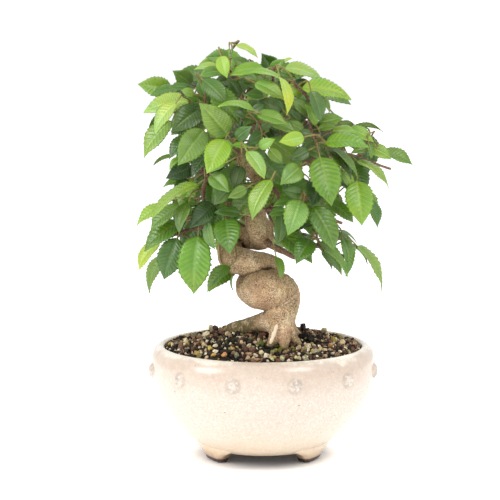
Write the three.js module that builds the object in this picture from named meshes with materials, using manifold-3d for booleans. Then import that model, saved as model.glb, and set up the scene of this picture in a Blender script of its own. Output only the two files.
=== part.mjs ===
// A small hornbeam grown as a bonsai: a coiled trunk and a crown of pleated leaves, in a round glazed drum pot filled with coarse grit.
// Millimetres, +Z up, the viewing side towards -Y. The lengths below are laid out about the pot's upright axis; FRAME_SHIFT then puts the frame's origin under the middle of the whole object.
import * as THREE from "three";
import { ConvexGeometry } from "three/addons/geometries/ConvexGeometry.js";
import { mergeVertices } from "three/addons/utils/BufferGeometryUtils.js";
import Module from "manifold-3d";

const wasm = await Module();
wasm.setup();
const { Manifold, Mesh } = wasm;

// ---- driving dimensions
const POT_SEGMENTS = 40;
const POT_RIM_Z = 71;
const POT_FLOOR_Z = 12.5;
const POT_UNDERSIDE_Z = 7.5;
const DRAIN_HOLE_RADIUS = 6.5;
const DRAIN_HOLE_X = 17;
const FOOT_COUNT = 3;
const FOOT_START_ANGLE = 90;
const STUD_COUNT = 12;
const STUD_RADIUS = 3.9;
const STUD_HEIGHT = 2.2;
const STUD_Z = 57.5;
const STUD_RING_RADIUS = 70.9;
const GAP = 0.3;
const CLEARANCE = 0.45;
const MERGE = 0.07;
const WOOD_MERGE = 0.15;
const SHOOT_MERGE = 0.13;
const MESH_SIZE = 19;
const MESH_OPENINGS = 4;
const MESH_BAR = 0.9;
const CLIP_WIRE = 0.6;
const LEAF_ARCH = 0.09;
const LEAF_FOLD = 0.18;
const LEAF_HALF_THICKNESS = 0.45;
const STALK_RADIUS = 0.4;
const FRAME_SHIFT = [-6.515, -0.95, 0];

// Outer and inner walls of the pot as radius, height.
const POT_OUTSIDE = [[0, 7.5], [37.9, 7.5], [44.7, 12], [54.8, 21], [63.6, 31.4], [69.2, 42], [71.3, 51], [71.7, 59], [70.9, 64.6], [69, 68.4], [66.6, 70.5], [65, 71]];
const POT_INSIDE = [[63.3, 71], [62.4, 70.2], [62.4, 67.5], [65.6, 62], [66.2, 54], [64, 44], [58.2, 33.5], [49, 23.4], [39.5, 15], [35, 12.5], [0, 12.5]];
// A foot, from the ground up to where it dies into the wall: height, inner radius, outer radius, half its width in degrees.
const FOOT_LEVELS = [[0, 31, 36.9, 13], [0.8, 30.6, 37.7, 14], [3, 30.2, 38.6, 16], [5.2, 29.8, 39.9, 20], [7.2, 29.6, 41.3, 26], [9.2, 29.6, 42.3, 31], [11, 29.6, 42.9, 34]];
// Surface of the grit as radius, height.
const GRIT_TOP = [[61.9, 69.4], [55, 71.6], [45, 74], [35, 76], [20, 78], [0, 79]];

// Wood centre lines as [x, y, z, radius]; a leaf is blade base, blade tip, blade normal, blade width, youth.
const TRUNK = [[10.97,-25.0,63.93,8.2],[10.96,-24.97,68.93,7.8],[10.94,-25.05,73.94,7.4],[10.93,-25.0,78.94,7.0],[10.94,-24.45,83.87,7.69],[10.92,-23.88,88.92,8.6],[10.91,-22.87,93.87,10.09],[11.12,-19.44,97.81,11.22],[10.93,-16.93,101.57,12.1],[9.23,-19.12,105.87,12.67],[5.33,-21.92,108.33,12.88],[0.29,-21.95,108.45,12.58],[-3.36,-18.7,108.25,11.84],[-5.5,-13.74,108.37,11.11],[-6.53,-8.82,109.02,10.55],[-6.5,-4.04,110.08,10.02],[-5.34,1.1,111.3,9.53],[-3.0,5.85,112.76,9.19],[0.45,6.69,115.16,8.65],[3.56,3.31,117.92,7.97],[4.33,-1.39,119.67,7.82],[3.34,-6.22,120.91,7.76],[1.2,-10.58,122.12,7.97],[-2.13,-14.31,123.3,8.16],[-6.5,-16.73,124.32,8.34],[-11.36,-16.51,125.05,8.46],[-15.83,-13.83,125.59,8.55],[-18.87,-9.85,126.25,8.56],[-20.3,-5.26,127.26,8.48],[-20.79,-0.21,128.77,8.4],[-20.75,4.97,130.84,8.15],[-19.38,9.08,133.23,7.89],[-15.65,10.82,135.57,7.72],[-10.74,10.0,137.26,7.6],[-6.72,7.19,137.85,7.69],[-3.7,3.0,138.04,7.78],[-1.4,-1.9,138.82,7.72],[-0.59,-6.31,140.96,7.62],[-2.1,-8.82,144.95,7.42],[-3.93,-8.41,149.62,7.09],[-4.45,-5.64,153.87,6.61],[-3.98,-2.54,157.8,5.78],[-3.18,-0.68,162.25,4.95],[-1.85,0.67,167.12,4.27],[-1.33,2.04,171.75,3.79],[-3.97,2.76,175.73,3.63],[-7.9,3.06,179.34,3.46],[-11.28,3.12,183.01,3.28],[-14.13,2.66,187.09,3.12],[-15.84,1.9,191.72,2.98],[-15.53,1.32,196.7,2.87],[-13.65,0.83,201.45,2.75],[-11.2,0.32,205.82,2.59],[-9.7,-0.2,210.45,2.42],[-9.88,-0.7,215.5,2.22],[-11.39,-1.18,220.34,2.04],[-13.66,-1.68,224.77,1.89],[-16.0,-2.26,229.14,1.74],[-18.04,-2.8,233.67,1.6],[-19.79,-3.01,238.4,1.44],[-21.01,-2.94,243.3,1.21],[-21.01,-3.23,248.21,1.0],[-19.94,-4.0,253.09,0.8]];
const SURFACE_ROOT = [[7.86,-23.0,88.64,7.4],[4.39,-19.37,88.29,6.76],[0.97,-15.78,87.67,6.12],[-2.35,-12.26,86.49,5.65],[-5.61,-8.83,84.88,5.35],[-8.98,-5.46,83.31,5.04],[-12.56,-2.15,82.18,4.76],[-16.17,1.13,81.06,4.47],[-19.52,4.39,79.31,4.1],[-22.79,7.4,76.98,3.69],[-26.3,9.89,74.44,3.16],[-30.03,12.0,71.84,2.6]];
const BRANCHES = {
  branch_right_low: [[-0.72,-8.0,140.46,2.4],[3.64,-14.0,136.21,2.2],[9.29,-19.44,133.63,2.0],[16.56,-23.46,130.38,1.8],[23.66,-25.62,130.72,1.6],[30.2,-27.34,136.2,1.4],[38.33,-30.06,135.39,1.2],[45.96,-32.16,132.14,1.0],[49.57,-33.0,130.29,0.9]],
  branch_left_mid: [[-4.45,-4.0,159.51,1.9],[-9.65,-10.15,161.13,1.75],[-16.38,-14.49,161.46,1.59],[-23.32,-18.62,160.43,1.44],[-29.7,-23.35,158.64,1.28],[-36.36,-27.44,156.45,1.13],[-43.43,-30.61,154.03,0.98],[-47.05,-32.0,152.79,0.9]],
  branch_front_low: [[-1.93,0.0,168.6,1.6],[2.09,-7.41,171.11,1.44],[6.45,-14.67,170.73,1.29],[9.26,-21.62,166.33,1.13],[6.84,-28.01,161.39,0.98],[3.94,-31.0,160.01,0.9]],
  branch_right_mid: [[-1.93,1.0,171.04,2.2],[4.44,-1.7,175.23,2.06],[11.02,-4.18,179.19,1.93],[17.97,-6.31,182.75,1.79],[25.17,-8.31,185.81,1.65],[32.51,-10.4,188.35,1.52],[40.1,-12.57,190.43,1.38],[47.91,-14.69,191.66,1.25],[55.62,-16.53,190.83,1.11],[63.11,-18.17,188.13,0.97],[70.55,-20.01,185.52,0.84],[77.99,-22.0,183.14,0.7]],
  branch_right_high: [[-10.07,0.0,207.36,1.8],[-2.83,-3.58,208.79,1.63],[4.6,-6.58,210.43,1.47],[12.13,-8.93,212.62,1.3],[19.17,-11.64,215.94,1.13],[25.07,-14.31,220.92,0.97],[29.73,-16.0,227.45,0.8]],
  branch_left_high: [[-14.45,1.0,198.59,1.8],[-20.58,-2.41,202.93,1.65],[-26.91,-5.64,207.15,1.49],[-33.6,-8.6,211.0,1.34],[-40.8,-11.3,213.95,1.18],[-48.45,-13.63,216.06,1.03],[-56.3,-15.31,217.97,0.88],[-60.26,-16.0,218.92,0.8]],
  branch_left_upper: [[-15.09,2.0,189.79,1.7],[-21.08,-3.66,187.9,1.52],[-26.91,-9.34,185.27,1.34],[-32.03,-15.0,181.32,1.16],[-35.09,-20.56,175.88,0.98],[-36.25,-26.0,169.36,0.8]],
  branch_left_low: [[-5.07,-4.0,155.12,1.8],[-12.68,-7.22,155.12,1.67],[-19.91,-10.49,153.11,1.53],[-27.17,-13.07,150.1,1.4],[-34.8,-14.86,147.59,1.27],[-42.62,-16.7,145.79,1.13],[-50.37,-18.73,143.9,1.0],[-57.92,-20.9,141.44,0.87],[-61.66,-22.0,140.1,0.8]],
  branch_front_high: [[-10.07,0.0,211.09,1.6],[-9.01,-8.4,213.3,1.44],[-7.74,-16.83,213.92,1.28],[-6.26,-25.29,212.58,1.12],[-4.8,-33.68,210.69,0.96],[-3.43,-42.0,208.85,0.8]],
  branch_back_left_low: [[-4.0,6.0,150.0,2.2],[-8.87,12.86,149.74,2.0],[-13.78,19.7,149.97,1.8],[-18.87,26.45,150.97,1.6],[-24.48,32.63,151.91,1.4],[-31.01,37.75,151.79,1.2],[-38.26,42.01,150.7,1.0],[-42.0,44.0,150.0,0.9]],
  branch_back_right_low: [[4.0,8.0,156.0,2.2],[10.19,13.29,153.93,2.01],[16.46,18.67,152.29,1.83],[22.86,24.17,151.39,1.64],[29.55,29.29,150.73,1.46],[36.67,33.29,149.37,1.27],[44.22,35.99,146.96,1.09],[52.0,38.0,144.0,0.9]],
  branch_back_mid: [[0.0,4.0,166.0,2.0],[2.08,12.04,167.27,1.82],[4.06,20.24,168.01,1.63],[5.66,28.68,167.76,1.45],[6.08,36.95,166.29,1.27],[4.64,44.66,163.53,1.08],[2.0,52.0,160.0,0.9]],
  branch_back_left_high: [[-14.0,2.0,190.0,1.9],[-17.73,9.15,192.92,1.72],[-21.97,15.96,195.98,1.53],[-27.13,22.13,199.15,1.35],[-33.29,27.49,201.79,1.17],[-40.39,31.99,203.27,0.98],[-48.0,36.0,204.0,0.8]],
  branch_back_right_high: [[-10.0,2.0,205.0,1.9],[-4.19,7.98,206.45,1.74],[1.78,13.9,207.67,1.59],[8.09,19.67,208.41,1.43],[14.84,24.91,208.47,1.27],[22.13,29.02,207.68,1.11],[29.93,31.85,206.06,0.96],[38.0,34.0,204.0,0.8]],
  branch_back_top: [[-12.0,0.0,218.0,1.5],[-10.37,7.45,222.42,1.3],[-7.68,14.65,226.32,1.1],[-3.32,21.44,229.4,0.9],[2.0,28.0,232.0,0.7]],
};
const SHOOTS = [
  {
    name: "shoot_back_high",
    from: "branch_back_top",
    twigs: [
      { line: [[4.03,30.42,232.94,1.12],[1.56,36.02,228.11,0.77]] },
      { line: [[1.56,36.02,228.11,0.77],[2.84,42.83,221.54,0.49],[5.44,46.48,218.5,0.49],[8.91,48.92,216.37,0.49],[14.19,49.6,213.7,0.49]], leaf: [13.72,53.36,209.05,11.7,69.65,188.88,-0.136,0.764,0.631,15.19,0.52] },
      { line: [[1.56,36.02,228.11,0.77],[-7.8,38.05,227.01,0.49]], leaf: [-8.54,42.9,223.56,-11.79,64.26,208.34,-0.078,0.57,0.818,15.0,0.34] },
      { line: [[1.56,36.02,228.11,0.77],[2.33,44.5,230.68,0.49],[1.32,47.84,235.19,0.49],[-0.75,47.3,241.04,0.49],[-6.96,43.02,249.42,0.49]], leaf: [-9.86,43.66,244.21,-22.12,46.4,222.11,-0.663,0.603,0.443,14.32,0.43] },
      { line: [[1.56,36.02,228.11,0.77],[3.0,38.94,219.17,0.49],[7.97,43.88,213.65,0.49]], leaf: [3.79,47.31,211.03,-15.22,62.87,199.12,0.08,0.665,0.742,15.65,0.18] },
      { line: [[4.03,30.42,232.94,1.12],[6.17,29.04,234.21,0.94]] },
      { line: [[6.17,29.04,234.21,0.94],[13.11,39.72,239.7,0.49]], leaf: [16.55,43.45,236.49,32.36,60.59,221.77,0.228,0.505,0.832,14.44,0.61] },
      { line: [[6.17,29.04,234.21,0.94],[8.14,27.14,235.31,0.89]] },
      { line: [[8.14,27.14,235.31,0.89],[10.09,25.31,234.69,0.69]] },
      { line: [[10.09,25.31,234.69,0.69],[10.96,17.07,230.85,0.49]], leaf: [11.86,21.11,226.51,15.62,38.2,208.16,0.197,0.697,0.689,13.26,0.43] },
      { line: [[10.09,25.31,234.69,0.69],[16.94,22.46,227.07,0.49]], leaf: [17.96,28.61,226.97,22.76,53.26,229.22,0.048,-0.1,0.994,14.68,0.31] },
      { line: [[10.09,25.31,234.69,0.69],[16.9,19.02,234.56,0.49],[24.0,10.99,231.53,0.49],[25.85,6.96,230.01,0.49],[26.12,0.79,229.51,0.49]], leaf: [31.65,-1.08,228.13,54.03,-8.67,222.53,0.042,-0.51,0.859,14.75,0.27] },
      { line: [[8.14,27.14,235.31,0.89],[9.62,25.32,237.62,0.69]] },
      { line: [[9.62,25.32,237.62,0.69],[10.75,22.95,242.75,0.49],[11.28,21.9,249.35,0.49]], leaf: [11.32,27.64,247.61,11.51,58.24,238.34,0.263,0.278,0.924,17.85,0.38] },
      { line: [[9.62,25.32,237.62,0.69],[11.76,22.6,242.77,0.49],[12.22,20.08,249.46,0.49]], leaf: [8.73,23.71,246.2,-10.42,43.63,228.33,-0.21,0.533,0.819,18.26,0.0] },
      { line: [[9.62,25.32,237.62,0.69],[12.79,17.0,238.95,0.49],[13.01,4.43,238.02,0.49]], leaf: [8.67,-0.52,239.12,-10.76,-12.85,237.84,0.397,-0.689,0.607,13.9,0.3] },
      { line: [[2.0,28.0,232.0,1.17],[4.03,30.42,232.94,1.12]] },
    ],
    stalked: [],
  },
  {
    name: "shoot_back_left_high",
    from: "branch_back_left_high",
    twigs: [
      { line: [[-51.02,37.54,204.24,0.69],[-45.07,39.14,204.16,0.61]] },
      { line: [[-45.07,39.14,204.16,0.61],[-35.29,44.67,211.33,0.49]], leaf: [-39.6,45.94,207.35,-57.32,51.19,190.96,-0.481,0.538,0.692,14.3,0.76] },
      { line: [[-45.07,39.14,204.16,0.61],[-43.16,39.49,204.28,0.49]], leaf: [-45.14,42.04,199.22,-53.57,52.84,177.71,-0.652,0.543,0.528,13.26,0.35] },
      { line: [[-51.02,37.54,204.24,0.69],[-53.11,38.3,216.99,0.49],[-53.82,37.15,222.81,0.49],[-54.55,32.8,227.25,0.49],[-52.99,24.91,229.65,0.49]], leaf: [-58.52,22.83,230.69,-78.94,15.17,234.54,0.363,-0.929,0.075,12.74,0.5] },
      { line: [[-48.0,36.0,204.0,0.73],[-51.02,37.54,204.24,0.69]] },
    ],
    stalked: [],
  },
  {
    name: "shoot_back_left_low_1",
    from: "branch_back_left_low",
    twigs: [
      { line: [[-26.7,29.49,151.87,0.99],[-25.18,34.78,147.15,0.49],[-21.15,39.37,143.72,0.49]], leaf: [-21.68,43.02,138.98,-24.14,59.73,117.29,-0.413,0.698,0.584,15.78,0.71] },
      { line: [[-26.7,29.49,151.87,0.99],[-28.52,28.95,153.06,0.94]] },
      { line: [[-28.52,28.95,153.06,0.94],[-32.18,25.34,155.19,0.77]] },
      { line: [[-32.18,25.34,155.19,0.77],[-34.08,23.84,156.43,0.69]] },
      { line: [[-34.08,23.84,156.43,0.69],[-38.03,24.62,167.07,0.49],[-45.71,23.69,175.9,0.49]], leaf: [-47.5,21.97,170.43,-55.88,13.91,144.82,-0.91,0.374,0.18,16.84,0.5] },
      { line: [[-34.08,23.84,156.43,0.69],[-39.89,21.21,156.84,0.49]], leaf: [-42.17,26.76,157.14,-51.62,49.83,158.41,-0.644,-0.302,0.703,14.61,0.27] },
      { line: [[-34.08,23.84,156.43,0.69],[-37.17,18.44,158.23,0.49]], leaf: [-41.09,16.06,154.36,-58.15,5.72,137.49,-0.744,0.492,0.451,15.22,0.45] },
      { line: [[-32.18,25.34,155.19,0.77],[-32.36,9.54,155.13,0.49]], leaf: [-36.11,9.21,150.46,-52.25,7.8,130.36,-0.258,-0.927,0.272,15.74,0.15] },
      { line: [[-28.52,28.95,153.06,0.94],[-29.97,30.08,154.27,0.69]] },
      { line: [[-29.97,30.08,154.27,0.69],[-30.66,31.13,156.6,0.61]] },
      { line: [[-30.66,31.13,156.6,0.61],[-30.61,31.49,167.03,0.49],[-27.81,35.3,175.39,0.49]], leaf: [-31.7,38.44,172.08,-49.32,52.64,157.07,-0.092,0.667,0.739,14.74,0.38] },
      { line: [[-30.66,31.13,156.6,0.61],[-32.27,36.92,163.28,0.49]], leaf: [-34.49,39.72,158.46,-43.75,51.38,138.36,-0.225,0.794,0.564,14.76,0.47] },
      { line: [[-29.97,30.08,154.27,0.69],[-40.99,32.93,147.89,0.49],[-61.12,33.08,129.13,0.49]], leaf: [-63.58,32.75,123.66,-74.75,31.25,98.87,-0.777,-0.502,0.38,15.35,0.3] },
      { line: [[-23.04,31.2,151.74,1.04],[-26.7,29.49,151.87,0.99]] },
    ],
    stalked: [],
  },
  {
    name: "shoot_back_left_low_2",
    from: "branch_back_left_low",
    twigs: [
      { line: [[-18.19,23.56,146.69,0.94],[-19.26,21.5,147.32,0.61]] },
      { line: [[-19.26,21.5,147.32,0.61],[-16.36,14.63,155.03,0.49],[-15.81,12.09,161.05,0.49]], leaf: [-15.1,17.9,159.75,-11.74,45.59,153.52,-0.445,0.247,0.861,17.11,0.59] },
      { line: [[-19.26,21.5,147.32,0.61],[-26.76,17.03,145.06,0.49],[-32.99,15.94,141.65,0.49]], leaf: [-34.51,20.33,137.85,-41.84,41.52,119.45,-0.926,0.008,0.378,17.05,0.25] },
      { line: [[-18.19,23.56,146.69,0.94],[-11.48,25.61,143.01,0.83]] },
      { line: [[-11.48,25.61,143.01,0.83],[-9.82,27.25,141.86,0.77]] },
      { line: [[-9.82,27.25,141.86,0.77],[-3.08,28.95,138.07,0.49],[3.05,30.68,136.99,0.49]], leaf: [4.37,36.14,134.89,10.92,63.22,124.48,0.582,0.165,0.796,15.73,0.4] },
      { line: [[-9.82,27.25,141.86,0.77],[-8.49,29.35,143.15,0.49]], leaf: [-11.18,32.37,138.71,-21.75,44.26,121.27,-0.455,0.583,0.673,12.52,0.65] },
      { line: [[-9.82,27.25,141.86,0.77],[-7.28,29.6,140.22,0.49]], leaf: [-8.9,35.37,140.5,-17.53,66.15,141.95,-0.169,-0.094,0.981,17.99,0.47] },
      { line: [[-9.82,27.25,141.86,0.77],[-10.47,33.53,134.05,0.49]], leaf: [-15.68,30.65,134.82,-39.36,17.59,138.33,0.382,-0.48,0.79,15.14,0.36] },
      { line: [[-11.48,25.61,143.01,0.83],[-9.5,20.82,137.01,0.49],[-9.53,19.19,132.98,0.49],[-14.9,16.76,122.19,0.49]], leaf: [-18.72,13.71,118.71,-34.3,1.27,104.53,-0.106,-0.687,0.719,14.21,0.36] },
      { line: [[-16.06,22.81,150.36,0.99],[-18.19,23.56,146.69,0.94]] },
    ],
    stalked: [],
  },
  {
    name: "shoot_back_left_mid",
    from: "branch_back_left_high",
    twigs: [
      { line: [[-21.14,20.04,199.5,1.03],[-20.46,22.27,200.39,0.99]] },
      { line: [[-20.46,22.27,200.39,0.99],[-31.11,31.05,200.22,0.49]], leaf: [-35.35,31.56,196.01,-55.6,33.99,175.91,-0.511,0.625,0.59,15.31,0.63] },
      { line: [[-20.46,22.27,200.39,0.99],[-19.44,24.49,201.21,0.94]] },
      { line: [[-19.44,24.49,201.21,0.94],[-19.55,26.3,203.87,0.61]] },
      { line: [[-19.55,26.3,203.87,0.61],[-19.76,29.62,211.39,0.49]], leaf: [-19.15,32.81,206.35,-16.7,45.75,185.95,-0.461,0.774,0.435,13.5,0.6] },
      { line: [[-19.55,26.3,203.87,0.61],[-21.53,33.1,209.13,0.49]], leaf: [-24.06,36.57,204.95,-35.26,51.91,186.42,-0.298,0.639,0.709,14.27,0.11] },
      { line: [[-19.44,24.49,201.21,0.94],[-18.03,26.73,200.27,0.77]] },
      { line: [[-18.03,26.73,200.27,0.77],[-21.99,33.45,196.67,0.49]], leaf: [-27.63,34.89,195.2,-52.2,41.14,188.78,-0.071,0.565,0.822,13.91,0.21] },
      { line: [[-18.03,26.73,200.27,0.77],[-14.32,30.73,198.03,0.69]] },
      { line: [[-14.32,30.73,198.03,0.69],[-19.31,36.38,189.21,0.49],[-28.26,42.7,182.2,0.49]], leaf: [-29.15,46.0,177.27,-33.37,61.49,154.06,-0.324,0.758,0.565,16.03,0.0] },
      { line: [[-14.32,30.73,198.03,0.69],[-8.05,36.42,197.93,0.61]] },
      { line: [[-8.05,36.42,197.93,0.61],[-1.28,39.6,201.7,0.49]], leaf: [-2.18,43.38,197.13,-6.18,60.21,176.76,-0.296,0.707,0.642,15.03,0.68] },
      { line: [[-8.05,36.42,197.93,0.61],[-7.52,49.2,200.49,0.49]], leaf: [-9.72,53.01,195.91,-14.8,65.93,166.33,-0.604,0.687,0.404,18.68,0.66] },
      { line: [[-19.44,24.49,201.21,0.94],[-16.96,32.88,209.94,0.49]], leaf: [-11.15,32.13,208.65,15.34,28.74,202.8,-0.007,-0.879,0.476,15.95,0.09] },
      { line: [[-23.34,17.8,196.89,1.09],[-21.14,20.04,199.5,1.03]] },
    ],
    stalked: [],
  },
  {
    name: "shoot_back_low",
    from: "branch_back_mid",
    twigs: [
      { line: [[0.85,54.95,158.52,0.77],[-0.17,53.28,159.05,0.77]] },
      { line: [[-0.17,53.28,159.05,0.77],[3.66,48.95,165.78,0.49]], leaf: [9.18,51.23,165.17,37.65,63.0,162.0,-0.253,0.769,0.588,18.27,0.07] },
      { line: [[-0.17,53.28,159.05,0.77],[-1.98,51.87,158.52,0.69]] },
      { line: [[-1.98,51.87,158.52,0.69],[-3.43,49.89,144.36,0.49]], leaf: [0.67,53.64,142.1,20.79,72.08,131.02,-0.135,0.614,0.777,17.26,0.27] },
      { line: [[-1.98,51.87,158.52,0.69],[-9.43,46.37,162.97,0.49]], leaf: [-11.85,50.65,159.53,-21.69,68.1,145.49,-0.263,0.511,0.819,13.35,0.59] },
      { line: [[2.0,52.0,160.0,0.8],[0.85,54.95,158.52,0.77]] },
    ],
    stalked: [],
  },
  {
    name: "shoot_back_mid_1",
    from: "branch_back_mid",
    twigs: [
      { line: [[2.9,39.61,167.66,0.69],[-3.22,39.33,170.34,0.49],[-9.99,43.09,171.85,0.49]], leaf: [-8.41,48.51,169.8,-1.45,72.3,160.79,-0.221,0.401,0.889,15.01,0.12] },
      { line: [[2.9,39.61,167.66,0.69],[1.5,42.36,177.03,0.49],[6.23,48.42,187.27,0.49]], leaf: [7.48,52.94,183.53,13.95,76.21,164.24,-0.022,0.642,0.767,17.59,0.09] },
      { line: [[2.9,39.61,167.66,0.69],[3.85,40.26,163.57,0.49],[6.42,42.82,162.22,0.49]], leaf: [6.69,48.95,159.31,9.57,66.73,142.05,-0.141,0.701,0.699,13.65,0.43] },
      { line: [[5.99,38.09,165.97,0.73],[2.9,39.61,167.66,0.69]] },
    ],
    stalked: [],
  },
  {
    name: "shoot_back_mid_2",
    from: "branch_back_mid",
    twigs: [
      { line: [[3.67,24.25,171.81,0.69],[-19.69,24.41,178.77,0.49]], leaf: [-18.31,29.4,175.75,-12.56,50.06,163.25,-0.47,0.549,0.691,14.83,0.26] },
      { line: [[3.67,24.25,171.81,0.69],[6.7,23.44,170.01,0.49],[7.7,23.12,166.58,0.49],[4.95,23.23,158.0,0.49]], leaf: [7.33,26.35,153.47,17.34,39.46,134.47,-0.084,0.84,0.536,13.37,0.53] },
      { line: [[3.67,24.25,171.81,0.69],[3.94,25.07,181.08,0.49],[8.3,26.09,189.66,0.49]], leaf: [10.75,28.59,184.79,23.85,41.98,158.71,0.056,0.876,0.478,17.54,0.27] },
      { line: [[4.58,22.64,168.05,0.73],[3.67,24.25,171.81,0.69]] },
    ],
    stalked: [],
  },
  {
    name: "shoot_back_right_low",
    from: "branch_back_right_low",
    twigs: [
      { line: [[33.1,27.95,148.22,0.83],[36.71,28.28,152.69,0.61]] },
      { line: [[36.71,28.28,152.69,0.61],[46.99,30.56,162.87,0.49],[54.92,30.46,169.48,0.49]], leaf: [58.23,33.97,165.91,75.02,51.79,147.79,0.247,0.566,0.786,16.08,0.41] },
      { line: [[36.71,28.28,152.69,0.61],[43.4,29.86,164.96,0.49],[45.56,27.85,168.73,0.49],[47.92,22.21,173.63,0.49]], leaf: [51.39,26.96,174.83,68.44,50.34,180.77,-0.123,-0.159,0.98,15.72,0.49] },
      { line: [[33.1,27.95,148.22,0.83],[33.36,23.37,147.79,0.69]] },
      { line: [[33.36,23.37,147.79,0.69],[43.01,13.07,142.58,0.49],[49.13,7.89,136.95,0.49],[55.65,4.68,130.83,0.49]], leaf: [54.87,10.6,131.46,51.41,37.0,134.27,0.828,0.049,0.558,14.16,0.86] },
      { line: [[33.36,23.37,147.79,0.69],[31.42,17.03,147.23,0.49],[30.99,9.03,146.01,0.49],[30.55,-0.09,138.27,0.49]], leaf: [36.48,-1.01,138.06,56.69,-4.17,137.34,-0.034,-0.424,0.905,12.5,0.29] },
      { line: [[33.36,23.37,147.79,0.69],[32.85,16.89,145.29,0.49],[32.12,10.3,140.16,0.49]], leaf: [34.86,9.23,134.93,43.98,5.66,117.53,0.731,-0.483,0.482,11.94,0.14] },
      { line: [[30.54,29.95,150.6,0.87],[33.1,27.95,148.22,0.83]] },
    ],
    stalked: [],
  },
  {
    name: "shoot_back_right_mid_1",
    from: "branch_back_right_low",
    twigs: [
      { line: [[21.02,24.25,147.62,1.08],[13.72,21.53,158.57,0.49]], leaf: [10.61,26.24,156.53,-1.99,45.36,148.24,-0.456,0.084,0.886,13.18,0.41] },
      { line: [[21.02,24.25,147.62,1.08],[21.9,26.31,145.44,0.61]] },
      { line: [[21.9,26.31,145.44,0.61],[24.38,31.37,138.91,0.49],[24.49,36.49,132.25,0.49]], leaf: [24.3,41.96,129.78,23.39,68.45,117.84,0.306,0.4,0.864,16.77,0.24] },
      { line: [[21.9,26.31,145.44,0.61],[22.38,32.99,139.3,0.49]], leaf: [23.27,38.64,137.49,27.87,67.91,128.12,0.497,0.193,0.846,17.62,0.09] },
      { line: [[21.02,24.25,147.62,1.08],[21.65,34.62,155.98,0.89]] },
      { line: [[21.65,34.62,155.98,0.89],[23.8,41.92,156.97,0.49]], leaf: [29.67,43.22,157.32,53.61,48.45,157.04,-0.127,0.624,0.771,13.08,0.43] },
      { line: [[21.65,34.62,155.98,0.89],[28.89,34.13,165.03,0.49],[35.23,38.98,173.84,0.49]], leaf: [37.4,43.75,170.93,47.4,65.64,157.56,0.092,0.488,0.868,15.1,0.23] },
      { line: [[21.65,34.62,155.98,0.89],[21.98,39.87,160.33,0.49]], leaf: [26.22,40.34,155.62,36.43,37.73,134.64,0.781,0.54,0.313,12.5,0.47] },
      { line: [[21.65,34.62,155.98,0.89],[20.44,36.71,157.9,0.61]] },
      { line: [[20.44,36.71,157.9,0.61],[16.49,40.96,159.98,0.49]], leaf: [18.29,45.76,156.86,26.35,67.34,142.8,0.603,0.265,0.753,15.36,0.27] },
      { line: [[21.65,34.62,155.98,0.89],[14.67,42.4,151.89,0.49]], leaf: [11.39,44.56,156.43,-3.59,54.43,177.12,0.063,-0.882,0.466,15.48,0.47] },
      { line: [[21.01,22.6,151.58,1.13],[21.02,24.25,147.62,1.08]] },
    ],
    stalked: [],
  },
  {
    name: "shoot_back_right_mid_2",
    from: "branch_back_right_high",
    twigs: [
      { line: [[27.92,32.36,209.78,1.12],[28.93,31.04,210.53,0.77]] },
      { line: [[28.93,31.04,210.53,0.77],[33.04,19.01,210.55,0.49]], leaf: [35.75,21.41,205.77,50.28,34.18,180.21,0.503,0.624,0.598,18.11,0.59] },
      { line: [[28.93,31.04,210.53,0.77],[32.61,23.03,212.77,0.49],[40.23,13.67,211.49,0.49]], leaf: [45.36,15.26,208.81,65.31,21.46,198.35,0.365,0.308,0.879,13.95,0.19] },
      { line: [[28.93,31.04,210.53,0.77],[35.43,32.75,214.6,0.49]], leaf: [39.61,35.0,210.94,61.64,46.89,191.69,0.394,0.509,0.765,18.38,0.4] },
      { line: [[28.93,31.04,210.53,0.77],[29.07,23.0,210.67,0.49],[29.73,14.9,208.66,0.49]], leaf: [33.39,10.22,207.8,47.97,-8.41,204.39,0.305,0.065,0.95,13.46,0.23] },
      { line: [[27.92,32.36,209.78,1.12],[26.94,34.18,211.43,0.61]] },
      { line: [[26.94,34.18,211.43,0.61],[27.05,41.18,218.88,0.49]], leaf: [27.17,47.53,219.24,24.17,72.57,212.78,0.386,0.273,0.881,15.39,0.56] },
      { line: [[26.94,34.18,211.43,0.61],[20.98,37.9,215.26,0.49],[12.85,38.34,216.94,0.49]], leaf: [14.05,42.57,212.86,19.29,61.05,195.04,-0.07,0.702,0.708,14.15,0.42] },
      { line: [[27.92,32.36,209.78,1.12],[28.88,40.47,207.42,0.83]] },
      { line: [[28.88,40.47,207.42,0.83],[13.99,43.15,193.56,0.49]], leaf: [16.24,48.55,192.25,24.98,69.58,187.15,0.203,0.151,0.968,12.14,0.26] },
      { line: [[28.88,40.47,207.42,0.83],[21.74,50.55,216.99,0.49]], leaf: [21.33,54.99,213.17,18.56,78.14,190.77,0.289,0.683,0.671,18.51,0.38] },
      { line: [[28.88,40.47,207.42,0.83],[30.55,42.4,206.85,0.69]] },
      { line: [[30.55,42.4,206.85,0.69],[35.95,46.08,195.01,0.49],[46.33,49.1,183.86,0.49]], leaf: [45.88,53.01,179.33,43.57,73.42,155.65,0.009,0.758,0.652,18.6,0.35] },
      { line: [[30.55,42.4,206.85,0.69],[32.43,44.47,207.08,0.61]] },
      { line: [[32.43,44.47,207.08,0.61],[41.62,48.35,210.02,0.49]], leaf: [36.05,47.29,211.98,7.75,41.89,221.93,0.244,0.373,0.895,18.25,0.42] },
      { line: [[32.43,44.47,207.08,0.61],[33.69,46.77,206.8,0.49]], leaf: [35.79,50.43,202.53,47.6,71.07,178.45,0.12,0.724,0.679,19.51,0.32] },
      { line: [[26.54,30.76,206.83,1.17],[27.92,32.36,209.78,1.12]] },
    ],
    stalked: [],
  },
  {
    name: "shoot_front_high_1",
    from: "branch_front_high",
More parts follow.
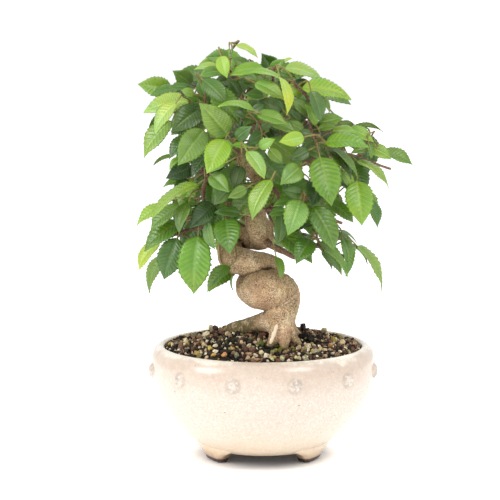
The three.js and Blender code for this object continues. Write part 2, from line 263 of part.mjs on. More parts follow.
    twigs: [
      { line: [[-2.89,-45.28,208.12,0.83],[-4.86,-40.98,213.56,0.49]], leaf: [-10.58,-41.58,215.37,-18.91,-43.08,218.38,0.323,-0.81,0.49,4.95,0.1] },
      { line: [[-2.89,-45.28,208.12,0.83],[-2.54,-50.97,211.88,0.77]] },
      { line: [[-2.54,-50.97,211.88,0.77],[-1.35,-53.71,207.0,0.49],[-1.08,-53.3,201.63,0.49]], leaf: [3.02,-52.41,196.85,11.25,-54.76,188.13,-0.026,-0.971,0.238,7.07,0.35] },
      { line: [[-2.54,-50.97,211.88,0.77],[-0.92,-53.12,213.55,0.49]], leaf: [4.75,-53.42,211.6,20.04,-54.23,206.35,0.202,-0.689,0.696,9.07,0.3] },
      { line: [[-2.54,-50.97,211.88,0.77],[-9.76,-61.26,219.66,0.49]], leaf: [-4.12,-61.73,217.68,13.92,-63.23,211.34,0.191,-0.683,0.705,10.73,0.42] },
      { line: [[-2.54,-50.97,211.88,0.77],[-1.49,-55.11,214.97,0.49],[-0.1,-61.09,216.54,0.49]], leaf: [-5.87,-62.91,220.03,-26.78,-64.41,222.96,0.154,-0.32,0.935,11.82,0.6] },
      { line: [[-3.43,-42.0,208.85,0.87],[-2.89,-45.28,208.12,0.83]] },
    ],
    stalked: [],
  },
  {
    name: "shoot_front_high_2",
    from: "shoot_front_high_3",
    twigs: [
      { line: [[12.47,-19.83,226.23,0.99],[9.41,-23.19,230.57,0.99]] },
      { line: [[9.41,-23.19,230.57,0.99],[12.46,-25.77,234.47,0.49]], leaf: [18.39,-26.65,234.82,28.6,-28.15,235.43,-0.157,-0.929,0.336,5.76,0.12] },
      { line: [[9.41,-23.19,230.57,0.99],[7.81,-24.82,232.12,0.94]] },
      { line: [[7.81,-24.82,232.12,0.94],[5.79,-35.52,226.21,0.49]], leaf: [0.16,-38.31,227.78,-11.78,-39.81,228.39,0.13,-0.785,0.606,6.69,0.2] },
      { line: [[7.81,-24.82,232.12,0.94],[6.33,-26.33,233.87,0.89]] },
      { line: [[6.33,-26.33,233.87,0.89],[1.65,-25.38,231.97,0.49]], leaf: [-3.97,-26.69,233.62,-14.23,-29.07,236.64,0.31,-0.881,0.359,5.99,0.12] },
      { line: [[6.33,-26.33,233.87,0.89],[5.31,-28.1,235.82,0.83]] },
      { line: [[5.31,-28.1,235.82,0.83],[1.87,-29.29,236.01,0.49]], leaf: [-3.99,-29.73,237.24,-15.42,-30.58,239.63,0.211,-0.547,0.81,6.54,0.62] },
      { line: [[5.31,-28.1,235.82,0.83],[-7.94,-42.46,236.35,0.49],[-10.49,-46.3,238.42,0.49]], leaf: [-5.24,-46.76,235.54,11.89,-48.26,226.16,0.267,-0.748,0.607,10.95,0.6] },
      { line: [[5.31,-28.1,235.82,0.83],[5.88,-32.42,242.64,0.69]] },
      { line: [[5.88,-32.42,242.64,0.69],[4.3,-28.99,244.69,0.49]], leaf: [9.85,-29.96,242.62,19.43,-31.64,239.04,-0.024,-0.929,0.369,5.75,0.28] },
      { line: [[5.88,-32.42,242.64,0.69],[7.0,-35.0,245.0,0.61]] },
      { line: [[7.0,-35.0,245.0,0.61],[7.2,-35.0,246.34,0.49]], leaf: [12.76,-33.83,244.4,36.71,-28.82,236.04,0.377,-0.51,0.773,14.11,0.68] },
    ],
    stalked: [
      { node: [7.0,-35.0,245.0], elbow: [6.07,-34.92,244.8], leaf: [0.17,-35.34,243.8,-20.74,-36.84,240.23,-0.082,-0.652,0.754,11.88,0.55] },
    ],
  },
  {
    name: "shoot_front_high_3",
    from: "branch_right_high",
    twigs: [
      { line: [[18.34,-14.39,218.55,1.22],[10.82,-5.23,226.46,0.69]] },
      { line: [[10.82,-5.23,226.46,0.69],[6.54,-0.42,226.2,0.49]], leaf: [6.24,4.8,223.25,4.91,27.79,210.24,0.216,0.49,0.844,14.75,0.14] },
      { line: [[10.82,-5.23,226.46,0.69],[8.2,-0.64,235.84,0.49]], leaf: [3.74,-1.78,232.0,-11.18,-5.62,219.2,-0.269,-0.79,0.55,11.22,0.47] },
      { line: [[10.82,-5.23,226.46,0.69],[12.31,-0.13,233.26,0.49]], leaf: [17.1,-2.86,230.9,34.32,-12.67,222.42,-0.012,-0.666,0.746,12.33,0.27] },
      { line: [[18.34,-14.39,218.55,1.22],[19.07,-24.86,218.62,0.94]] },
      { line: [[19.07,-24.86,218.62,0.94],[24.73,-30.38,216.04,0.61],[27.96,-32.82,212.91,0.61]] },
      { line: [[27.96,-32.82,212.91,0.61],[35.04,-35.9,207.29,0.49]], leaf: [41.0,-36.48,206.86,56.5,-37.98,205.72,0.013,-0.513,0.858,8.76,0.62] },
      { line: [[27.96,-32.82,212.91,0.61],[28.31,-33.17,211.16,0.49]], leaf: [33.83,-35.28,212.2,47.3,-40.43,214.74,-0.371,-0.924,0.094,8.39,0.33] },
      { line: [[19.07,-24.86,218.62,0.94],[18.34,-26.68,218.44,0.83]] },
      { line: [[18.34,-26.68,218.44,0.83],[17.74,-28.49,217.52,0.77]] },
      { line: [[17.74,-28.49,217.52,0.77],[16.5,-29.04,206.92,0.49]], leaf: [22.45,-29.04,206.09,48.44,-29.03,202.47,0.09,-0.761,0.643,14.82,0.02] },
      { line: [[17.74,-28.49,217.52,0.77],[16.3,-32.74,216.48,0.69]] },
      { line: [[16.3,-32.74,216.48,0.69],[14.85,-34.67,215.89,0.61]] },
      { line: [[14.85,-34.67,215.89,0.61],[9.24,-39.04,216.73,0.49]], leaf: [4.33,-40.57,213.56,-5.82,-44.63,206.57,0.167,-0.939,0.302,7.75,0.1] },
      { line: [[14.85,-34.67,215.89,0.61],[13.01,-41.8,213.93,0.49],[15.56,-43.39,215.13,0.49]], leaf: [11.42,-43.16,219.56,6.06,-43.29,225.48,0.289,-0.926,0.242,4.47,0.1] },
      { line: [[16.3,-32.74,216.48,0.69],[17.07,-34.71,216.38,0.49]], leaf: [11.6,-35.25,218.78,-3.41,-36.75,225.37,0.173,-0.969,0.174,9.16,0.05] },
      { line: [[18.34,-26.68,218.44,0.83],[14.19,-30.6,225.4,0.49]], leaf: [10.42,-32.85,229.49,4.35,-36.48,236.08,0.336,-0.921,-0.198,5.42,0.12] },
      { line: [[18.34,-14.39,218.55,1.22],[13.47,-18.73,224.81,0.77],[9.4,-19.75,228.08,0.77]] },
      { line: [[9.4,-19.75,228.08,0.77],[5.46,-17.55,224.68,0.49]], leaf: [2.22,-21.89,222.1,-12.16,-41.18,210.61,0.252,-0.627,0.737,15.15,0.23] },
      { line: [[9.4,-19.75,228.08,0.77],[6.02,-20.34,232.76,0.69]] },
      { line: [[6.02,-20.34,232.76,0.69],[7.34,-15.9,245.51,0.49]], leaf: [12.51,-17.51,248.09,17.34,-19.01,250.49,-0.501,-0.576,0.646,3.04,1.0] },
      { line: [[6.02,-20.34,232.76,0.69],[1.9,-20.03,236.9,0.61]] },
      { line: [[1.9,-20.03,236.9,0.61],[0.42,-20.59,238.98,0.49]], leaf: [4.53,-23.0,242.63,12.58,-27.73,249.8,-0.383,-0.908,-0.169,6.69,0.45] },
      { line: [[1.9,-20.03,236.9,0.61],[-3.61,-14.89,242.34,0.49]], leaf: [-8.81,-16.13,245.07,-19.15,-18.59,250.49,0.236,-0.972,0.007,6.74,0.3] },
      { line: [[19.5,-11.79,216.15,1.29],[18.34,-14.39,218.55,1.22]] },
    ],
    stalked: [],
  },
  {
    name: "shoot_front_left_high_1",
    from: "branch_left_high",
    twigs: [
      { line: [[-39.55,-14.68,213.94,1.03],[-38.07,-18.8,214.67,1.03]] },
      { line: [[-38.07,-18.8,214.67,1.03],[-39.74,-24.59,208.45,0.49]], leaf: [-43.78,-25.61,204.13,-57.48,-29.06,189.49,-0.435,-0.695,0.572,11.94,0.18] },
      { line: [[-38.07,-18.8,214.67,1.03],[-36.34,-22.6,217.02,0.99]] },
      { line: [[-36.34,-22.6,217.02,0.99],[-32.97,-30.99,212.0,0.49],[-32.23,-42.5,212.2,0.49]], leaf: [-35.55,-44.81,207.76,-50.62,-55.3,187.58,0.134,-0.917,0.376,15.97,0.38] },
      { line: [[-36.34,-22.6,217.02,0.99],[-35.75,-24.21,218.93,0.94]] },
      { line: [[-35.75,-24.21,218.93,0.94],[-33.58,-25.73,221.37,0.49]], leaf: [-35.42,-26.67,227.01,-38.95,-28.5,237.83,-0.237,-0.942,-0.236,6.38,0.3] },
      { line: [[-35.75,-24.21,218.93,0.94],[-39.42,-22.27,225.2,0.49]], leaf: [-45.28,-22.45,223.92,-72.93,-23.3,217.88,-0.127,-0.717,0.685,15.87,0.8] },
      { line: [[-35.75,-24.21,218.93,0.94],[-35.35,-26.05,220.79,0.83]] },
      { line: [[-35.35,-26.05,220.79,0.83],[-34.85,-25.41,222.76,0.49]], leaf: [-39.61,-28.11,225.22,-46.67,-32.12,228.88,0.466,-0.882,-0.068,5.44,0.35] },
      { line: [[-35.35,-26.05,220.79,0.83],[-35.16,-28.24,222.61,0.77]] },
      { line: [[-35.16,-28.24,222.61,0.77],[-34.3,-30.93,223.05,0.49]], leaf: [-38.22,-34.26,219.95,-54.98,-48.47,206.71,0.359,-0.827,0.433,14.93,0.08] },
      { line: [[-35.16,-28.24,222.61,0.77],[-35.35,-29.96,224.84,0.69]] },
      { line: [[-35.35,-29.96,224.84,0.69],[-35.01,-34.03,230.97,0.61]] },
      { line: [[-35.01,-34.03,230.97,0.61],[-32.47,-31.64,236.71,0.49]], leaf: [-29.06,-31.41,231.78,-14.61,-30.42,210.85,0.084,-0.996,0.011,15.75,0.32] },
      { line: [[-35.01,-34.03,230.97,0.61],[-40.31,-43.3,241.51,0.49]], leaf: [-36.07,-43.73,237.29,-21.25,-45.23,222.57,0.263,-0.897,0.356,11.69,0.22] },
      { line: [[-35.35,-29.96,224.84,0.69],[-36.55,-30.77,227.22,0.49]], leaf: [-41.83,-33.07,228.9,-49.47,-36.41,231.32,0.406,-0.914,0.023,5.41,0.5] },
      { line: [[-39.62,-10.89,213.55,1.09],[-39.55,-14.68,213.94,1.03]] },
    ],
    stalked: [],
  },
  {
    name: "shoot_front_left_high_2",
    from: "trunk",
    twigs: [
      { line: [[-18.17,-6.84,235.88,0.94],[-18.29,-8.51,236.47,0.94]] },
      { line: [[-18.29,-8.51,236.47,0.94],[-11.14,-14.32,226.6,0.49]], leaf: [-13.58,-14.42,221.12,-23.19,-14.79,199.51,-0.395,-0.899,0.191,14.44,0.02] },
      { line: [[-18.29,-8.51,236.47,0.94],[-18.65,-10.07,237.71,0.89]] },
      { line: [[-18.65,-10.07,237.71,0.89],[-23.07,-7.78,242.9,0.49],[-24.43,-6.55,248.21,0.49]], leaf: [-29.03,-12.25,248.13,-39.35,-15.31,246.89,0.265,-0.954,0.142,6.15,0.8] },
      { line: [[-18.65,-10.07,237.71,0.89],[-18.63,-11.9,238.99,0.83]] },
      { line: [[-18.63,-11.9,238.99,0.83],[-13.99,-16.5,238.22,0.49]], leaf: [-19.16,-19.36,237.19,-31.18,-26.0,234.82,0.441,-0.872,0.211,7.92,0.05] },
      { line: [[-18.63,-11.9,238.99,0.83],[-21.0,-21.0,245.0,0.69]] },
      { line: [[-21.0,-21.0,245.0,0.69],[-19.24,-27.94,243.88,0.49]], leaf: [-25.07,-28.62,242.62,-38.88,-30.25,239.63,-0.023,-0.83,0.557,7.94,0.4] },
      { line: [[-21.0,-21.0,245.0,0.69],[-27.05,-29.84,256.79,0.49]], leaf: [-25.58,-32.36,251.54,-21.91,-38.64,238.46,-0.212,-0.903,0.374,8.42,0.85] },
      { line: [[-18.63,-11.9,238.99,0.83],[-16.42,-4.52,249.61,0.49]], leaf: [-21.12,-8.24,249.99,-34.95,-19.18,251.09,0.622,-0.781,0.06,10.46,0.45] },
      { line: [[-18.41,-2.87,234.6,0.99],[-18.17,-6.84,235.88,0.94]] },
    ],
    stalked: [
      { node: [-21.0,-21.0,245.0], elbow: [-21.02,-21.93,244.68], leaf: [-27.0,-22.41,244.44,-42.11,-23.62,243.83,0.013,-0.572,0.82,8.49,0.8] },
    ],
  },
  {
    name: "shoot_front_left_mid_1",
    from: "branch_left_upper",
    twigs: [
      { line: [[-36.13,-19.49,180.94,0.83],[-41.77,-16.66,177.55,0.49]], leaf: [-47.55,-17.27,176.08,-61.63,-18.77,172.49,-0.152,-0.544,0.825,8.19,0.3] },
      { line: [[-36.13,-19.49,180.94,0.83],[-37.85,-19.67,182.27,0.77]] },
      { line: [[-37.85,-19.67,182.27,0.77],[-42.07,-20.0,188.74,0.49],[-46.05,-22.82,194.14,0.49]], leaf: [-50.26,-23.69,189.96,-57.54,-25.19,182.73,-0.31,-0.819,0.482,5.81,0.6] },
      { line: [[-37.85,-19.67,182.27,0.77],[-42.14,-20.04,180.13,0.49]], leaf: [-46.07,-23.43,177.12,-54.89,-31.04,170.36,0.35,-0.815,0.462,7.89,0.12] },
      { line: [[-37.85,-19.67,182.27,0.77],[-38.47,-25.88,186.72,0.49]], leaf: [-43.39,-28.71,184.77,-58.72,-37.54,178.7,0.371,-0.869,0.326,10.85,0.0] },
      { line: [[-37.85,-19.67,182.27,0.77],[-50.03,-16.15,193.23,0.49]], leaf: [-55.48,-16.82,190.81,-67.71,-18.32,185.37,-0.414,0.386,0.824,7.56,0.2] },
      { line: [[-33.66,-17.4,179.18,0.87],[-36.13,-19.49,180.94,0.83]] },
    ],
    stalked: [],
  },
  {
    name: "shoot_front_left_mid_2",
    from: "branch_left_upper",
    twigs: [
      { line: [[-36.57,-28.13,166.73,0.99],[-35.19,-37.01,160.96,0.49]], leaf: [-40.72,-38.01,163.05,-49.07,-39.51,166.19,0.342,-0.766,0.544,5.0,0.35] },
      { line: [[-36.57,-28.13,166.73,0.99],[-35.26,-34.23,161.86,0.49],[-31.71,-38.82,158.79,0.49]], leaf: [-33.41,-42.3,152.58,-29.82,-43.8,135.83,-0.704,-0.705,-0.088,9.67,0.3] },
      { line: [[-36.57,-28.13,166.73,0.99],[-38.45,-26.72,165.71,0.69]] },
      { line: [[-38.45,-26.72,165.71,0.69],[-41.03,-27.22,155.08,0.49],[-40.66,-29.8,151.92,0.49],[-39.21,-35.18,149.37,0.49]], leaf: [-39.68,-35.44,143.39,-42.51,-36.94,107.83,-0.17,-0.984,0.055,20.08,0.45] },
      { line: [[-38.45,-26.72,165.71,0.69],[-45.0,-21.0,165.0,0.61]] },
      { line: [[-45.0,-21.0,165.0,0.61],[-56.03,-9.66,163.42,0.49]], leaf: [-60.97,-10.07,160.04,-78.97,-11.57,147.71,-0.455,-0.514,0.727,12.31,0.88] },
      { line: [[-36.57,-28.13,166.73,0.99],[-36.96,-34.85,172.06,0.69]] },
      { line: [[-36.96,-34.85,172.06,0.69],[-42.67,-43.65,170.4,0.49]], leaf: [-44.69,-44.11,164.77,-51.3,-45.61,146.28,-0.655,-0.698,0.291,11.08,0.2] },
      { line: [[-36.96,-34.85,172.06,0.69],[-35.0,-41.0,179.0,0.61]] },
      { line: [[-35.0,-41.0,179.0,0.61],[-35.1,-44.39,185.19,0.49]], leaf: [-31.39,-47.63,181.77,-20.57,-57.08,171.77,-0.257,-0.825,0.503,10.03,0.36] },
      { line: [[-36.25,-26.0,169.36,1.04],[-36.57,-28.13,166.73,0.99]] },
    ],
    stalked: [
      { node: [-45.0,-21.0,165.0], elbow: [-45.85,-20.96,164.14], leaf: [-50.53,-21.33,160.39,-69.56,-22.83,145.13,-0.455,-0.63,0.63,13.75,0.33] },
      { node: [-35.0,-41.0,179.0], elbow: [-34.52,-41.84,178.98], leaf: [-39.33,-42.1,175.41,-67.53,-43.6,154.51,-0.559,-0.294,0.775,19.73,0.62] },
    ],
  },
  {
    name: "shoot_front_left_mid_3",
    from: "branch_left_mid",
    twigs: [
      { line: [[-29.29,-24.49,162.19,0.69],[-25.43,-30.54,166.0,0.69]] },
      { line: [[-25.43,-30.54,166.0,0.69],[-23.61,-32.51,170.01,0.49]], leaf: [-24.98,-33.24,164.21,-30.24,-36.04,141.96,-0.494,-0.841,0.222,12.87,0.32] },
      { line: [[-25.43,-30.54,166.0,0.69],[-25.95,-34.7,166.78,0.49]], leaf: [-29.9,-37.12,162.97,-44.09,-45.82,149.31,0.171,-0.902,0.396,12.54,0.05] },
      { line: [[-25.43,-30.54,166.0,0.69],[-22.24,-37.33,163.11,0.49],[-23.15,-41.49,159.0,0.49]], leaf: [-22.55,-45.64,154.7,-19.95,-63.64,136.06,-0.177,-0.72,0.671,15.89,0.28] },
      { line: [[-28.27,-22.33,159.08,0.73],[-29.29,-24.49,162.19,0.69]] },
    ],
    stalked: [],
  },
  {
    name: "shoot_front_left_mid_4",
    from: "shoot_front_low",
    twigs: [
      { line: [[1.09,-34.55,159.95,0.89],[0.89,-35.07,160.35,0.89]] },
      { line: [[0.89,-35.07,160.35,0.89],[-1.08,-36.39,159.87,0.61]] },
      { line: [[-1.08,-36.39,159.87,0.61],[-7.59,-37.85,161.66,0.49]], leaf: [-12.41,-39.11,158.31,-20.82,-41.31,152.48,-0.107,-0.87,0.482,5.81,0.3] },
      { line: [[-1.08,-36.39,159.87,0.61],[-8.21,-43.17,157.01,0.49]], leaf: [-14.19,-43.23,157.48,-29.77,-43.41,158.7,0.065,-0.679,0.731,8.75,0.15] },
      { line: [[0.89,-35.07,160.35,0.89],[0.11,-41.59,168.57,0.77]] },
      { line: [[0.11,-41.59,168.57,0.77],[-0.62,-36.96,172.22,0.49]], leaf: [-5.19,-38.02,168.48,-12.41,-39.7,162.59,0.019,-0.968,0.252,5.39,0.2] },
      { line: [[0.11,-41.59,168.57,0.77],[-7.05,-42.93,174.05,0.49],[-17.61,-42.3,175.86,0.49]], leaf: [-21.33,-45.04,172.03,-29.57,-51.1,163.57,0.195,-0.877,0.438,7.71,0.12] },
      { line: [[0.11,-41.59,168.57,0.77],[2.43,-50.68,173.79,0.49],[6.77,-61.93,184.57,0.49]], leaf: [4.09,-62.28,179.21,-7.61,-63.78,155.84,-0.603,-0.718,0.348,14.69,0.5] },
      { line: [[0.11,-41.59,168.57,0.77],[-4.69,-49.57,176.36,0.49]], leaf: [-9.98,-50.27,173.62,-21.24,-51.77,167.79,-0.004,-0.966,0.257,7.14,0.36] },
    ],
    stalked: [],
  },
  {
    name: "shoot_front_left_mid_5",
    from: "shoot_front_mid",
    twigs: [
      { line: [[-11.74,-36.22,206.78,0.94],[-11.97,-36.79,206.44,0.94]] },
      { line: [[-11.97,-36.79,206.44,0.94],[-17.08,-40.0,209.47,0.49],[-19.05,-43.15,214.46,0.49]], leaf: [-23.07,-44.08,210.11,-29.6,-45.58,203.05,-0.276,-0.856,0.437,5.42,0.2] },
      { line: [[-11.97,-36.79,206.44,0.94],[-13.19,-42.91,203.0,0.89]] },
      { line: [[-13.19,-42.91,203.0,0.89],[-13.36,-44.85,201.51,0.83]] },
      { line: [[-13.36,-44.85,201.51,0.83],[-12.68,-48.95,198.59,0.77]] },
      { line: [[-12.68,-48.95,198.59,0.77],[-11.33,-50.97,199.05,0.49]], leaf: [-6.43,-51.46,195.62,3.62,-52.47,188.59,0.265,-0.826,0.497,6.89,0.12] },
      { line: [[-12.68,-48.95,198.59,0.77],[-11.8,-54.72,195.41,0.69]] },
      { line: [[-11.8,-54.72,195.41,0.69],[-12.96,-62.83,194.16,0.49],[-13.03,-66.21,196.11,0.49],[-13.18,-69.82,201.6,0.49]], leaf: [-9.94,-70.29,196.57,0.48,-71.79,180.45,0.522,-0.75,0.407,10.79,0.66] },
      { line: [[-11.8,-54.72,195.41,0.69],[-10.41,-56.32,195.47,0.61]] },
      { line: [[-10.41,-56.32,195.47,0.61],[-4.16,-63.64,197.84,0.49]], leaf: [-9.95,-62.21,198.5,-19.32,-59.89,199.56,-0.06,-0.604,0.795,5.28,0.5] },
      { line: [[-10.41,-56.32,195.47,0.61],[-7.81,-57.37,195.82,0.49]], leaf: [-2.93,-59.76,198.38,6.35,-64.31,203.25,-0.426,-0.904,-0.033,6.42,0.65] },
      { line: [[-13.36,-44.85,201.51,0.83],[-17.69,-47.18,200.89,0.49]], leaf: [-21.21,-49.77,204.99,-37.6,-61.85,224.06,0.4,-0.89,-0.219,15.87,0.38] },
      { line: [[-13.19,-42.91,203.0,0.89],[-16.2,-48.96,206.06,0.49],[-20.28,-56.54,207.08,0.49]], leaf: [-22.83,-59.4,202.46,-33.11,-70.86,183.87,0.117,-0.873,0.474,14.54,0.72] },
    ],
    stalked: [],
  },
  {
    name: "shoot_front_low",
    from: "branch_front_low",
    twigs: [
      { line: [[1.54,-33.34,159.02,1.08],[2.66,-33.99,157.01,0.77]] },
      { line: [[2.66,-33.99,157.01,0.77],[6.03,-20.92,143.02,0.49],[9.39,-14.61,137.08,0.49]], leaf: [13.4,-18.21,139.72,29.8,-32.88,150.49,-0.668,-0.227,0.709,14.53,0.02] },
      { line: [[2.66,-33.99,157.01,0.77],[4.64,-36.11,152.99,0.69]] },
      { line: [[4.64,-36.11,152.99,0.69],[5.87,-37.11,149.03,0.49]], leaf: [10.27,-38.6,145.24,29.73,-45.18,128.44,0.234,-0.782,0.577,14.83,0.25] },
      { line: [[4.64,-36.11,152.99,0.69],[8.4,-42.71,146.79,0.49]], leaf: [14.0,-43.72,144.88,22.36,-45.22,142.03,0.083,-0.761,0.643,5.0,0.3] },
      { line: [[4.64,-36.11,152.99,0.69],[6.48,-29.78,135.95,0.49]], leaf: [7.81,-30.43,130.13,10.89,-31.93,116.67,0.758,-0.607,0.241,7.84,0.5] },
      { line: [[1.54,-33.34,159.02,1.08],[8.78,-37.17,159.29,0.89]] },
      { line: [[8.78,-37.17,159.29,0.89],[9.95,-43.72,164.18,0.49]], leaf: [10.32,-46.09,158.35,7.94,-47.59,139.28,0.557,-0.831,-0.004,10.84,0.15] },
      { line: [[8.78,-37.17,159.29,0.89],[14.91,-41.21,159.46,0.83],[20.19,-45.7,161.66,0.83]] },
      { line: [[20.19,-45.7,161.66,0.83],[19.64,-51.41,161.27,0.49]], leaf: [13.77,-51.42,160.03,2.49,-51.43,157.64,-0.134,-0.761,0.635,6.46,0.3] },
      { line: [[20.19,-45.7,161.66,0.83],[23.31,-47.09,165.2,0.77]] },
      { line: [[23.31,-47.09,165.2,0.77],[23.22,-45.35,167.8,0.49]], leaf: [17.49,-45.13,166.05,5.55,-44.69,162.42,-0.232,-0.701,0.674,6.99,0.35] },
      { line: [[23.31,-47.09,165.2,0.77],[28.75,-47.98,168.84,0.49]], leaf: [23.27,-50.13,170.04,10.69,-55.07,172.8,0.385,-0.916,0.115,7.67,0.22] },
      { line: [[23.31,-47.09,165.2,0.77],[25.91,-49.95,168.23,0.49]], leaf: [28.65,-50.24,162.9,42.41,-51.74,136.15,0.478,-0.828,0.292,16.94,0.3] },
      { line: [[23.31,-47.09,165.2,0.77],[24.2,-51.04,169.37,0.49],[23.07,-53.01,171.63,0.49]], leaf: [21.3,-56.37,166.99,13.93,-70.31,147.7,0.247,-0.828,0.504,14.57,0.52] },
      { line: [[3.94,-31.0,160.01,1.13],[1.54,-33.34,159.02,1.08]] },
    ],
    stalked: [],
  },
  {
    name: "shoot_front_mid",
    from: "branch_front_high",
    twigs: [
      { line: [[-8.02,-31.33,213.4,1.15],[-10.88,-25.64,222.08,0.49]], leaf: [-14.25,-26.29,227.0,-22.08,-27.79,238.43,0.366,-0.922,0.13,7.75,0.12] },
      { line: [[-8.02,-31.33,213.4,1.15],[-8.78,-32.24,211.46,1.12]] },
      { line: [[-8.78,-32.24,211.46,1.12],[-7.42,-31.74,209.61,0.69]] },
      { line: [[-7.42,-31.74,209.61,0.69],[-3.75,-25.03,205.95,0.49],[-0.14,-16.68,204.42,0.49]], leaf: [4.37,-16.47,200.47,24.63,-15.57,182.71,0.344,-0.872,0.348,15.13,0.47] },
      { line: [[-7.42,-31.74,209.61,0.69],[-6.41,-30.04,194.26,0.49]], leaf: [-2.72,-32.6,190.28,14.42,-44.49,171.79,0.283,-0.666,0.69,17.26,0.22] },
      { line: [[-7.42,-31.74,209.61,0.69],[-1.45,-36.97,207.13,0.49],[2.96,-42.54,207.66,0.49]], leaf: [-1.08,-46.94,205.47,-9.97,-51.81,199.77,0.261,-0.896,0.358,7.1,0.18] },
      { line: [[-8.78,-32.24,211.46,1.12],[-13.47,-38.91,214.36,0.49],[-12.51,-40.75,215.35,0.49]], leaf: [-7.01,-42.02,218.35,1.9,-43.52,223.12,-0.289,-0.924,0.25,5.66,0.15] },
      { line: [[-8.78,-32.24,211.46,1.12],[-14.2,-37.16,203.36,0.94]] },
      { line: [[-14.2,-37.16,203.36,0.94],[-26.13,-25.75,199.68,0.49]], leaf: [-29.61,-28.21,195.45,-43.53,-38.04,178.56,-0.475,-0.532,0.701,13.73,0.05] },
      { line: [[-14.2,-37.16,203.36,0.94],[-15.82,-40.66,199.56,0.89]] },
      { line: [[-15.82,-40.66,199.56,0.89],[-15.8,-43.48,195.57,0.83]] },
      { line: [[-15.8,-43.48,195.57,0.83],[-13.26,-37.11,184.19,0.49]], leaf: [-10.6,-37.78,189.53,-4.61,-39.28,201.59,-0.6,-0.774,0.202,7.5,0.2] },
      { line: [[-15.8,-43.48,195.57,0.83],[-11.97,-40.27,191.41,0.49]], leaf: [-13.58,-42.86,186.24,-17.7,-49.49,172.97,0.0,-0.894,0.447,8.91,0.0] },
      { line: [[-15.8,-43.48,195.57,0.83],[-17.74,-45.03,195.97,0.49]], leaf: [-22.48,-45.72,192.36,-30.21,-46.86,186.48,-0.246,-0.84,0.484,5.47,0.25] },
      { line: [[-15.8,-43.48,195.57,0.83],[-15.0,-47.0,193.0,0.61]] },
      { line: [[-15.0,-47.0,193.0,0.61],[-17.68,-51.99,191.35,0.49]], leaf: [-22.98,-51.8,188.55,-34.25,-51.4,182.61,-0.348,-0.71,0.612,7.12,0.5] },
      { line: [[-15.82,-40.66,199.56,0.89],[-18.88,-46.99,200.26,0.49]], leaf: [-16.46,-52.32,202.74,-7.03,-61.97,210.72,-0.564,-0.779,-0.275,8.22,0.2] },
      { line: [[-5.56,-29.26,211.69,1.21],[-8.02,-31.33,213.4,1.15]] },
    ],
    stalked: [
      { node: [-15.0,-47.0,193.0], elbow: [-14.42,-46.24,193.1], leaf: [-18.88,-48.15,196.64,-26.51,-51.43,202.7,0.351,-0.934,-0.064,5.92,0.6] },
    ],
  },
  {
    name: "shoot_front_right_high",
    from: "branch_right_high",
    twigs: [
      { line: [[31.55,-16.61,230.26,1.03],[30.56,-20.82,228.07,1.03]] },
      { line: [[30.56,-20.82,228.07,1.03],[30.31,-22.86,226.53,0.69]] },
      { line: [[30.31,-22.86,226.53,0.69],[28.42,-36.87,213.25,0.61]] },
      { line: [[28.42,-36.87,213.25,0.61],[31.44,-39.69,213.83,0.49]], leaf: [26.99,-40.7,217.72,16.76,-43.03,226.66,0.201,-0.979,-0.025,7.76,0.24] },
      { line: [[28.42,-36.87,213.25,0.61],[28.0,-38.66,211.28,0.49],[25.75,-36.86,207.43,0.49]], leaf: [21.73,-38.14,211.69,12.66,-41.02,221.29,0.231,-0.97,-0.073,7.78,0.14] },
      { line: [[30.31,-22.86,226.53,0.69],[40.75,-27.06,218.69,0.49],[46.24,-30.43,210.6,0.49]], leaf: [51.55,-30.96,207.85,66.59,-32.46,200.09,0.244,-0.749,0.616,9.55,0.68] },
      { line: [[30.56,-20.82,228.07,1.03],[27.92,-26.96,225.92,0.89],[27.19,-32.67,225.65,0.89]] },
      { line: [[27.19,-32.67,225.65,0.89],[28.86,-33.06,226.71,0.49]], leaf: [23.57,-34.82,228.92,12.08,-38.65,233.72,0.315,-0.949,-0.003,7.2,0.5] },
      { line: [[27.19,-32.67,225.65,0.89],[24.61,-39.48,228.8,0.83]] },
      { line: [[24.61,-39.48,228.8,0.83],[26.42,-35.0,235.4,0.49]], leaf: [30.12,-35.56,230.72,40.0,-37.06,218.23,0.656,-0.487,0.577,8.95,0.38] },
      { line: [[24.61,-39.48,228.8,0.83],[19.88,-43.88,232.91,0.77]] },
      { line: [[19.88,-43.88,232.91,0.77],[21.59,-48.81,235.16,0.49],[25.71,-55.72,236.63,0.49]], leaf: [27.54,-55.27,230.94,33.57,-53.81,212.2,0.628,-0.765,0.142,11.0,0.2] },
      { line: [[19.88,-43.88,232.91,0.77],[16.82,-43.58,233.81,0.49]], leaf: [22.67,-43.08,232.57,52.28,-40.55,226.33,0.214,-0.594,0.776,16.87,0.64] },
      { line: [[19.88,-43.88,232.91,0.77],[13.91,-52.92,242.03,0.49],[8.05,-58.05,244.95,0.49]], leaf: [9.3,-58.44,239.09,13.99,-59.94,217.05,0.853,-0.476,0.214,12.64,0.97] },
      { line: [[19.88,-43.88,232.91,0.77],[16.0,-44.44,236.62,0.49]], leaf: [10.16,-44.91,237.89,-8.79,-46.41,242.0,0.225,-0.326,0.918,10.85,0.7] },
      { line: [[29.73,-16.0,227.45,1.09],[31.55,-16.61,230.26,1.03]] },
    ],
    stalked: [],
  },
  {
    name: "shoot_front_right_low",
    from: "branch_right_low",
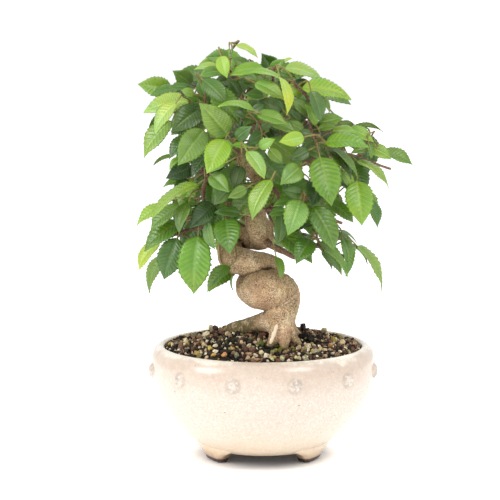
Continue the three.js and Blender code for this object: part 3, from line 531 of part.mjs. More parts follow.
    twigs: [
      { line: [[37.67,-33.64,135.26,1.03],[37.86,-32.01,133.63,0.69],[40.13,-26.71,134.45,0.69]] },
      { line: [[40.13,-26.71,134.45,0.69],[33.02,-4.16,135.18,0.49]], leaf: [36.93,-4.83,130.68,49.66,-7.03,116.01,0.585,-0.556,0.591,11.7,0.31] },
      { line: [[40.13,-26.71,134.45,0.69],[49.17,-13.51,141.15,0.49]], leaf: [53.2,-13.7,136.71,65.06,-14.27,123.65,0.729,-0.148,0.668,8.82,0.28] },
      { line: [[40.13,-26.71,134.45,0.69],[46.85,-22.75,137.86,0.49],[52.92,-20.81,139.77,0.49]], leaf: [57.7,-20.44,135.6,74.81,-14.77,106.48,0.847,-0.297,0.44,18.43,0.42] },
      { line: [[37.67,-33.64,135.26,1.03],[38.58,-31.67,139.1,0.61]] },
      { line: [[38.58,-31.67,139.1,0.61],[40.37,-30.97,149.97,0.49]], leaf: [45.32,-30.97,146.58,56.94,-30.97,138.63,0.561,-0.122,0.819,7.04,0.2] },
      { line: [[38.58,-31.67,139.1,0.61],[40.71,-29.13,142.84,0.49],[45.9,-26.76,148.06,0.49]], leaf: [48.26,-28.8,142.52,50.95,-32.38,118.5,0.814,-0.555,0.174,13.79,0.3] },
      { line: [[37.67,-33.64,135.26,1.03],[32.97,-35.98,140.96,0.77],[31.47,-40.08,146.23,0.77]] },
      { line: [[31.47,-40.08,146.23,0.77],[32.02,-41.03,160.47,0.49]], leaf: [37.35,-43.13,158.68,43.81,-45.67,156.51,-0.129,-0.813,0.567,3.93,0.25] },
      { line: [[31.47,-40.08,146.23,0.77],[31.0,-43.0,147.0,0.61]] },
      { line: [[31.0,-43.0,147.0,0.61],[29.15,-44.72,145.4,0.49]], leaf: [33.04,-44.5,140.83,50.84,-43.49,119.9,0.725,-0.336,0.601,15.31,0.35] },
      { line: [[31.47,-40.08,146.23,0.77],[34.91,-34.15,159.0,0.49],[34.73,-35.27,167.05,0.49]], leaf: [39.47,-36.24,163.5,54.43,-39.33,152.29,0.291,-0.749,0.595,10.65,0.3] },
      { line: [[37.63,-29.84,135.62,1.09],[37.67,-33.64,135.26,1.03]] },
    ],
    stalked: [
      { node: [31.0,-43.0,147.0], elbow: [30.21,-42.08,146.34], leaf: [27.71,-46.17,142.73,18.94,-60.56,130.05,0.18,-0.71,0.681,12.38,0.22] },
    ],
  },
  {
    name: "shoot_front_right_mid_1",
    from: "shoot_front_right_high",
    twigs: [
      { line: [[27.84,-40.03,209.99,1.12],[27.78,-40.61,209.44,1.12]] },
      { line: [[27.78,-40.61,209.44,1.12],[26.54,-39.9,207.56,0.49]], leaf: [32.39,-41.04,208.22,43.6,-43.23,209.48,-0.214,-0.702,0.679,6.37,0.28] },
      { line: [[27.78,-40.61,209.44,1.12],[28.2,-44.79,206.31,1.08]] },
      { line: [[28.2,-44.79,206.31,1.08],[18.92,-46.04,198.76,0.49]], leaf: [24.49,-46.4,196.55,39.33,-47.34,190.67,0.156,-0.835,0.528,8.97,0.08] },
      { line: [[28.2,-44.79,206.31,1.08],[29.0,-47.0,205.0,1.03]] },
      { line: [[29.0,-47.0,205.0,1.03],[33.62,-44.19,205.36,0.49]], leaf: [31.02,-44.84,210.72,24.97,-46.34,223.18,0.599,-0.776,0.198,7.72,0.45] },
      { line: [[29.0,-47.0,205.0,1.03],[34.01,-43.35,202.4,0.49]], leaf: [37.69,-43.67,197.61,52.62,-45.39,178.63,0.643,-0.529,0.554,13.6,0.12] },
      { line: [[29.0,-47.0,205.0,1.03],[32.0,-50.16,204.54,0.69]] },
      { line: [[32.0,-50.16,204.54,0.69],[36.42,-47.84,201.09,0.49]], leaf: [40.44,-48.15,196.64,55.91,-49.34,179.5,0.703,-0.278,0.654,12.99,0.3] },
      { line: [[32.0,-50.16,204.54,0.69],[33.0,-53.0,205.0,0.61]] },
      { line: [[33.0,-53.0,205.0,0.61],[28.94,-61.01,205.39,0.49]], leaf: [23.28,-62.72,204.35,8.63,-67.17,201.63,0.246,-0.945,0.217,8.73,0.78] },
      { line: [[29.0,-47.0,205.0,1.03],[31.0,-51.0,201.0,0.69]] },
      { line: [[31.0,-51.0,201.0,0.69],[31.84,-48.94,198.76,0.49]], leaf: [26.7,-50.65,196.17,15.38,-54.42,190.47,0.168,-0.942,0.29,8.26,0.1] },
      { line: [[31.0,-51.0,201.0,0.69],[31.81,-52.73,197.64,0.49]], leaf: [33.02,-55.14,192.28,39.3,-67.65,164.41,-0.005,-0.913,0.409,18.11,0.4] },
    ],
    stalked: [
      { node: [29.0,-47.0,205.0], elbow: [28.24,-47.22,204.14], leaf: [23.2,-48.04,207.29,13.66,-49.59,213.24,0.185,-0.982,0.041,6.52,0.3] },
      { node: [33.0,-53.0,205.0], elbow: [33.38,-53.48,204.32], leaf: [27.68,-54.64,205.77,20.57,-56.09,207.59,0.222,-0.97,0.097,4.12,0.1] },
      { node: [31.0,-51.0,201.0], elbow: [30.16,-50.33,200.7], leaf: [36.14,-50.67,200.31,62.05,-52.17,198.61,0.021,-0.568,0.823,14.6,0.48] },
    ],
  },
  {
    name: "shoot_front_right_mid_2",
    from: "branch_right_mid",
    twigs: [
      { line: [[36.3,-12.72,193.3,0.83],[36.79,-13.71,187.0,0.49],[36.74,-8.3,178.49,0.49]], leaf: [37.41,-11.27,173.32,40.37,-24.32,150.54,-0.161,-0.865,0.475,14.57,0.34] },
      { line: [[36.3,-12.72,193.3,0.83],[36.12,-20.41,192.17,0.77]] },
      { line: [[36.12,-20.41,192.17,0.77],[34.4,-24.29,189.08,0.69]] },
      { line: [[34.4,-24.29,189.08,0.69],[36.09,-24.36,181.11,0.49]], leaf: [41.18,-23.15,178.18,61.23,-18.36,166.62,0.515,-0.534,0.671,13.99,0.17] },
      { line: [[34.4,-24.29,189.08,0.69],[28.26,-34.99,187.06,0.49],[25.5,-44.88,187.41,0.49],[24.72,-50.41,189.06,0.49]], leaf: [21.29,-54.51,186.35,9.83,-68.18,177.29,0.394,-0.714,0.579,12.27,0.4] },
      { line: [[34.4,-24.29,189.08,0.69],[34.52,-33.64,180.56,0.49]], leaf: [33.27,-38.26,176.94,28.4,-56.26,162.83,0.273,-0.638,0.72,13.65,0.0] },
      { line: [[36.12,-20.41,192.17,0.77],[38.5,-20.95,198.9,0.49],[38.91,-21.03,208.66,0.49]], leaf: [44.81,-21.85,209.35,55.67,-23.35,210.61,-0.007,0.615,0.788,6.17,0.2] },
      { line: [[36.27,-11.48,189.44,0.87],[36.3,-12.72,193.3,0.83]] },
    ],
    stalked: [],
  },
  {
    name: "shoot_front_right_mid_3",
    from: "branch_right_mid",
    twigs: [
      { line: [[47.29,-15.69,195.14,0.99],[47.53,-21.13,195.47,0.94]] },
      { line: [[47.53,-21.13,195.47,0.94],[47.3,-28.61,194.03,0.83]] },
      { line: [[47.3,-28.61,194.03,0.83],[45.31,-34.08,199.39,0.49],[40.08,-37.86,206.35,0.49]], leaf: [34.92,-38.45,203.34,21.73,-39.98,195.64,-0.327,-0.648,0.688,8.55,0.1] },
      { line: [[47.3,-28.61,194.03,0.83],[47.71,-30.11,192.81,0.77]] },
      { line: [[47.71,-30.11,192.81,0.77],[48.38,-30.06,186.84,0.49]], leaf: [45.1,-30.69,181.87,37.82,-32.19,171.05,-0.633,-0.585,0.507,7.32,0.4] },
      { line: [[47.71,-30.11,192.81,0.77],[44.0,-38.65,188.17,0.49]], leaf: [47.02,-38.85,182.99,53.68,-39.28,171.6,0.488,-0.813,0.317,7.41,0.5] },
      { line: [[47.71,-30.11,192.81,0.77],[55.38,-38.93,182.69,0.49]], leaf: [55.91,-41.15,177.14,58.37,-51.45,151.38,0.018,-0.928,0.373,16.63,0.52] },
      { line: [[47.71,-30.11,192.81,0.77],[51.79,-31.37,192.31,0.49]], leaf: [56.48,-31.72,188.59,76.15,-33.22,172.95,0.57,-0.337,0.749,14.16,0.55] },
      { line: [[47.53,-21.13,195.47,0.94],[49.0,-23.0,197.0,0.61]] },
      { line: [[49.0,-23.0,197.0,0.61],[56.75,-26.75,199.31,0.49]], leaf: [62.18,-27.27,196.83,77.9,-28.77,189.63,0.191,-0.791,0.581,9.76,0.55] },
      { line: [[47.29,-15.69,195.14,0.99],[48.55,-13.38,209.12,0.49]], leaf: [54.49,-13.85,208.46,73.44,-15.35,206.37,0.126,0.253,0.959,10.74,0.2] },
      { line: [[46.64,-14.35,191.56,1.04],[47.29,-15.69,195.14,0.99]] },
    ],
    stalked: [
      { node: [49.0,-23.0,197.0], elbow: [49.35,-22.75,196.54], leaf: [51.56,-23.16,190.98,61.25,-24.94,166.64,0.507,-0.821,0.262,16.28,0.15] },
    ],
  },
  {
    name: "shoot_front_right_mid_4",
    from: "branch_right_mid",
    twigs: [
      { line: [[59.28,-14.45,192.0,0.83],[62.1,-13.48,186.8,0.49],[62.82,-14.02,182.97,0.49],[62.91,-22.87,170.6,0.49]], leaf: [64.58,-23.55,164.88,69.83,-25.05,147.21,0.69,-0.675,0.262,10.42,0.22] },
      { line: [[59.28,-14.45,192.0,0.83],[60.9,-14.08,194.0,0.77]] },
      { line: [[60.9,-14.08,194.0,0.77],[66.37,-2.98,204.03,0.49],[66.11,1.19,206.18,0.49],[63.66,7.96,207.78,0.49]], leaf: [64.16,5.62,204.28,64.56,-1.51,178.25,0.316,-0.914,0.255,15.27,0.09] },
      { line: [[60.9,-14.08,194.0,0.77],[68.77,-7.72,195.95,0.49]], leaf: [74.2,-8.16,193.44,92.73,-9.66,184.85,0.284,-0.631,0.722,11.53,0.33] },
      { line: [[60.9,-14.08,194.0,0.77],[64.37,-19.13,200.26,0.61]] },
      { line: [[64.37,-19.13,200.26,0.61],[66.71,-24.98,205.14,0.49],[67.19,-28.76,206.3,0.49],[65.71,-31.95,205.89,0.49],[62.62,-34.33,204.37,0.49]], leaf: [63.38,-35.14,198.4,64.55,-36.45,190.06,0.582,-0.787,0.205,4.77,0.3] },
      { line: [[64.37,-19.13,200.26,0.61],[66.68,-24.91,201.6,0.49],[68.69,-31.92,197.17,0.49]], leaf: [62.95,-33.14,195.9,52.57,-35.33,193.61,0.015,-0.756,0.654,5.88,0.3] },
      { line: [[56.95,-16.82,190.42,0.87],[59.28,-14.45,192.0,0.83]] },
    ],
    stalked: [],
  },
  {
    name: "shoot_left_high_1",
    from: "branch_left_high",
    twigs: [
      { line: [[-49.93,-15.08,219.81,0.94],[-53.33,-17.44,217.87,0.49]], leaf: [-56.0,-16.28,212.21,-73.84,-17.78,190.24,-0.528,-0.702,0.477,15.91,0.52] },
      { line: [[-49.93,-15.08,219.81,0.94],[-47.88,-15.67,220.85,0.61]] },
      { line: [[-47.88,-15.67,220.85,0.61],[-45.4,-19.21,223.09,0.49],[-45.13,-23.03,225.22,0.49],[-49.13,-34.15,228.39,0.49]], leaf: [-52.63,-33.87,223.53,-66.04,-32.81,204.92,-0.617,-0.674,0.406,12.81,0.85] },
      { line: [[-47.88,-15.67,220.85,0.61],[-41.93,-14.24,225.27,0.49],[-38.44,-12.92,231.14,0.49]], leaf: [-44.37,-13.69,231.69,-57.75,-15.42,232.92,0.155,-0.71,0.686,7.57,0.25] },
      { line: [[-49.93,-15.08,219.81,0.94],[-48.58,-7.06,217.73,0.77],[-47.62,-1.86,219.26,0.77]] },
      { line: [[-47.62,-1.86,219.26,0.77],[-55.07,12.57,212.22,0.49]], leaf: [-58.04,8.32,209.19,-72.22,-12.02,194.68,-0.641,-0.097,0.762,16.9,0.32] },
      { line: [[-47.62,-1.86,219.26,0.77],[-46.56,-0.47,223.25,0.69]] },
      { line: [[-46.56,-0.47,223.25,0.69],[-46.5,-1.78,225.94,0.49]], leaf: [-51.16,-2.08,222.17,-72.46,-3.45,204.9,-0.622,0.23,0.749,14.58,0.31] },
      { line: [[-46.56,-0.47,223.25,0.69],[-47.33,5.49,231.92,0.49]], leaf: [-53.22,4.98,230.88,-70.65,3.48,227.79,-0.098,-0.559,0.824,9.96,0.3] },
      { line: [[-46.56,-0.47,223.25,0.69],[-41.33,2.56,232.0,0.49]], leaf: [-44.82,-1.53,234.65,-55.33,-13.85,242.65,0.632,-0.722,-0.282,10.53,0.22] },
      { line: [[-49.78,-13.96,216.39,0.99],[-49.93,-15.08,219.81,0.94]] },
    ],
    stalked: [],
  },
  {
    name: "shoot_left_high_2",
    from: "branch_left_high",
    twigs: [
      { line: [[-29.34,-8.05,213.0,0.77],[-27.66,-6.53,213.47,0.77]] },
      { line: [[-27.66,-6.53,213.47,0.77],[-23.19,-4.12,213.02,0.61]] },
      { line: [[-23.19,-4.12,213.02,0.61],[-15.1,0.98,210.28,0.49]], leaf: [-19.51,3.74,207.29,-40.73,17.05,192.88,-0.474,0.178,0.862,15.89,0.27] },
      { line: [[-23.19,-4.12,213.02,0.61],[-15.57,-3.65,212.3,0.49]], leaf: [-17.16,-5.76,206.91,-24.09,-14.97,183.42,0.044,-0.934,0.353,14.73,0.21] },
      { line: [[-27.66,-6.53,213.47,0.77],[-26.14,-3.05,215.6,0.61]] },
      { line: [[-26.14,-3.05,215.6,0.61],[-28.96,4.98,210.56,0.49]], leaf: [-34.65,6.33,209.22,-58.47,12.0,203.61,-0.317,-0.639,0.701,15.01,0.22] },
      { line: [[-26.14,-3.05,215.6,0.61],[-24.6,-1.54,218.31,0.49]], leaf: [-30.28,-2.27,220.1,-49.24,-4.67,226.1,0.172,-0.973,0.154,10.86,0.22] },
      { line: [[-30.27,-7.19,209.2,0.8],[-29.34,-8.05,213.0,0.77]] },
    ],
    stalked: [],
  },
  {
    name: "shoot_left_high_3",
    from: "branch_back_top",
    twigs: [
      { line: [[-10.36,11.21,228.15,1.15],[-12.4,11.64,227.04,0.89]] },
      { line: [[-12.4,11.64,227.04,0.89],[-13.14,11.72,224.56,0.49]], leaf: [-15.9,16.07,227.64,-29.31,37.2,242.61,0.342,-0.389,0.855,16.04,0.25] },
      { line: [[-12.4,11.64,227.04,0.89],[-18.9,12.69,225.51,0.83],[-24.69,12.74,226.12,0.83]] },
      { line: [[-24.69,12.74,226.12,0.83],[-26.24,14.51,227.17,0.61]] },
      { line: [[-26.24,14.51,227.17,0.61],[-27.99,22.8,231.42,0.49],[-27.23,28.84,238.7,0.49]], leaf: [-29.84,31.45,233.98,-40.58,42.19,214.59,-0.558,0.555,0.617,13.86,0.41] },
      { line: [[-26.24,14.51,227.17,0.61],[-32.7,17.37,233.04,0.49],[-38.57,18.84,241.72,0.49]], leaf: [-42.58,17.26,237.54,-59.55,10.58,219.82,-0.307,-0.756,0.579,15.2,0.02] },
      { line: [[-24.69,12.74,226.12,0.83],[-26.5,11.39,226.41,0.69]] },
      { line: [[-26.5,11.39,226.41,0.69],[-30.43,7.62,226.71,0.49]], leaf: [-34.8,11.49,225.29,-58.05,32.12,217.77,-0.228,0.096,0.969,17.22,0.37] },
      { line: [[-26.5,11.39,226.41,0.69],[-30.82,8.99,224.14,0.49]], leaf: [-33.67,12.95,220.65,-47.81,32.57,203.36,-0.409,0.42,0.81,16.49,0.28] },
      { line: [[-26.5,11.39,226.41,0.69],[-27.67,10.06,230.64,0.49],[-26.71,9.93,236.35,0.49]], leaf: [-32.59,9.23,237.3,-55.15,6.57,240.93,0.191,-0.735,0.65,13.31,0.28] },
      { line: [[-10.36,11.21,228.15,1.15],[-7.87,10.57,232.07,0.89]] },
      { line: [[-7.87,10.57,232.07,0.89],[-15.06,11.02,241.69,0.49]], leaf: [-18.82,15.57,242.74,-37.39,38.06,247.89,-0.315,-0.452,0.835,17.19,0.51] },
      { line: [[-7.87,10.57,232.07,0.89],[-9.86,16.77,235.73,0.49],[-14.0,22.15,235.87,0.49]], leaf: [-15.84,25.83,231.5,-26.01,46.18,207.39,-0.347,0.639,0.686,17.64,0.48] },
      { line: [[-7.87,10.57,232.07,0.89],[-2.59,7.68,229.98,0.49]], leaf: [1.79,6.12,226.19,21.65,-0.99,209.03,0.156,-0.836,0.526,14.95,0.29] },
      { line: [[-7.87,10.57,232.07,0.89],[-5.87,9.59,234.43,0.69]] },
      { line: [[-5.87,9.59,234.43,0.69],[-5.86,8.23,243.16,0.49],[-8.37,5.79,249.83,0.49]], leaf: [-10.71,4.68,245.21,-17.83,6.45,220.5,-0.548,-0.831,0.098,15.35,0.23] },
      { line: [[-5.87,9.59,234.43,0.69],[-0.43,8.38,238.76,0.49]], leaf: [5.45,7.31,239.27,28.15,3.16,241.23,-0.198,-0.885,0.42,13.98,0.3] },
      { line: [[-5.87,9.59,234.43,0.69],[0.99,4.32,239.19,0.49],[7.6,0.59,241.01,0.49]], leaf: [5.39,-4.97,243.89,-0.92,-21.27,252.87,0.553,-0.556,-0.621,11.09,0.18] },
      { line: [[-9.18,11.22,224.54,1.21],[-10.36,11.21,228.15,1.15]] },
    ],
    stalked: [],
  },
  {
    name: "shoot_left_high_4",
    from: "trunk",
    twigs: [
      { line: [[-19.1,-4.57,256.34,0.69],[-21.04,5.23,260.36,0.49]], leaf: [-21.03,4.79,256.38,-20.98,1.82,229.35,0.029,-0.994,0.109,15.25,0.53] },
      { line: [[-19.1,-4.57,256.34,0.69],[-15.0,-7.0,261.0,0.61]] },
      { line: [[-15.0,-7.0,261.0,0.61],[-19.35,-16.69,259.79,0.49]], leaf: [-16.72,-16.98,258.36,-3.33,-18.48,251.1,0.379,-0.472,0.796,8.52,0.92] },
      { line: [[-19.94,-4.0,253.09,0.73],[-19.1,-4.57,256.34,0.69]] },
    ],
    stalked: [
      { node: [-15.0,-7.0,261.0], elbow: [-15.77,-7.11,261.27], leaf: [-18.71,-7.62,257.4,-19.03,-7.62,250.66,-0.982,-0.185,0.046,3.38,0.5] },
    ],
  },
  {
    name: "shoot_left_low_1",
    from: "branch_left_low",
    twigs: [
      { line: [[-50.81,-15.99,141.91,0.77],[-60.53,-5.03,141.03,0.49],[-64.0,1.01,140.99,0.49],[-64.48,7.13,140.77,0.49],[-62.73,13.64,139.83,0.49]], leaf: [-66.25,13.25,134.99,-79.7,11.75,116.53,-0.61,-0.619,0.495,12.9,0.9] },
      { line: [[-50.81,-15.99,141.91,0.77],[-49.69,-15.61,142.66,0.69]] },
      { line: [[-49.69,-15.61,142.66,0.69],[-43.74,-11.71,137.66,0.49]], leaf: [-46.11,-12.35,132.18,-51.7,-13.85,119.21,-0.707,-0.6,0.374,8.02,0.6] },
      { line: [[-49.69,-15.61,142.66,0.69],[-50.28,-17.43,145.91,0.49],[-50.6,-21.43,146.05,0.49]], leaf: [-52.98,-23.6,140.89,-61.39,-24.22,114.98,-0.132,-0.989,0.066,15.3,0.18] },
      { line: [[-49.69,-15.61,142.66,0.69],[-46.08,-17.33,153.31,0.49]], leaf: [-50.93,-17.68,149.79,-73.85,-19.36,133.15,-0.392,-0.689,0.61,15.97,0.3] },
      { line: [[-49.47,-18.49,144.15,0.8],[-50.81,-15.99,141.91,0.77]] },
    ],
    stalked: [],
  },
  {
    name: "shoot_left_low_2",
    from: "branch_left_low",
    twigs: [
      { line: [[-26.96,-9.82,148.14,0.69],[-26.33,-16.33,127.09,0.49],[-24.8,-18.08,123.37,0.49],[-20.65,-19.08,118.94,0.49]], leaf: [-18.76,-17.16,117.38,-18.47,-17.16,106.08,-0.982,-0.188,-0.026,5.65,0.3] },
      { line: [[-26.96,-9.82,148.14,0.69],[-18.78,-18.96,138.96,0.49],[-16.47,-26.74,128.51,0.49]], leaf: [-20.45,-27.16,124.03,-34.54,-28.66,108.17,-0.603,-0.541,0.587,11.98,0.36] },
      { line: [[-25.64,-12.63,150.7,0.73],[-26.96,-9.82,148.14,0.69]] },
    ],
    stalked: [],
  },
  {
    name: "shoot_left_mid",
    from: "branch_left_upper",
    twigs: [
      { line: [[-28.68,-9.45,188.58,0.77],[-24.14,-3.1,189.83,0.61]] },
      { line: [[-24.14,-3.1,189.83,0.61],[-23.08,2.93,186.61,0.49],[-22.51,10.24,179.88,0.49]], leaf: [-26.77,10.27,175.66,-43.73,10.4,158.83,-0.675,0.278,0.683,12.74,0.0] },
      { line: [[-24.14,-3.1,189.83,0.61],[-20.62,0.95,189.95,0.49]], leaf: [-24.87,-1.23,186.32,-43.17,-10.64,170.68,-0.261,-0.661,0.703,15.86,0.09] },
      { line: [[-28.68,-9.45,188.58,0.77],[-33.92,-3.16,191.5,0.49],[-36.53,0.52,191.0,0.49],[-38.6,3.91,186.85,0.49],[-39.08,4.4,181.25,0.49]], leaf: [-41.26,1.73,176.34,-50.4,-9.49,155.74,-0.377,-0.733,0.566,15.32,0.49] },
      { line: [[-28.68,-9.45,188.58,0.77],[-29.21,-3.73,182.34,0.49]], leaf: [-30.17,-7.8,177.55,-31.17,-17.59,153.11,-0.344,-0.867,0.361,15.19,0.21] },
      { line: [[-26.1,-8.53,185.72,0.8],[-28.68,-9.45,188.58,0.77]] },
    ],
    stalked: [],
  },
  {
    name: "shoot_middle_mid_1",
    from: "branch_front_low",
    twigs: [
      { line: [[5.01,-14.54,174.64,0.94],[6.34,-12.69,174.79,0.77]] },
      { line: [[6.34,-12.69,174.79,0.77],[-0.88,-5.1,174.17,0.49],[-6.04,0.14,171.64,0.49],[-6.43,2.47,171.17,0.49]], leaf: [-11.22,-1.02,168.99,-25.86,-7.9,156.72,-0.244,-0.693,0.679,12.4,0.3] },
      { line: [[6.34,-12.69,174.79,0.77],[17.01,-3.7,176.42,0.69]] },
      { line: [[17.01,-3.7,176.42,0.69],[19.07,-1.68,177.92,0.61]] },
      { line: [[19.07,-1.68,177.92,0.61],[23.07,1.13,182.64,0.49],[29.28,2.9,188.65,0.49]], leaf: [35.08,4.83,186.88,57.4,14.9,169.93,0.618,-0.048,0.785,17.77,0.21] },
      { line: [[19.07,-1.68,177.92,0.61],[25.7,3.6,178.33,0.49]], leaf: [29.56,6.51,174.78,51.12,22.72,155.02,0.587,0.181,0.789,17.73,0.08] },
      { line: [[17.01,-3.7,176.42,0.69],[26.78,-3.1,166.48,0.49]], leaf: [27.54,-5.99,161.28,30.6,-17.67,140.3,0.02,-0.872,0.489,14.23,0.35] },
      { line: [[5.01,-14.54,174.64,0.94],[2.36,-18.71,177.52,0.69]] },
      { line: [[2.36,-18.71,177.52,0.69],[0.45,-20.62,179.21,0.61]] },
      { line: [[0.45,-20.62,179.21,0.61],[-8.27,-24.4,187.81,0.49]], leaf: [-12.42,-26.52,184.03,-31.35,-36.23,166.8,-0.006,-0.868,0.496,14.88,0.3] },
      { line: [[0.45,-20.62,179.21,0.61],[-0.82,-25.32,179.29,0.49]], leaf: [-4.24,-25.87,174.38,-19.32,-28.27,152.71,0.129,-0.991,0.02,16.36,0.28] },
      { line: [[2.36,-18.71,177.52,0.69],[6.96,-28.01,176.29,0.49]], leaf: [12.02,-30.05,173.79,34.81,-39.21,162.5,-0.081,-0.847,0.525,15.87,0.31] },
      { line: [[5.06,-12.43,171.32,0.99],[5.01,-14.54,174.64,0.94]] },
    ],
    stalked: [],
  },
  {
    name: "shoot_middle_mid_2",
    from: "branch_back_right_high",
    twigs: [
      { line: [[9.2,16.52,210.61,0.83],[19.92,15.53,207.37,0.49]], leaf: [23.51,18.22,203.38,43.63,33.29,181.0,0.434,0.516,0.738,18.87,0.25] },
      { line: [[9.2,16.52,210.61,0.83],[14.01,7.46,198.62,0.49]], leaf: [18.4,7.58,202.7,38.07,8.12,220.99,-0.666,-0.19,0.722,13.97,0.08] },
      { line: [[9.2,16.52,210.61,0.83],[15.35,13.27,201.58,0.49],[20.72,9.13,197.98,0.49]], leaf: [23.75,5.91,193.92,34.33,-5.32,179.74,0.171,-0.706,0.687,12.25,0.17] },
      { line: [[6.24,18.05,208.26,0.87],[9.2,16.52,210.61,0.83]] },
    ],
    stalked: [],
  },
];

// ---- helpers
const V = (a) => new THREE.Vector3(a[0], a[1], a[2]);
function ring(centre, dir, radius, sides, turn = 0) {
  const d = dir.clone().normalize();
  const ref = Math.abs(d.z) < 0.9 ? new THREE.Vector3(0, 0, 1) : new THREE.Vector3(1, 0, 0);
  const u = new THREE.Vector3().crossVectors(ref, d).normalize();
  const w = new THREE.Vector3().crossVectors(d, u);
  const out = [];
  for (let i = 0; i < sides; i++) {
    const a = turn + (2 * Math.PI * i) / sides;
    const p = centre.clone().addScaledVector(u, Math.cos(a) * radius).addScaledVector(w, Math.sin(a) * radius);
    out.push([p.x, p.y, p.z]);
  }
  return out;
}
// A closed geometry as a solid that can be joined and cut.
function solidOf(geometry) {
  geometry.deleteAttribute("normal");
  geometry.deleteAttribute("uv");
  const merged = mergeVertices(geometry, 1e-4);
  const index = merged.index.array;
  const list = [];
  for (let i = 0; i < index.length; i += 3) if (index[i] !== index[i + 1] && index[i + 1] !== index[i + 2] && index[i] !== index[i + 2]) list.push(index[i], index[i + 1], index[i + 2]);
  const build = (tris) => new Manifold(new Mesh({ numProp: 3, vertProperties: new Float32Array(merged.attributes.position.array), triVerts: new Uint32Array(tris) }));
  const made = build(list);
  if (made.volume() > 0) return made;
  const flipped = [];
  for (let i = 0; i < list.length; i += 3) flipped.push(list[i], list[i + 2], list[i + 1]);
  return build(flipped);
}
// A profile of radius, height turned about the upright axis.
const turned = (profile, segments) => new THREE.LatheGeometry(profile.map(([r, z]) => new THREE.Vector2(r, z)), segments).rotateX(Math.PI / 2);
// Frusta along a centre line, each the convex body around two rings.
function limb(points, sides, grow = 0) {
  const n = points.length;
  const rings = points.map((p, i) => {
    const dir = V(points[Math.min(i + 1, n - 1)]).sub(V(points[Math.max(i - 1, 0)]));
    return ring(V(p), dir, p[3] + grow, sides);
  });
  const out = [];
  for (let i = 0; i + 1 < n; i++) out.push(solidOf(new ConvexGeometry([...rings[i], ...rings[i + 1]].map(V))));
  return out;
}
const twigSides = (points) => (points[0][3] > 0.85 ? 5 : points[0][3] > 0.6 ? 4 : 3);
function solidFrom(vertices, faces) {
  const build = (list) => new Manifold(new Mesh({ numProp: 3, vertProperties: new Float32Array(vertices.flat()), triVerts: new Uint32Array(list.flat()) }));
  const made = build(faces);
  return made.volume() < 0 ? build(faces.map((f) => [f[0], f[2], f[1]])) : made;
}
// Outline of one side of a blade: distance along the midrib, half width.
const BLADE = [[0.09, 0.5], [0.34, 1], [0.68, 0.74]];
// A twig that ends in one leaf, as a single skin: three-sided rings along the twig and its stalk, then an ovate blade arched along the midrib and folded up either side of it.
function leafedTwig(line, leaf, grow = 0) {
  const base = V(leaf);
  const tip = V(leaf.slice(3, 6));
  const axis = tip.clone().sub(base);
  const length = axis.length();
  axis.normalize();
  const normal = V(leaf.slice(6, 9));
  const up = normal.clone().addScaledVector(axis, -normal.dot(axis)).normalize();
  const side = new THREE.Vector3().crossVectors(up, axis).normalize();
  const width = leaf[9];
  const lift = (k) => 4 * k * (1 - k) * LEAF_ARCH * length;
  const at = (k, v, more) => base.clone().addScaledVector(axis, k * length).addScaledVector(side, v * width * 0.5).addScaledVector(up, lift(k) + Math.abs(v) * width * LEAF_FOLD * 0.5 + more);
  const points = [...line.map((q) => ({ at: V(q), r: q[3] + grow })), { at: base.clone().addScaledVector(axis, 0.3), r: STALK_RADIUS + grow }];
  const n = points.length;
  const vertices = [];
  const faces = [];
  let frameUp = up.clone();
  const rings = [];
  for (let i = n - 1; i >= 0; i--) {
    const dir = i === n - 1 ? axis.clone() : points[Math.min(i + 1, n - 1)].at.clone().sub(points[Math.max(i - 1, 0)].at).normalize();
    frameUp = frameUp.addScaledVector(dir, -frameUp.dot(dir)).normalize();
    const across = new THREE.Vector3().crossVectors(frameUp, dir).normalize();
    rings[i] = [0, 1, 2].map((k) => {
      const a = (2 * Math.PI * k) / 3;
      return points[i].at.clone().addScaledVector(frameUp, Math.cos(a) * points[i].r).addScaledVector(across, Math.sin(a) * points[i].r);
    });
  }
  for (const r of rings) for (const q of r) vertices.push([q.x, q.y, q.z]);
  for (let i = 0; i + 1 < n; i++)
    for (let k = 0; k < 3; k++) {
      const a = 3 * i + k;
      const b = 3 * i + ((k + 1) % 3);
      faces.push([a, b, a + 3], [b, b + 3, a + 3]);
    }
  faces.push([0, 2, 1]);
  const last = 3 * (n - 1);
  const U = last, R = last + 1, L = last + 2;
  const first = vertices.length;
  const add = (q) => vertices.push([q.x, q.y, q.z]);
  const g = (2 * grow) / width;
  for (const [k, v] of BLADE) add(at(k, v + g, 0));
  add(at(1 + grow / length, 0, 0));
  for (const [k, v] of [...BLADE].reverse()) add(at(k, -v - g, 0));
  add(at(0.4, 0, LEAF_HALF_THICKNESS + grow));
  add(at(0.4, 0, -LEAF_HALF_THICKNESS - grow));
  const T = first + 7, D = first + 8;
  // upper face
  for (let i = 0; i < 6; i++) faces.push([T, first + i, first + i + 1], [D, first + i + 1, first + i]);
  faces.push([T, U, first], [U, R, first], [T, first + 6, U], [U, first + 6, L]);
  // under face
  faces.push([D, first, R], [D, R, L], [D, L, first + 6]);
  return solidFrom(vertices, faces);
}
// The biggest body of a solid, with the slivers left by joining and cutting merged away.
function largest(solid, merge = MERGE) {
  const bodies = solid.asOriginal().simplify(merge).decompose();
  bodies.sort((a, b) => b.volume() - a.volume());
  return bodies[0];
}
const shut = (list) => Manifold.union(list);
function boxesMeet(a, b) {
  const p = a.boundingBox();
  const q = b.boundingBox();
  for (let i = 0; i < 3; i++) if (p.min[i] > q.max[i] || q.min[i] > p.max[i]) return false;
  return true;
}

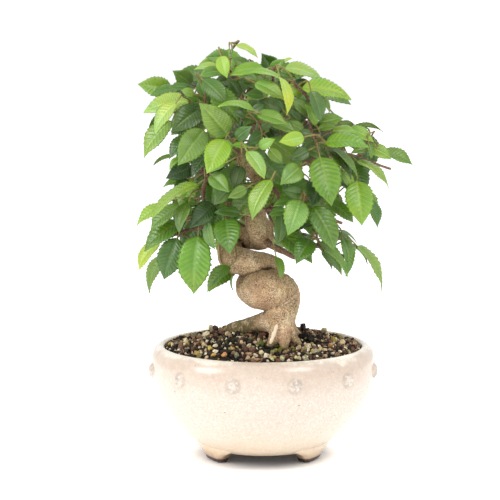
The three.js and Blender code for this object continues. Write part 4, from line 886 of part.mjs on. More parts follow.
// ---- pot: one thrown and glazed piece with its studs, feet and drain holes
function buildFoot(middle) {
  const steps = 6;
  const vertices = [];
  const faces = [];
  for (const [z, inner, outer, half] of FOOT_LEVELS) {
    for (let i = 0; i <= steps; i++) {
      const a = THREE.MathUtils.degToRad(middle + half * ((2 * i) / steps - 1));
      vertices.push([outer * Math.cos(a), outer * Math.sin(a), z]);
    }
    for (let i = steps; i >= 0; i--) {
      const a = THREE.MathUtils.degToRad(middle + half * ((2 * i) / steps - 1));
      vertices.push([inner * Math.cos(a), inner * Math.sin(a), z]);
    }
  }
  const n = 2 * (steps + 1);
  const top = n * (FOOT_LEVELS.length - 1);
  for (let level = 0; level + 1 < FOOT_LEVELS.length; level++)
    for (let k = 0; k < n; k++) {
      const a = level * n + k;
      const b = level * n + ((k + 1) % n);
      faces.push([a, b, b + n], [a, b + n, a + n]);
    }
  for (let i = 0; i < steps; i++) {
    const [a, b, c, d] = [i, i + 1, n - 2 - i, n - 1 - i];
    faces.push([a, c, b], [a, d, c], [top + a, top + b, top + c], [top + a, top + c, top + d]);
  }
  return solidFrom(vertices, faces);
}
function buildPot() {
  const body = solidOf(turned([...POT_OUTSIDE, ...POT_INSIDE], POT_SEGMENTS));
  const feet = [];
  for (let i = 0; i < FOOT_COUNT; i++) feet.push(buildFoot(FOOT_START_ANGLE + (360 / FOOT_COUNT) * i));
  const studs = [];
  for (let i = 0; i < STUD_COUNT; i++) {
    const stud = turned([[0, -1.6], [STUD_RADIUS, -1.6], [STUD_RADIUS * 0.88, STUD_HEIGHT * 0.62], [STUD_RADIUS * 0.45, STUD_HEIGHT], [0, STUD_HEIGHT]], 8);
    stud.rotateZ(Math.PI / 8).rotateY(Math.PI / 2).translate(STUD_RING_RADIUS, 0, STUD_Z).rotateZ(THREE.MathUtils.degToRad(15 + (360 / STUD_COUNT) * i));
    studs.push(solidOf(stud));
  }
  let pot = shut([body, ...feet, ...studs]);
  for (const x of [-DRAIN_HOLE_X, DRAIN_HOLE_X])
    pot = pot.subtract(solidOf(new THREE.CylinderGeometry(DRAIN_HOLE_RADIUS, DRAIN_HOLE_RADIUS, 12, 24).rotateX(Math.PI / 2).translate(x, 0, 10)));
  return largest(pot);
}
// ---- a square of plastic netting over each drain hole, and the bent wire that holds it
function buildNet(x) {
  const bars = [];
  for (let i = 0; i <= MESH_OPENINGS; i++) {
    const at = (MESH_SIZE / MESH_OPENINGS) * i - MESH_SIZE / 2;
    const z = POT_FLOOR_Z + GAP + MESH_BAR / 2;
    bars.push(solidOf(new THREE.BoxGeometry(MESH_SIZE + MESH_BAR, MESH_BAR, MESH_BAR).translate(x, at, z)));
    bars.push(solidOf(new THREE.BoxGeometry(MESH_BAR, MESH_SIZE + MESH_BAR, MESH_BAR).translate(x + at, 0, z)));
  }
  return largest(shut(bars));
}
function buildClip(x) {
  const r = CLIP_WIRE;
  const top = POT_FLOOR_Z + GAP + MESH_BAR + GAP + r;
  const low = POT_UNDERSIDE_Z - GAP - r;
  const leg = MESH_SIZE / MESH_OPENINGS / 2;
  const line = [[x - 9.4, leg, low, r], [x - leg, leg, low, r], [x - leg, leg, top, r], [x + leg, leg, top, r], [x + leg, leg, low, r], [x + 9.4, leg, low, r]];
  return largest(shut(limb(line, 6)));
}
// ---- trunk with its coil and the root that runs over the grit
function buildTrunk(grow = 0) {
  return largest(shut([...limb(TRUNK, 11, grow), ...limb(SURFACE_ROOT, 8, grow)]), WOOD_MERGE);
}

const solids = new Map();
const fat = new Map();
solids.set("pot", buildPot());
solids.set("drainage_net_left", buildNet(-DRAIN_HOLE_X));
solids.set("drainage_net_right", buildNet(DRAIN_HOLE_X));
solids.set("net_clip_left", buildClip(-DRAIN_HOLE_X));
solids.set("net_clip_right", buildClip(DRAIN_HOLE_X));
solids.set("trunk", buildTrunk());
fat.set("trunk", buildTrunk(CLEARANCE));

for (const [name, line] of Object.entries(BRANCHES)) {
  let wood = shut(limb(line, 6));
  for (const swell of fat.values()) if (boxesMeet(wood, swell)) wood = wood.subtract(swell);
  wood = largest(wood, WOOD_MERGE);
  solids.set(name, wood);
  fat.set(name, shut(limb(line, 6, CLEARANCE)));
}
// The room a leaf takes up, its thickness included on every side: whatever grows later is cut back from it.
function leafRoom(line, leaf, grow) {
  const base = V(leaf);
  const axis = V(leaf.slice(3, 6)).sub(base);
  const length = axis.length();
  axis.normalize();
  const normal = V(leaf.slice(6, 9));
  const up = normal.clone().addScaledVector(axis, -normal.dot(axis)).normalize();
  const side = new THREE.Vector3().crossVectors(up, axis).normalize();
  const width = leaf[9] + 2 * grow;
  const at = (k, v, more) => {
    const q = base.clone().addScaledVector(axis, k * length).addScaledVector(side, v * width * 0.5)
      .addScaledVector(up, 4 * k * (1 - k) * LEAF_ARCH * length + Math.abs(v) * leaf[9] * LEAF_FOLD * 0.5 + more);
    return [q.x, q.y, q.z];
  };
  const ends = grow / length;
  const outline = [[-ends, 0], ...BLADE, [1 + ends, 0], ...[...BLADE].reverse().map(([k, v]) => [k, -v])];
  const vertices = [...outline.map(([k, v]) => at(k, v, grow)), ...outline.map(([k, v]) => at(k, v, -grow)), at(0.4, 0, LEAF_HALF_THICKNESS + grow), at(0.4, 0, -LEAF_HALF_THICKNESS - grow)];
  const faces = [];
  for (let i = 0; i < 8; i++) {
    const j = (i + 1) % 8;
    faces.push([16, i, j], [17, 8 + j, 8 + i], [i, 8 + i, j], [j, 8 + i, 8 + j]);
  }
  return [solidFrom(vertices, faces), ...limb([...line, [base.x, base.y, base.z, STALK_RADIUS]], 4, grow)];
}
// Every piece of a shoot: plain twigs, twigs that end in a leaf, and leaves stalked straight off a twig.
function shootPieces(shoot, grow) {
  const pieces = [];
  for (const twig of shoot.twigs) {
    if (twig.leaf) pieces.push(...(grow > 0 ? leafRoom(twig.line, twig.leaf, grow) : [leafedTwig(twig.line, twig.leaf)]));
    else pieces.push(...limb(twig.line, twigSides(twig.line), grow));
  }
  for (const one of shoot.stalked) {
    const line = [[...one.node, STALK_RADIUS]];
    if (V(one.node).distanceTo(V(one.elbow)) > 0.8) line.push([...one.elbow, STALK_RADIUS]);
    pieces.push(...(grow > 0 ? leafRoom(line, one.leaf, grow) : [leafedTwig(line, one.leaf)]));
  }
  return shut(pieces);
}
// A shoot is grown after the wood or the shoot it springs from, and is kept clear of everything grown before it.
const waiting = [...SHOOTS];
while (waiting.length) {
  const next = waiting.findIndex((s) => solids.has(s.from));
  const shoot = waiting.splice(next, 1)[0];
  const whole = largest(shootPieces(shoot, 0), 0.001);
  let made = whole;
  for (const merge of [SHOOT_MERGE, 0.07, 0.03, 0.001]) {
    made = largest(whole, merge);
    if (made.volume() > 0.98 * whole.volume()) break;
  }
  for (const [, swell] of fat) if (boxesMeet(made, swell)) made = made.subtract(swell);
  solids.set(shoot.name, largest(made, 0.01));
  fat.set(shoot.name, shootPieces(shoot, CLEARANCE));
}
// ---- grit body: fills the pot, clear of its wall, the nets, the clips and the trunk
function buildGrit() {
  const inner = POT_INSIDE.filter((p, i) => p[1] < 68 && i !== 4 && i !== 6 && i !== 8).map(([r, z]) => [Math.max(0, r - (r > 0 ? GAP + 0.15 : 0)), z + (z <= POT_FLOOR_Z ? GAP : 0)]);
  let grit = solidOf(turned([...inner.slice().reverse(), ...GRIT_TOP], POT_SEGMENTS));
  grit = grit.subtract(buildTrunk(CLEARANCE));
  for (const x of [-DRAIN_HOLE_X, DRAIN_HOLE_X])
    grit = grit.subtract(solidOf(new THREE.BoxGeometry(MESH_SIZE + 2, MESH_SIZE + 2, 3.2).translate(x, 0, POT_FLOOR_Z + 1.6)));
  return largest(grit);
}
solids.set("potting_grit", buildGrit());
// ---- meshes
const BARK = new THREE.MeshStandardMaterial({ color: 0xb39a78, roughness: 0.85, metalness: 0 });
const TWIG = new THREE.MeshStandardMaterial({ color: 0x7d5a45, roughness: 0.75, metalness: 0 });
const LEAF = new THREE.MeshStandardMaterial({ color: 0x5f8a24, roughness: 0.5, metalness: 0 });
const GLAZE = new THREE.MeshStandardMaterial({ color: 0xeadfce, roughness: 0.25, metalness: 0 });
const GRIT = new THREE.MeshStandardMaterial({ color: 0x6b5a48, roughness: 0.9, metalness: 0 });
const NET = new THREE.MeshStandardMaterial({ color: 0x22262a, roughness: 0.6, metalness: 0 });
const WIRE = new THREE.MeshStandardMaterial({ color: 0x9a9a9a, roughness: 0.35, metalness: 1 });
function materialOf(name) {
  if (name === "pot") return GLAZE;
  if (name.startsWith("drainage_net")) return NET;
  if (name.startsWith("net_clip")) return WIRE;
  if (name === "potting_grit") return GRIT;
  if (name.startsWith("shoot")) return LEAF;
  if (name.startsWith("branch")) return TWIG;
  return BARK;
}
const tree = new THREE.Group();
tree.position.fromArray(FRAME_SHIFT);
for (const [name, solid] of solids) {
  const data = solid.getMesh();
  const geometry = new THREE.BufferGeometry();
  const stride = data.numProp;
  const positions = new Float32Array((data.vertProperties.length / stride) * 3);
  for (let i = 0; i < positions.length / 3; i++) for (let k = 0; k < 3; k++) positions[3 * i + k] = data.vertProperties[stride * i + k];
  geometry.setAttribute("position", new THREE.BufferAttribute(positions, 3));
  geometry.setIndex(new THREE.BufferAttribute(new Uint32Array(data.triVerts), 1));
  geometry.computeVertexNormals();
  const mesh = new THREE.Mesh(geometry, materialOf(name));
  mesh.name = name;
  tree.add(mesh);
}
tree.updateMatrixWorld(true);
export default tree;
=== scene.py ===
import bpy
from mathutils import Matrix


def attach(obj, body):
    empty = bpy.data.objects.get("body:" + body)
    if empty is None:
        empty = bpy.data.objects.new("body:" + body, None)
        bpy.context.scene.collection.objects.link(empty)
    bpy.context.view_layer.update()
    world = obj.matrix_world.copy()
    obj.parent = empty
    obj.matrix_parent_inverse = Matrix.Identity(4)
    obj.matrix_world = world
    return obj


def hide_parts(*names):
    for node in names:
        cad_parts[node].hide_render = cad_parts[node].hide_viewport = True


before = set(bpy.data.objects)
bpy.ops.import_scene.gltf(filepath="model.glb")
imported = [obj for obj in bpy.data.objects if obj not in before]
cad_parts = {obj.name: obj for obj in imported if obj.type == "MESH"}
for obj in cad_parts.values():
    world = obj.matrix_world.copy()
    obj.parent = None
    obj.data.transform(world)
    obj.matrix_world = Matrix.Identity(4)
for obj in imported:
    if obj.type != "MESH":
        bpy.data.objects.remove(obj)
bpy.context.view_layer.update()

import math

import bpy
import numpy as np
from mathutils import Matrix, Vector, noise

MM = 0.001
SX, SY = -6.515, -0.95  # from the pot's axis to the frame's origin, mm
rng = np.random.default_rng(20)

# Wood centre lines: x, y, z, radius in mm about the pot's axis.
TRUNK = [[10.97,-25.0,63.93,8.2],[10.96,-24.97,68.93,7.8],[10.94,-25.05,73.94,7.4],[10.93,-25.0,78.94,7.0],[10.94,-24.45,83.87,7.69],[10.92,-23.88,88.92,8.6],[10.91,-22.87,93.87,10.09],[11.12,-19.44,97.81,11.22],[10.93,-16.93,101.57,12.1],[9.23,-19.12,105.87,12.67],[5.33,-21.92,108.33,12.88],[0.29,-21.95,108.45,12.58],[-3.36,-18.7,108.25,11.84],[-5.5,-13.74,108.37,11.11],[-6.53,-8.82,109.02,10.55],[-6.5,-4.04,110.08,10.02],[-5.34,1.1,111.3,9.53],[-3.0,5.85,112.76,9.19],[0.45,6.69,115.16,8.65],[3.56,3.31,117.92,7.97],[4.33,-1.39,119.67,7.82],[3.34,-6.22,120.91,7.76],[1.2,-10.58,122.12,7.97],[-2.13,-14.31,123.3,8.16],[-6.5,-16.73,124.32,8.34],[-11.36,-16.51,125.05,8.46],[-15.83,-13.83,125.59,8.55],[-18.87,-9.85,126.25,8.56],[-20.3,-5.26,127.26,8.48],[-20.79,-0.21,128.77,8.4],[-20.75,4.97,130.84,8.15],[-19.38,9.08,133.23,7.89],[-15.65,10.82,135.57,7.72],[-10.74,10.0,137.26,7.6],[-6.72,7.19,137.85,7.69],[-3.7,3.0,138.04,7.78],[-1.4,-1.9,138.82,7.72],[-0.59,-6.31,140.96,7.62],[-2.1,-8.82,144.95,7.42],[-3.93,-8.41,149.62,7.09],[-4.45,-5.64,153.87,6.61],[-3.98,-2.54,157.8,5.78],[-3.18,-0.68,162.25,4.95],[-1.85,0.67,167.12,4.27],[-1.33,2.04,171.75,3.79],[-3.97,2.76,175.73,3.63],[-7.9,3.06,179.34,3.46],[-11.28,3.12,183.01,3.28],[-14.13,2.66,187.09,3.12],[-15.84,1.9,191.72,2.98],[-15.53,1.32,196.7,2.87],[-13.65,0.83,201.45,2.75],[-11.2,0.32,205.82,2.59],[-9.7,-0.2,210.45,2.42],[-9.88,-0.7,215.5,2.22],[-11.39,-1.18,220.34,2.04],[-13.66,-1.68,224.77,1.89],[-16.0,-2.26,229.14,1.74],[-18.04,-2.8,233.67,1.6],[-19.79,-3.01,238.4,1.44],[-21.01,-2.94,243.3,1.21],[-21.01,-3.23,248.21,1.0],[-19.94,-4.0,253.09,0.8]]
SURFACE_ROOT = [[7.86,-23.0,88.64,7.4],[4.39,-19.37,88.29,6.76],[0.97,-15.78,87.67,6.12],[-2.35,-12.26,86.49,5.65],[-5.61,-8.83,84.88,5.35],[-8.98,-5.46,83.31,5.04],[-12.56,-2.15,82.18,4.76],[-16.17,1.13,81.06,4.47],[-19.52,4.39,79.31,4.1],[-22.79,7.4,76.98,3.69],[-26.3,9.89,74.44,3.16],[-30.03,12.0,71.84,2.6]]
BRANCHES = {
    "branch_right_low": [[-0.72,-8.0,140.46,2.4],[1.37,-11.03,138.21,2.3],[3.64,-14.0,136.21,2.2],[6.24,-16.83,134.71,2.1],[9.29,-19.44,133.63,2.0],[12.76,-21.69,132.33,1.9],[16.56,-23.46,130.38,1.8],[20.34,-24.74,129.23,1.7],[23.66,-25.62,130.72,1.6],[26.76,-26.36,133.87,1.5],[30.2,-27.34,136.2,1.4],[34.2,-28.68,136.44,1.3],[38.33,-30.06,135.39,1.2],[42.25,-31.21,133.87,1.1],[45.96,-32.16,132.14,1.0],[49.57,-33.0,130.29,0.9]],
    "branch_left_mid": [[-4.45,-4.0,159.51,1.9],[-6.94,-7.21,160.41,1.82],[-9.65,-10.15,161.13,1.75],[-12.8,-12.58,161.5,1.67],[-16.38,-14.49,161.46,1.59],[-19.98,-16.39,161.07,1.52],[-23.32,-18.62,160.43,1.44],[-26.5,-21.01,159.61,1.36],[-29.7,-23.35,158.64,1.28],[-32.98,-25.5,157.58,1.21],[-36.36,-27.44,156.45,1.13],[-39.86,-29.13,155.26,1.05],[-43.43,-30.61,154.03,0.98],[-47.05,-32.0,152.79,0.9]],
    "branch_front_low": [[-1.93,0.0,168.6,1.6],[0.06,-3.71,170.04,1.52],[2.09,-7.41,171.11,1.44],[4.22,-11.07,171.45,1.37],[6.45,-14.67,170.73,1.29],[8.35,-18.2,168.95,1.21],[9.26,-21.62,166.33,1.13],[8.79,-24.9,163.48,1.06],[6.84,-28.01,161.39,0.98],[3.94,-31.0,160.01,0.9]],
    "branch_right_mid": [[-1.93,1.0,171.04,2.2],[1.24,-0.37,173.15,2.13],[4.44,-1.7,175.23,2.06],[7.69,-2.98,177.25,2.0],[11.02,-4.18,179.19,1.93],[14.46,-5.28,181.03,1.86],[17.97,-6.31,182.75,1.79],[21.55,-7.31,184.34,1.72],[25.17,-8.31,185.81,1.65],[28.81,-9.35,187.14,1.59],[32.51,-10.4,188.35,1.52],[36.27,-11.48,189.44,1.45],[40.1,-12.57,190.43,1.38],[44.0,-13.65,191.22,1.31],[47.91,-14.69,191.66,1.25],[51.8,-15.66,191.58,1.18],[55.62,-16.53,190.83,1.11],[59.38,-17.35,189.56,1.04],[63.11,-18.17,188.13,0.97],[66.83,-19.07,186.78,0.9],[70.55,-20.01,185.52,0.84],[74.27,-21.0,184.32,0.77],[77.99,-22.0,183.14,0.7]],
    "branch_right_high": [[-10.07,0.0,207.36,1.8],[-6.46,-1.83,208.06,1.72],[-2.83,-3.58,208.79,1.63],[0.85,-5.19,209.57,1.55],[4.6,-6.58,210.43,1.47],[8.39,-7.77,211.42,1.38],[12.13,-8.93,212.62,1.3],[15.75,-10.2,214.1,1.22],[19.17,-11.64,215.94,1.13],[22.3,-13.09,218.19,1.05],[25.07,-14.31,220.92,0.97],[27.49,-15.24,224.07,0.88],[29.73,-16.0,227.45,0.8]],
    "branch_left_high": [[-14.45,1.0,198.59,1.8],[-17.5,-0.72,200.77,1.72],[-20.58,-2.41,202.93,1.65],[-23.71,-4.06,205.06,1.57],[-26.91,-5.64,207.15,1.49],[-30.2,-7.15,209.15,1.42],[-33.6,-8.6,211.0,1.34],[-37.13,-9.98,212.61,1.26],[-40.8,-11.3,213.95,1.18],[-44.59,-12.53,215.07,1.11],[-48.45,-13.63,216.06,1.03],[-52.36,-14.54,217.02,0.95],[-56.3,-15.31,217.97,0.88],[-60.26,-16.0,218.92,0.8]],
    "branch_left_upper": [[-15.09,2.0,189.79,1.7],[-18.09,-0.83,188.89,1.61],[-21.08,-3.66,187.9,1.52],[-24.03,-6.5,186.72,1.43],[-26.91,-9.34,185.27,1.34],[-29.64,-12.18,183.47,1.25],[-32.03,-15.0,181.32,1.16],[-33.89,-17.8,178.79,1.07],[-35.09,-20.56,175.88,0.98],[-35.79,-23.29,172.69,0.89],[-36.25,-26.0,169.36,0.8]],
    "branch_left_low": [[-5.07,-4.0,155.12,1.8],[-8.91,-5.6,155.27,1.73],[-12.68,-7.22,155.12,1.67],[-16.34,-8.88,154.39,1.6],[-19.91,-10.49,153.11,1.53],[-23.49,-11.92,151.58,1.47],[-27.17,-13.07,150.1,1.4],[-30.95,-14.01,148.76,1.33],[-34.8,-14.86,147.59,1.27],[-38.7,-15.75,146.63,1.2],[-42.62,-16.7,145.79,1.13],[-46.52,-17.69,144.92,1.07],[-50.37,-18.73,143.9,1.0],[-54.16,-19.8,142.72,0.93],[-57.92,-20.9,141.44,0.87],[-61.66,-22.0,140.1,0.8]],
    "branch_front_high": [[-10.07,0.0,211.09,1.6],[-9.55,-4.2,212.3,1.52],[-9.01,-8.4,213.3,1.44],[-8.41,-12.61,213.9,1.36],[-7.74,-16.83,213.92,1.28],[-7.01,-21.07,213.41,1.2],[-6.26,-25.29,212.58,1.12],[-5.52,-29.5,211.63,1.04],[-4.8,-33.68,210.69,0.96],[-4.11,-37.84,209.77,0.88],[-3.43,-42.0,208.85,0.8]],
    "branch_back_left_low": [[-4.0,6.0,150.0,2.2],[-6.43,9.43,149.84,2.1],[-8.87,12.86,149.74,2.0],[-11.31,16.28,149.76,1.9],[-13.78,19.7,149.97,1.8],[-16.29,23.11,150.41,1.7],[-18.87,26.45,150.97,1.6],[-21.58,29.65,151.51,1.5],[-24.48,32.63,151.91,1.4],[-27.63,35.33,152.01,1.3],[-31.01,37.75,151.79,1.2],[-34.57,39.95,151.33,1.1],[-38.26,42.01,150.7,1.0],[-42.0,44.0,150.0,0.9]],
    "branch_back_right_low": [[4.0,8.0,156.0,2.2],[7.09,10.64,154.94,2.11],[10.19,13.29,153.93,2.01],[13.31,15.96,153.03,1.92],[16.46,18.67,152.29,1.83],[19.64,21.42,151.75,1.74],[22.86,24.17,151.39,1.64],[26.16,26.82,151.09,1.55],[29.55,29.29,150.73,1.46],[33.04,31.48,150.19,1.36],[36.67,33.29,149.37,1.27],[40.4,34.77,148.27,1.18],[44.22,35.99,146.96,1.09],[48.1,37.04,145.51,0.99],[52.0,38.0,144.0,0.9]],
    "branch_back_mid": [[0.0,4.0,166.0,2.0],[1.05,8.01,166.67,1.91],[2.08,12.04,167.27,1.82],[3.09,16.11,167.74,1.72],[4.06,20.24,168.01,1.63],[4.94,24.45,168.03,1.54],[5.66,28.68,167.76,1.45],[6.07,32.86,167.19,1.36],[6.08,36.95,166.29,1.27],[5.58,40.88,165.05,1.17],[4.64,44.66,163.53,1.08],[3.39,48.36,161.81,0.99],[2.0,52.0,160.0,0.9]],
    "branch_back_left_high": [[-14.0,2.0,190.0,1.9],[-15.84,5.6,191.45,1.81],[-17.73,9.15,192.92,1.72],[-19.76,12.62,194.43,1.62],[-21.97,15.96,195.98,1.53],[-24.43,19.14,197.58,1.44],[-27.13,22.13,199.15,1.35],[-30.09,24.92,200.59,1.26],[-33.29,27.49,201.79,1.17],[-36.74,29.83,202.67,1.08],[-40.39,31.99,203.27,0.98],[-44.16,34.03,203.68,0.89],[-48.0,36.0,204.0,0.8]],
    "branch_back_right_high": [[-10.0,2.0,205.0,1.9],[-7.11,4.99,205.74,1.82],[-4.19,7.98,206.45,1.74],[-1.24,10.95,207.1,1.66],[1.78,13.9,207.67,1.59],[4.88,16.82,208.11,1.51],[8.09,19.67,208.41,1.43],[11.4,22.4,208.54,1.35],[14.84,24.91,208.47,1.27],[18.41,27.14,208.19,1.19],[22.13,29.02,207.68,1.11],[25.99,30.57,206.95,1.04],[29.93,31.85,206.06,0.96],[33.95,32.97,205.05,0.88],[38.0,34.0,204.0,0.8]],
    "branch_back_top": [[-12.0,0.0,218.0,1.5],[-11.25,3.74,220.24,1.4],[-10.37,7.45,222.42,1.3],[-9.22,11.1,224.47,1.2],[-7.68,14.65,226.32,1.1],[-5.68,18.09,227.95,1.0],[-3.32,21.44,229.4,0.9],[-0.72,24.73,230.73,0.8],[2.0,28.0,232.0,0.7]],
}
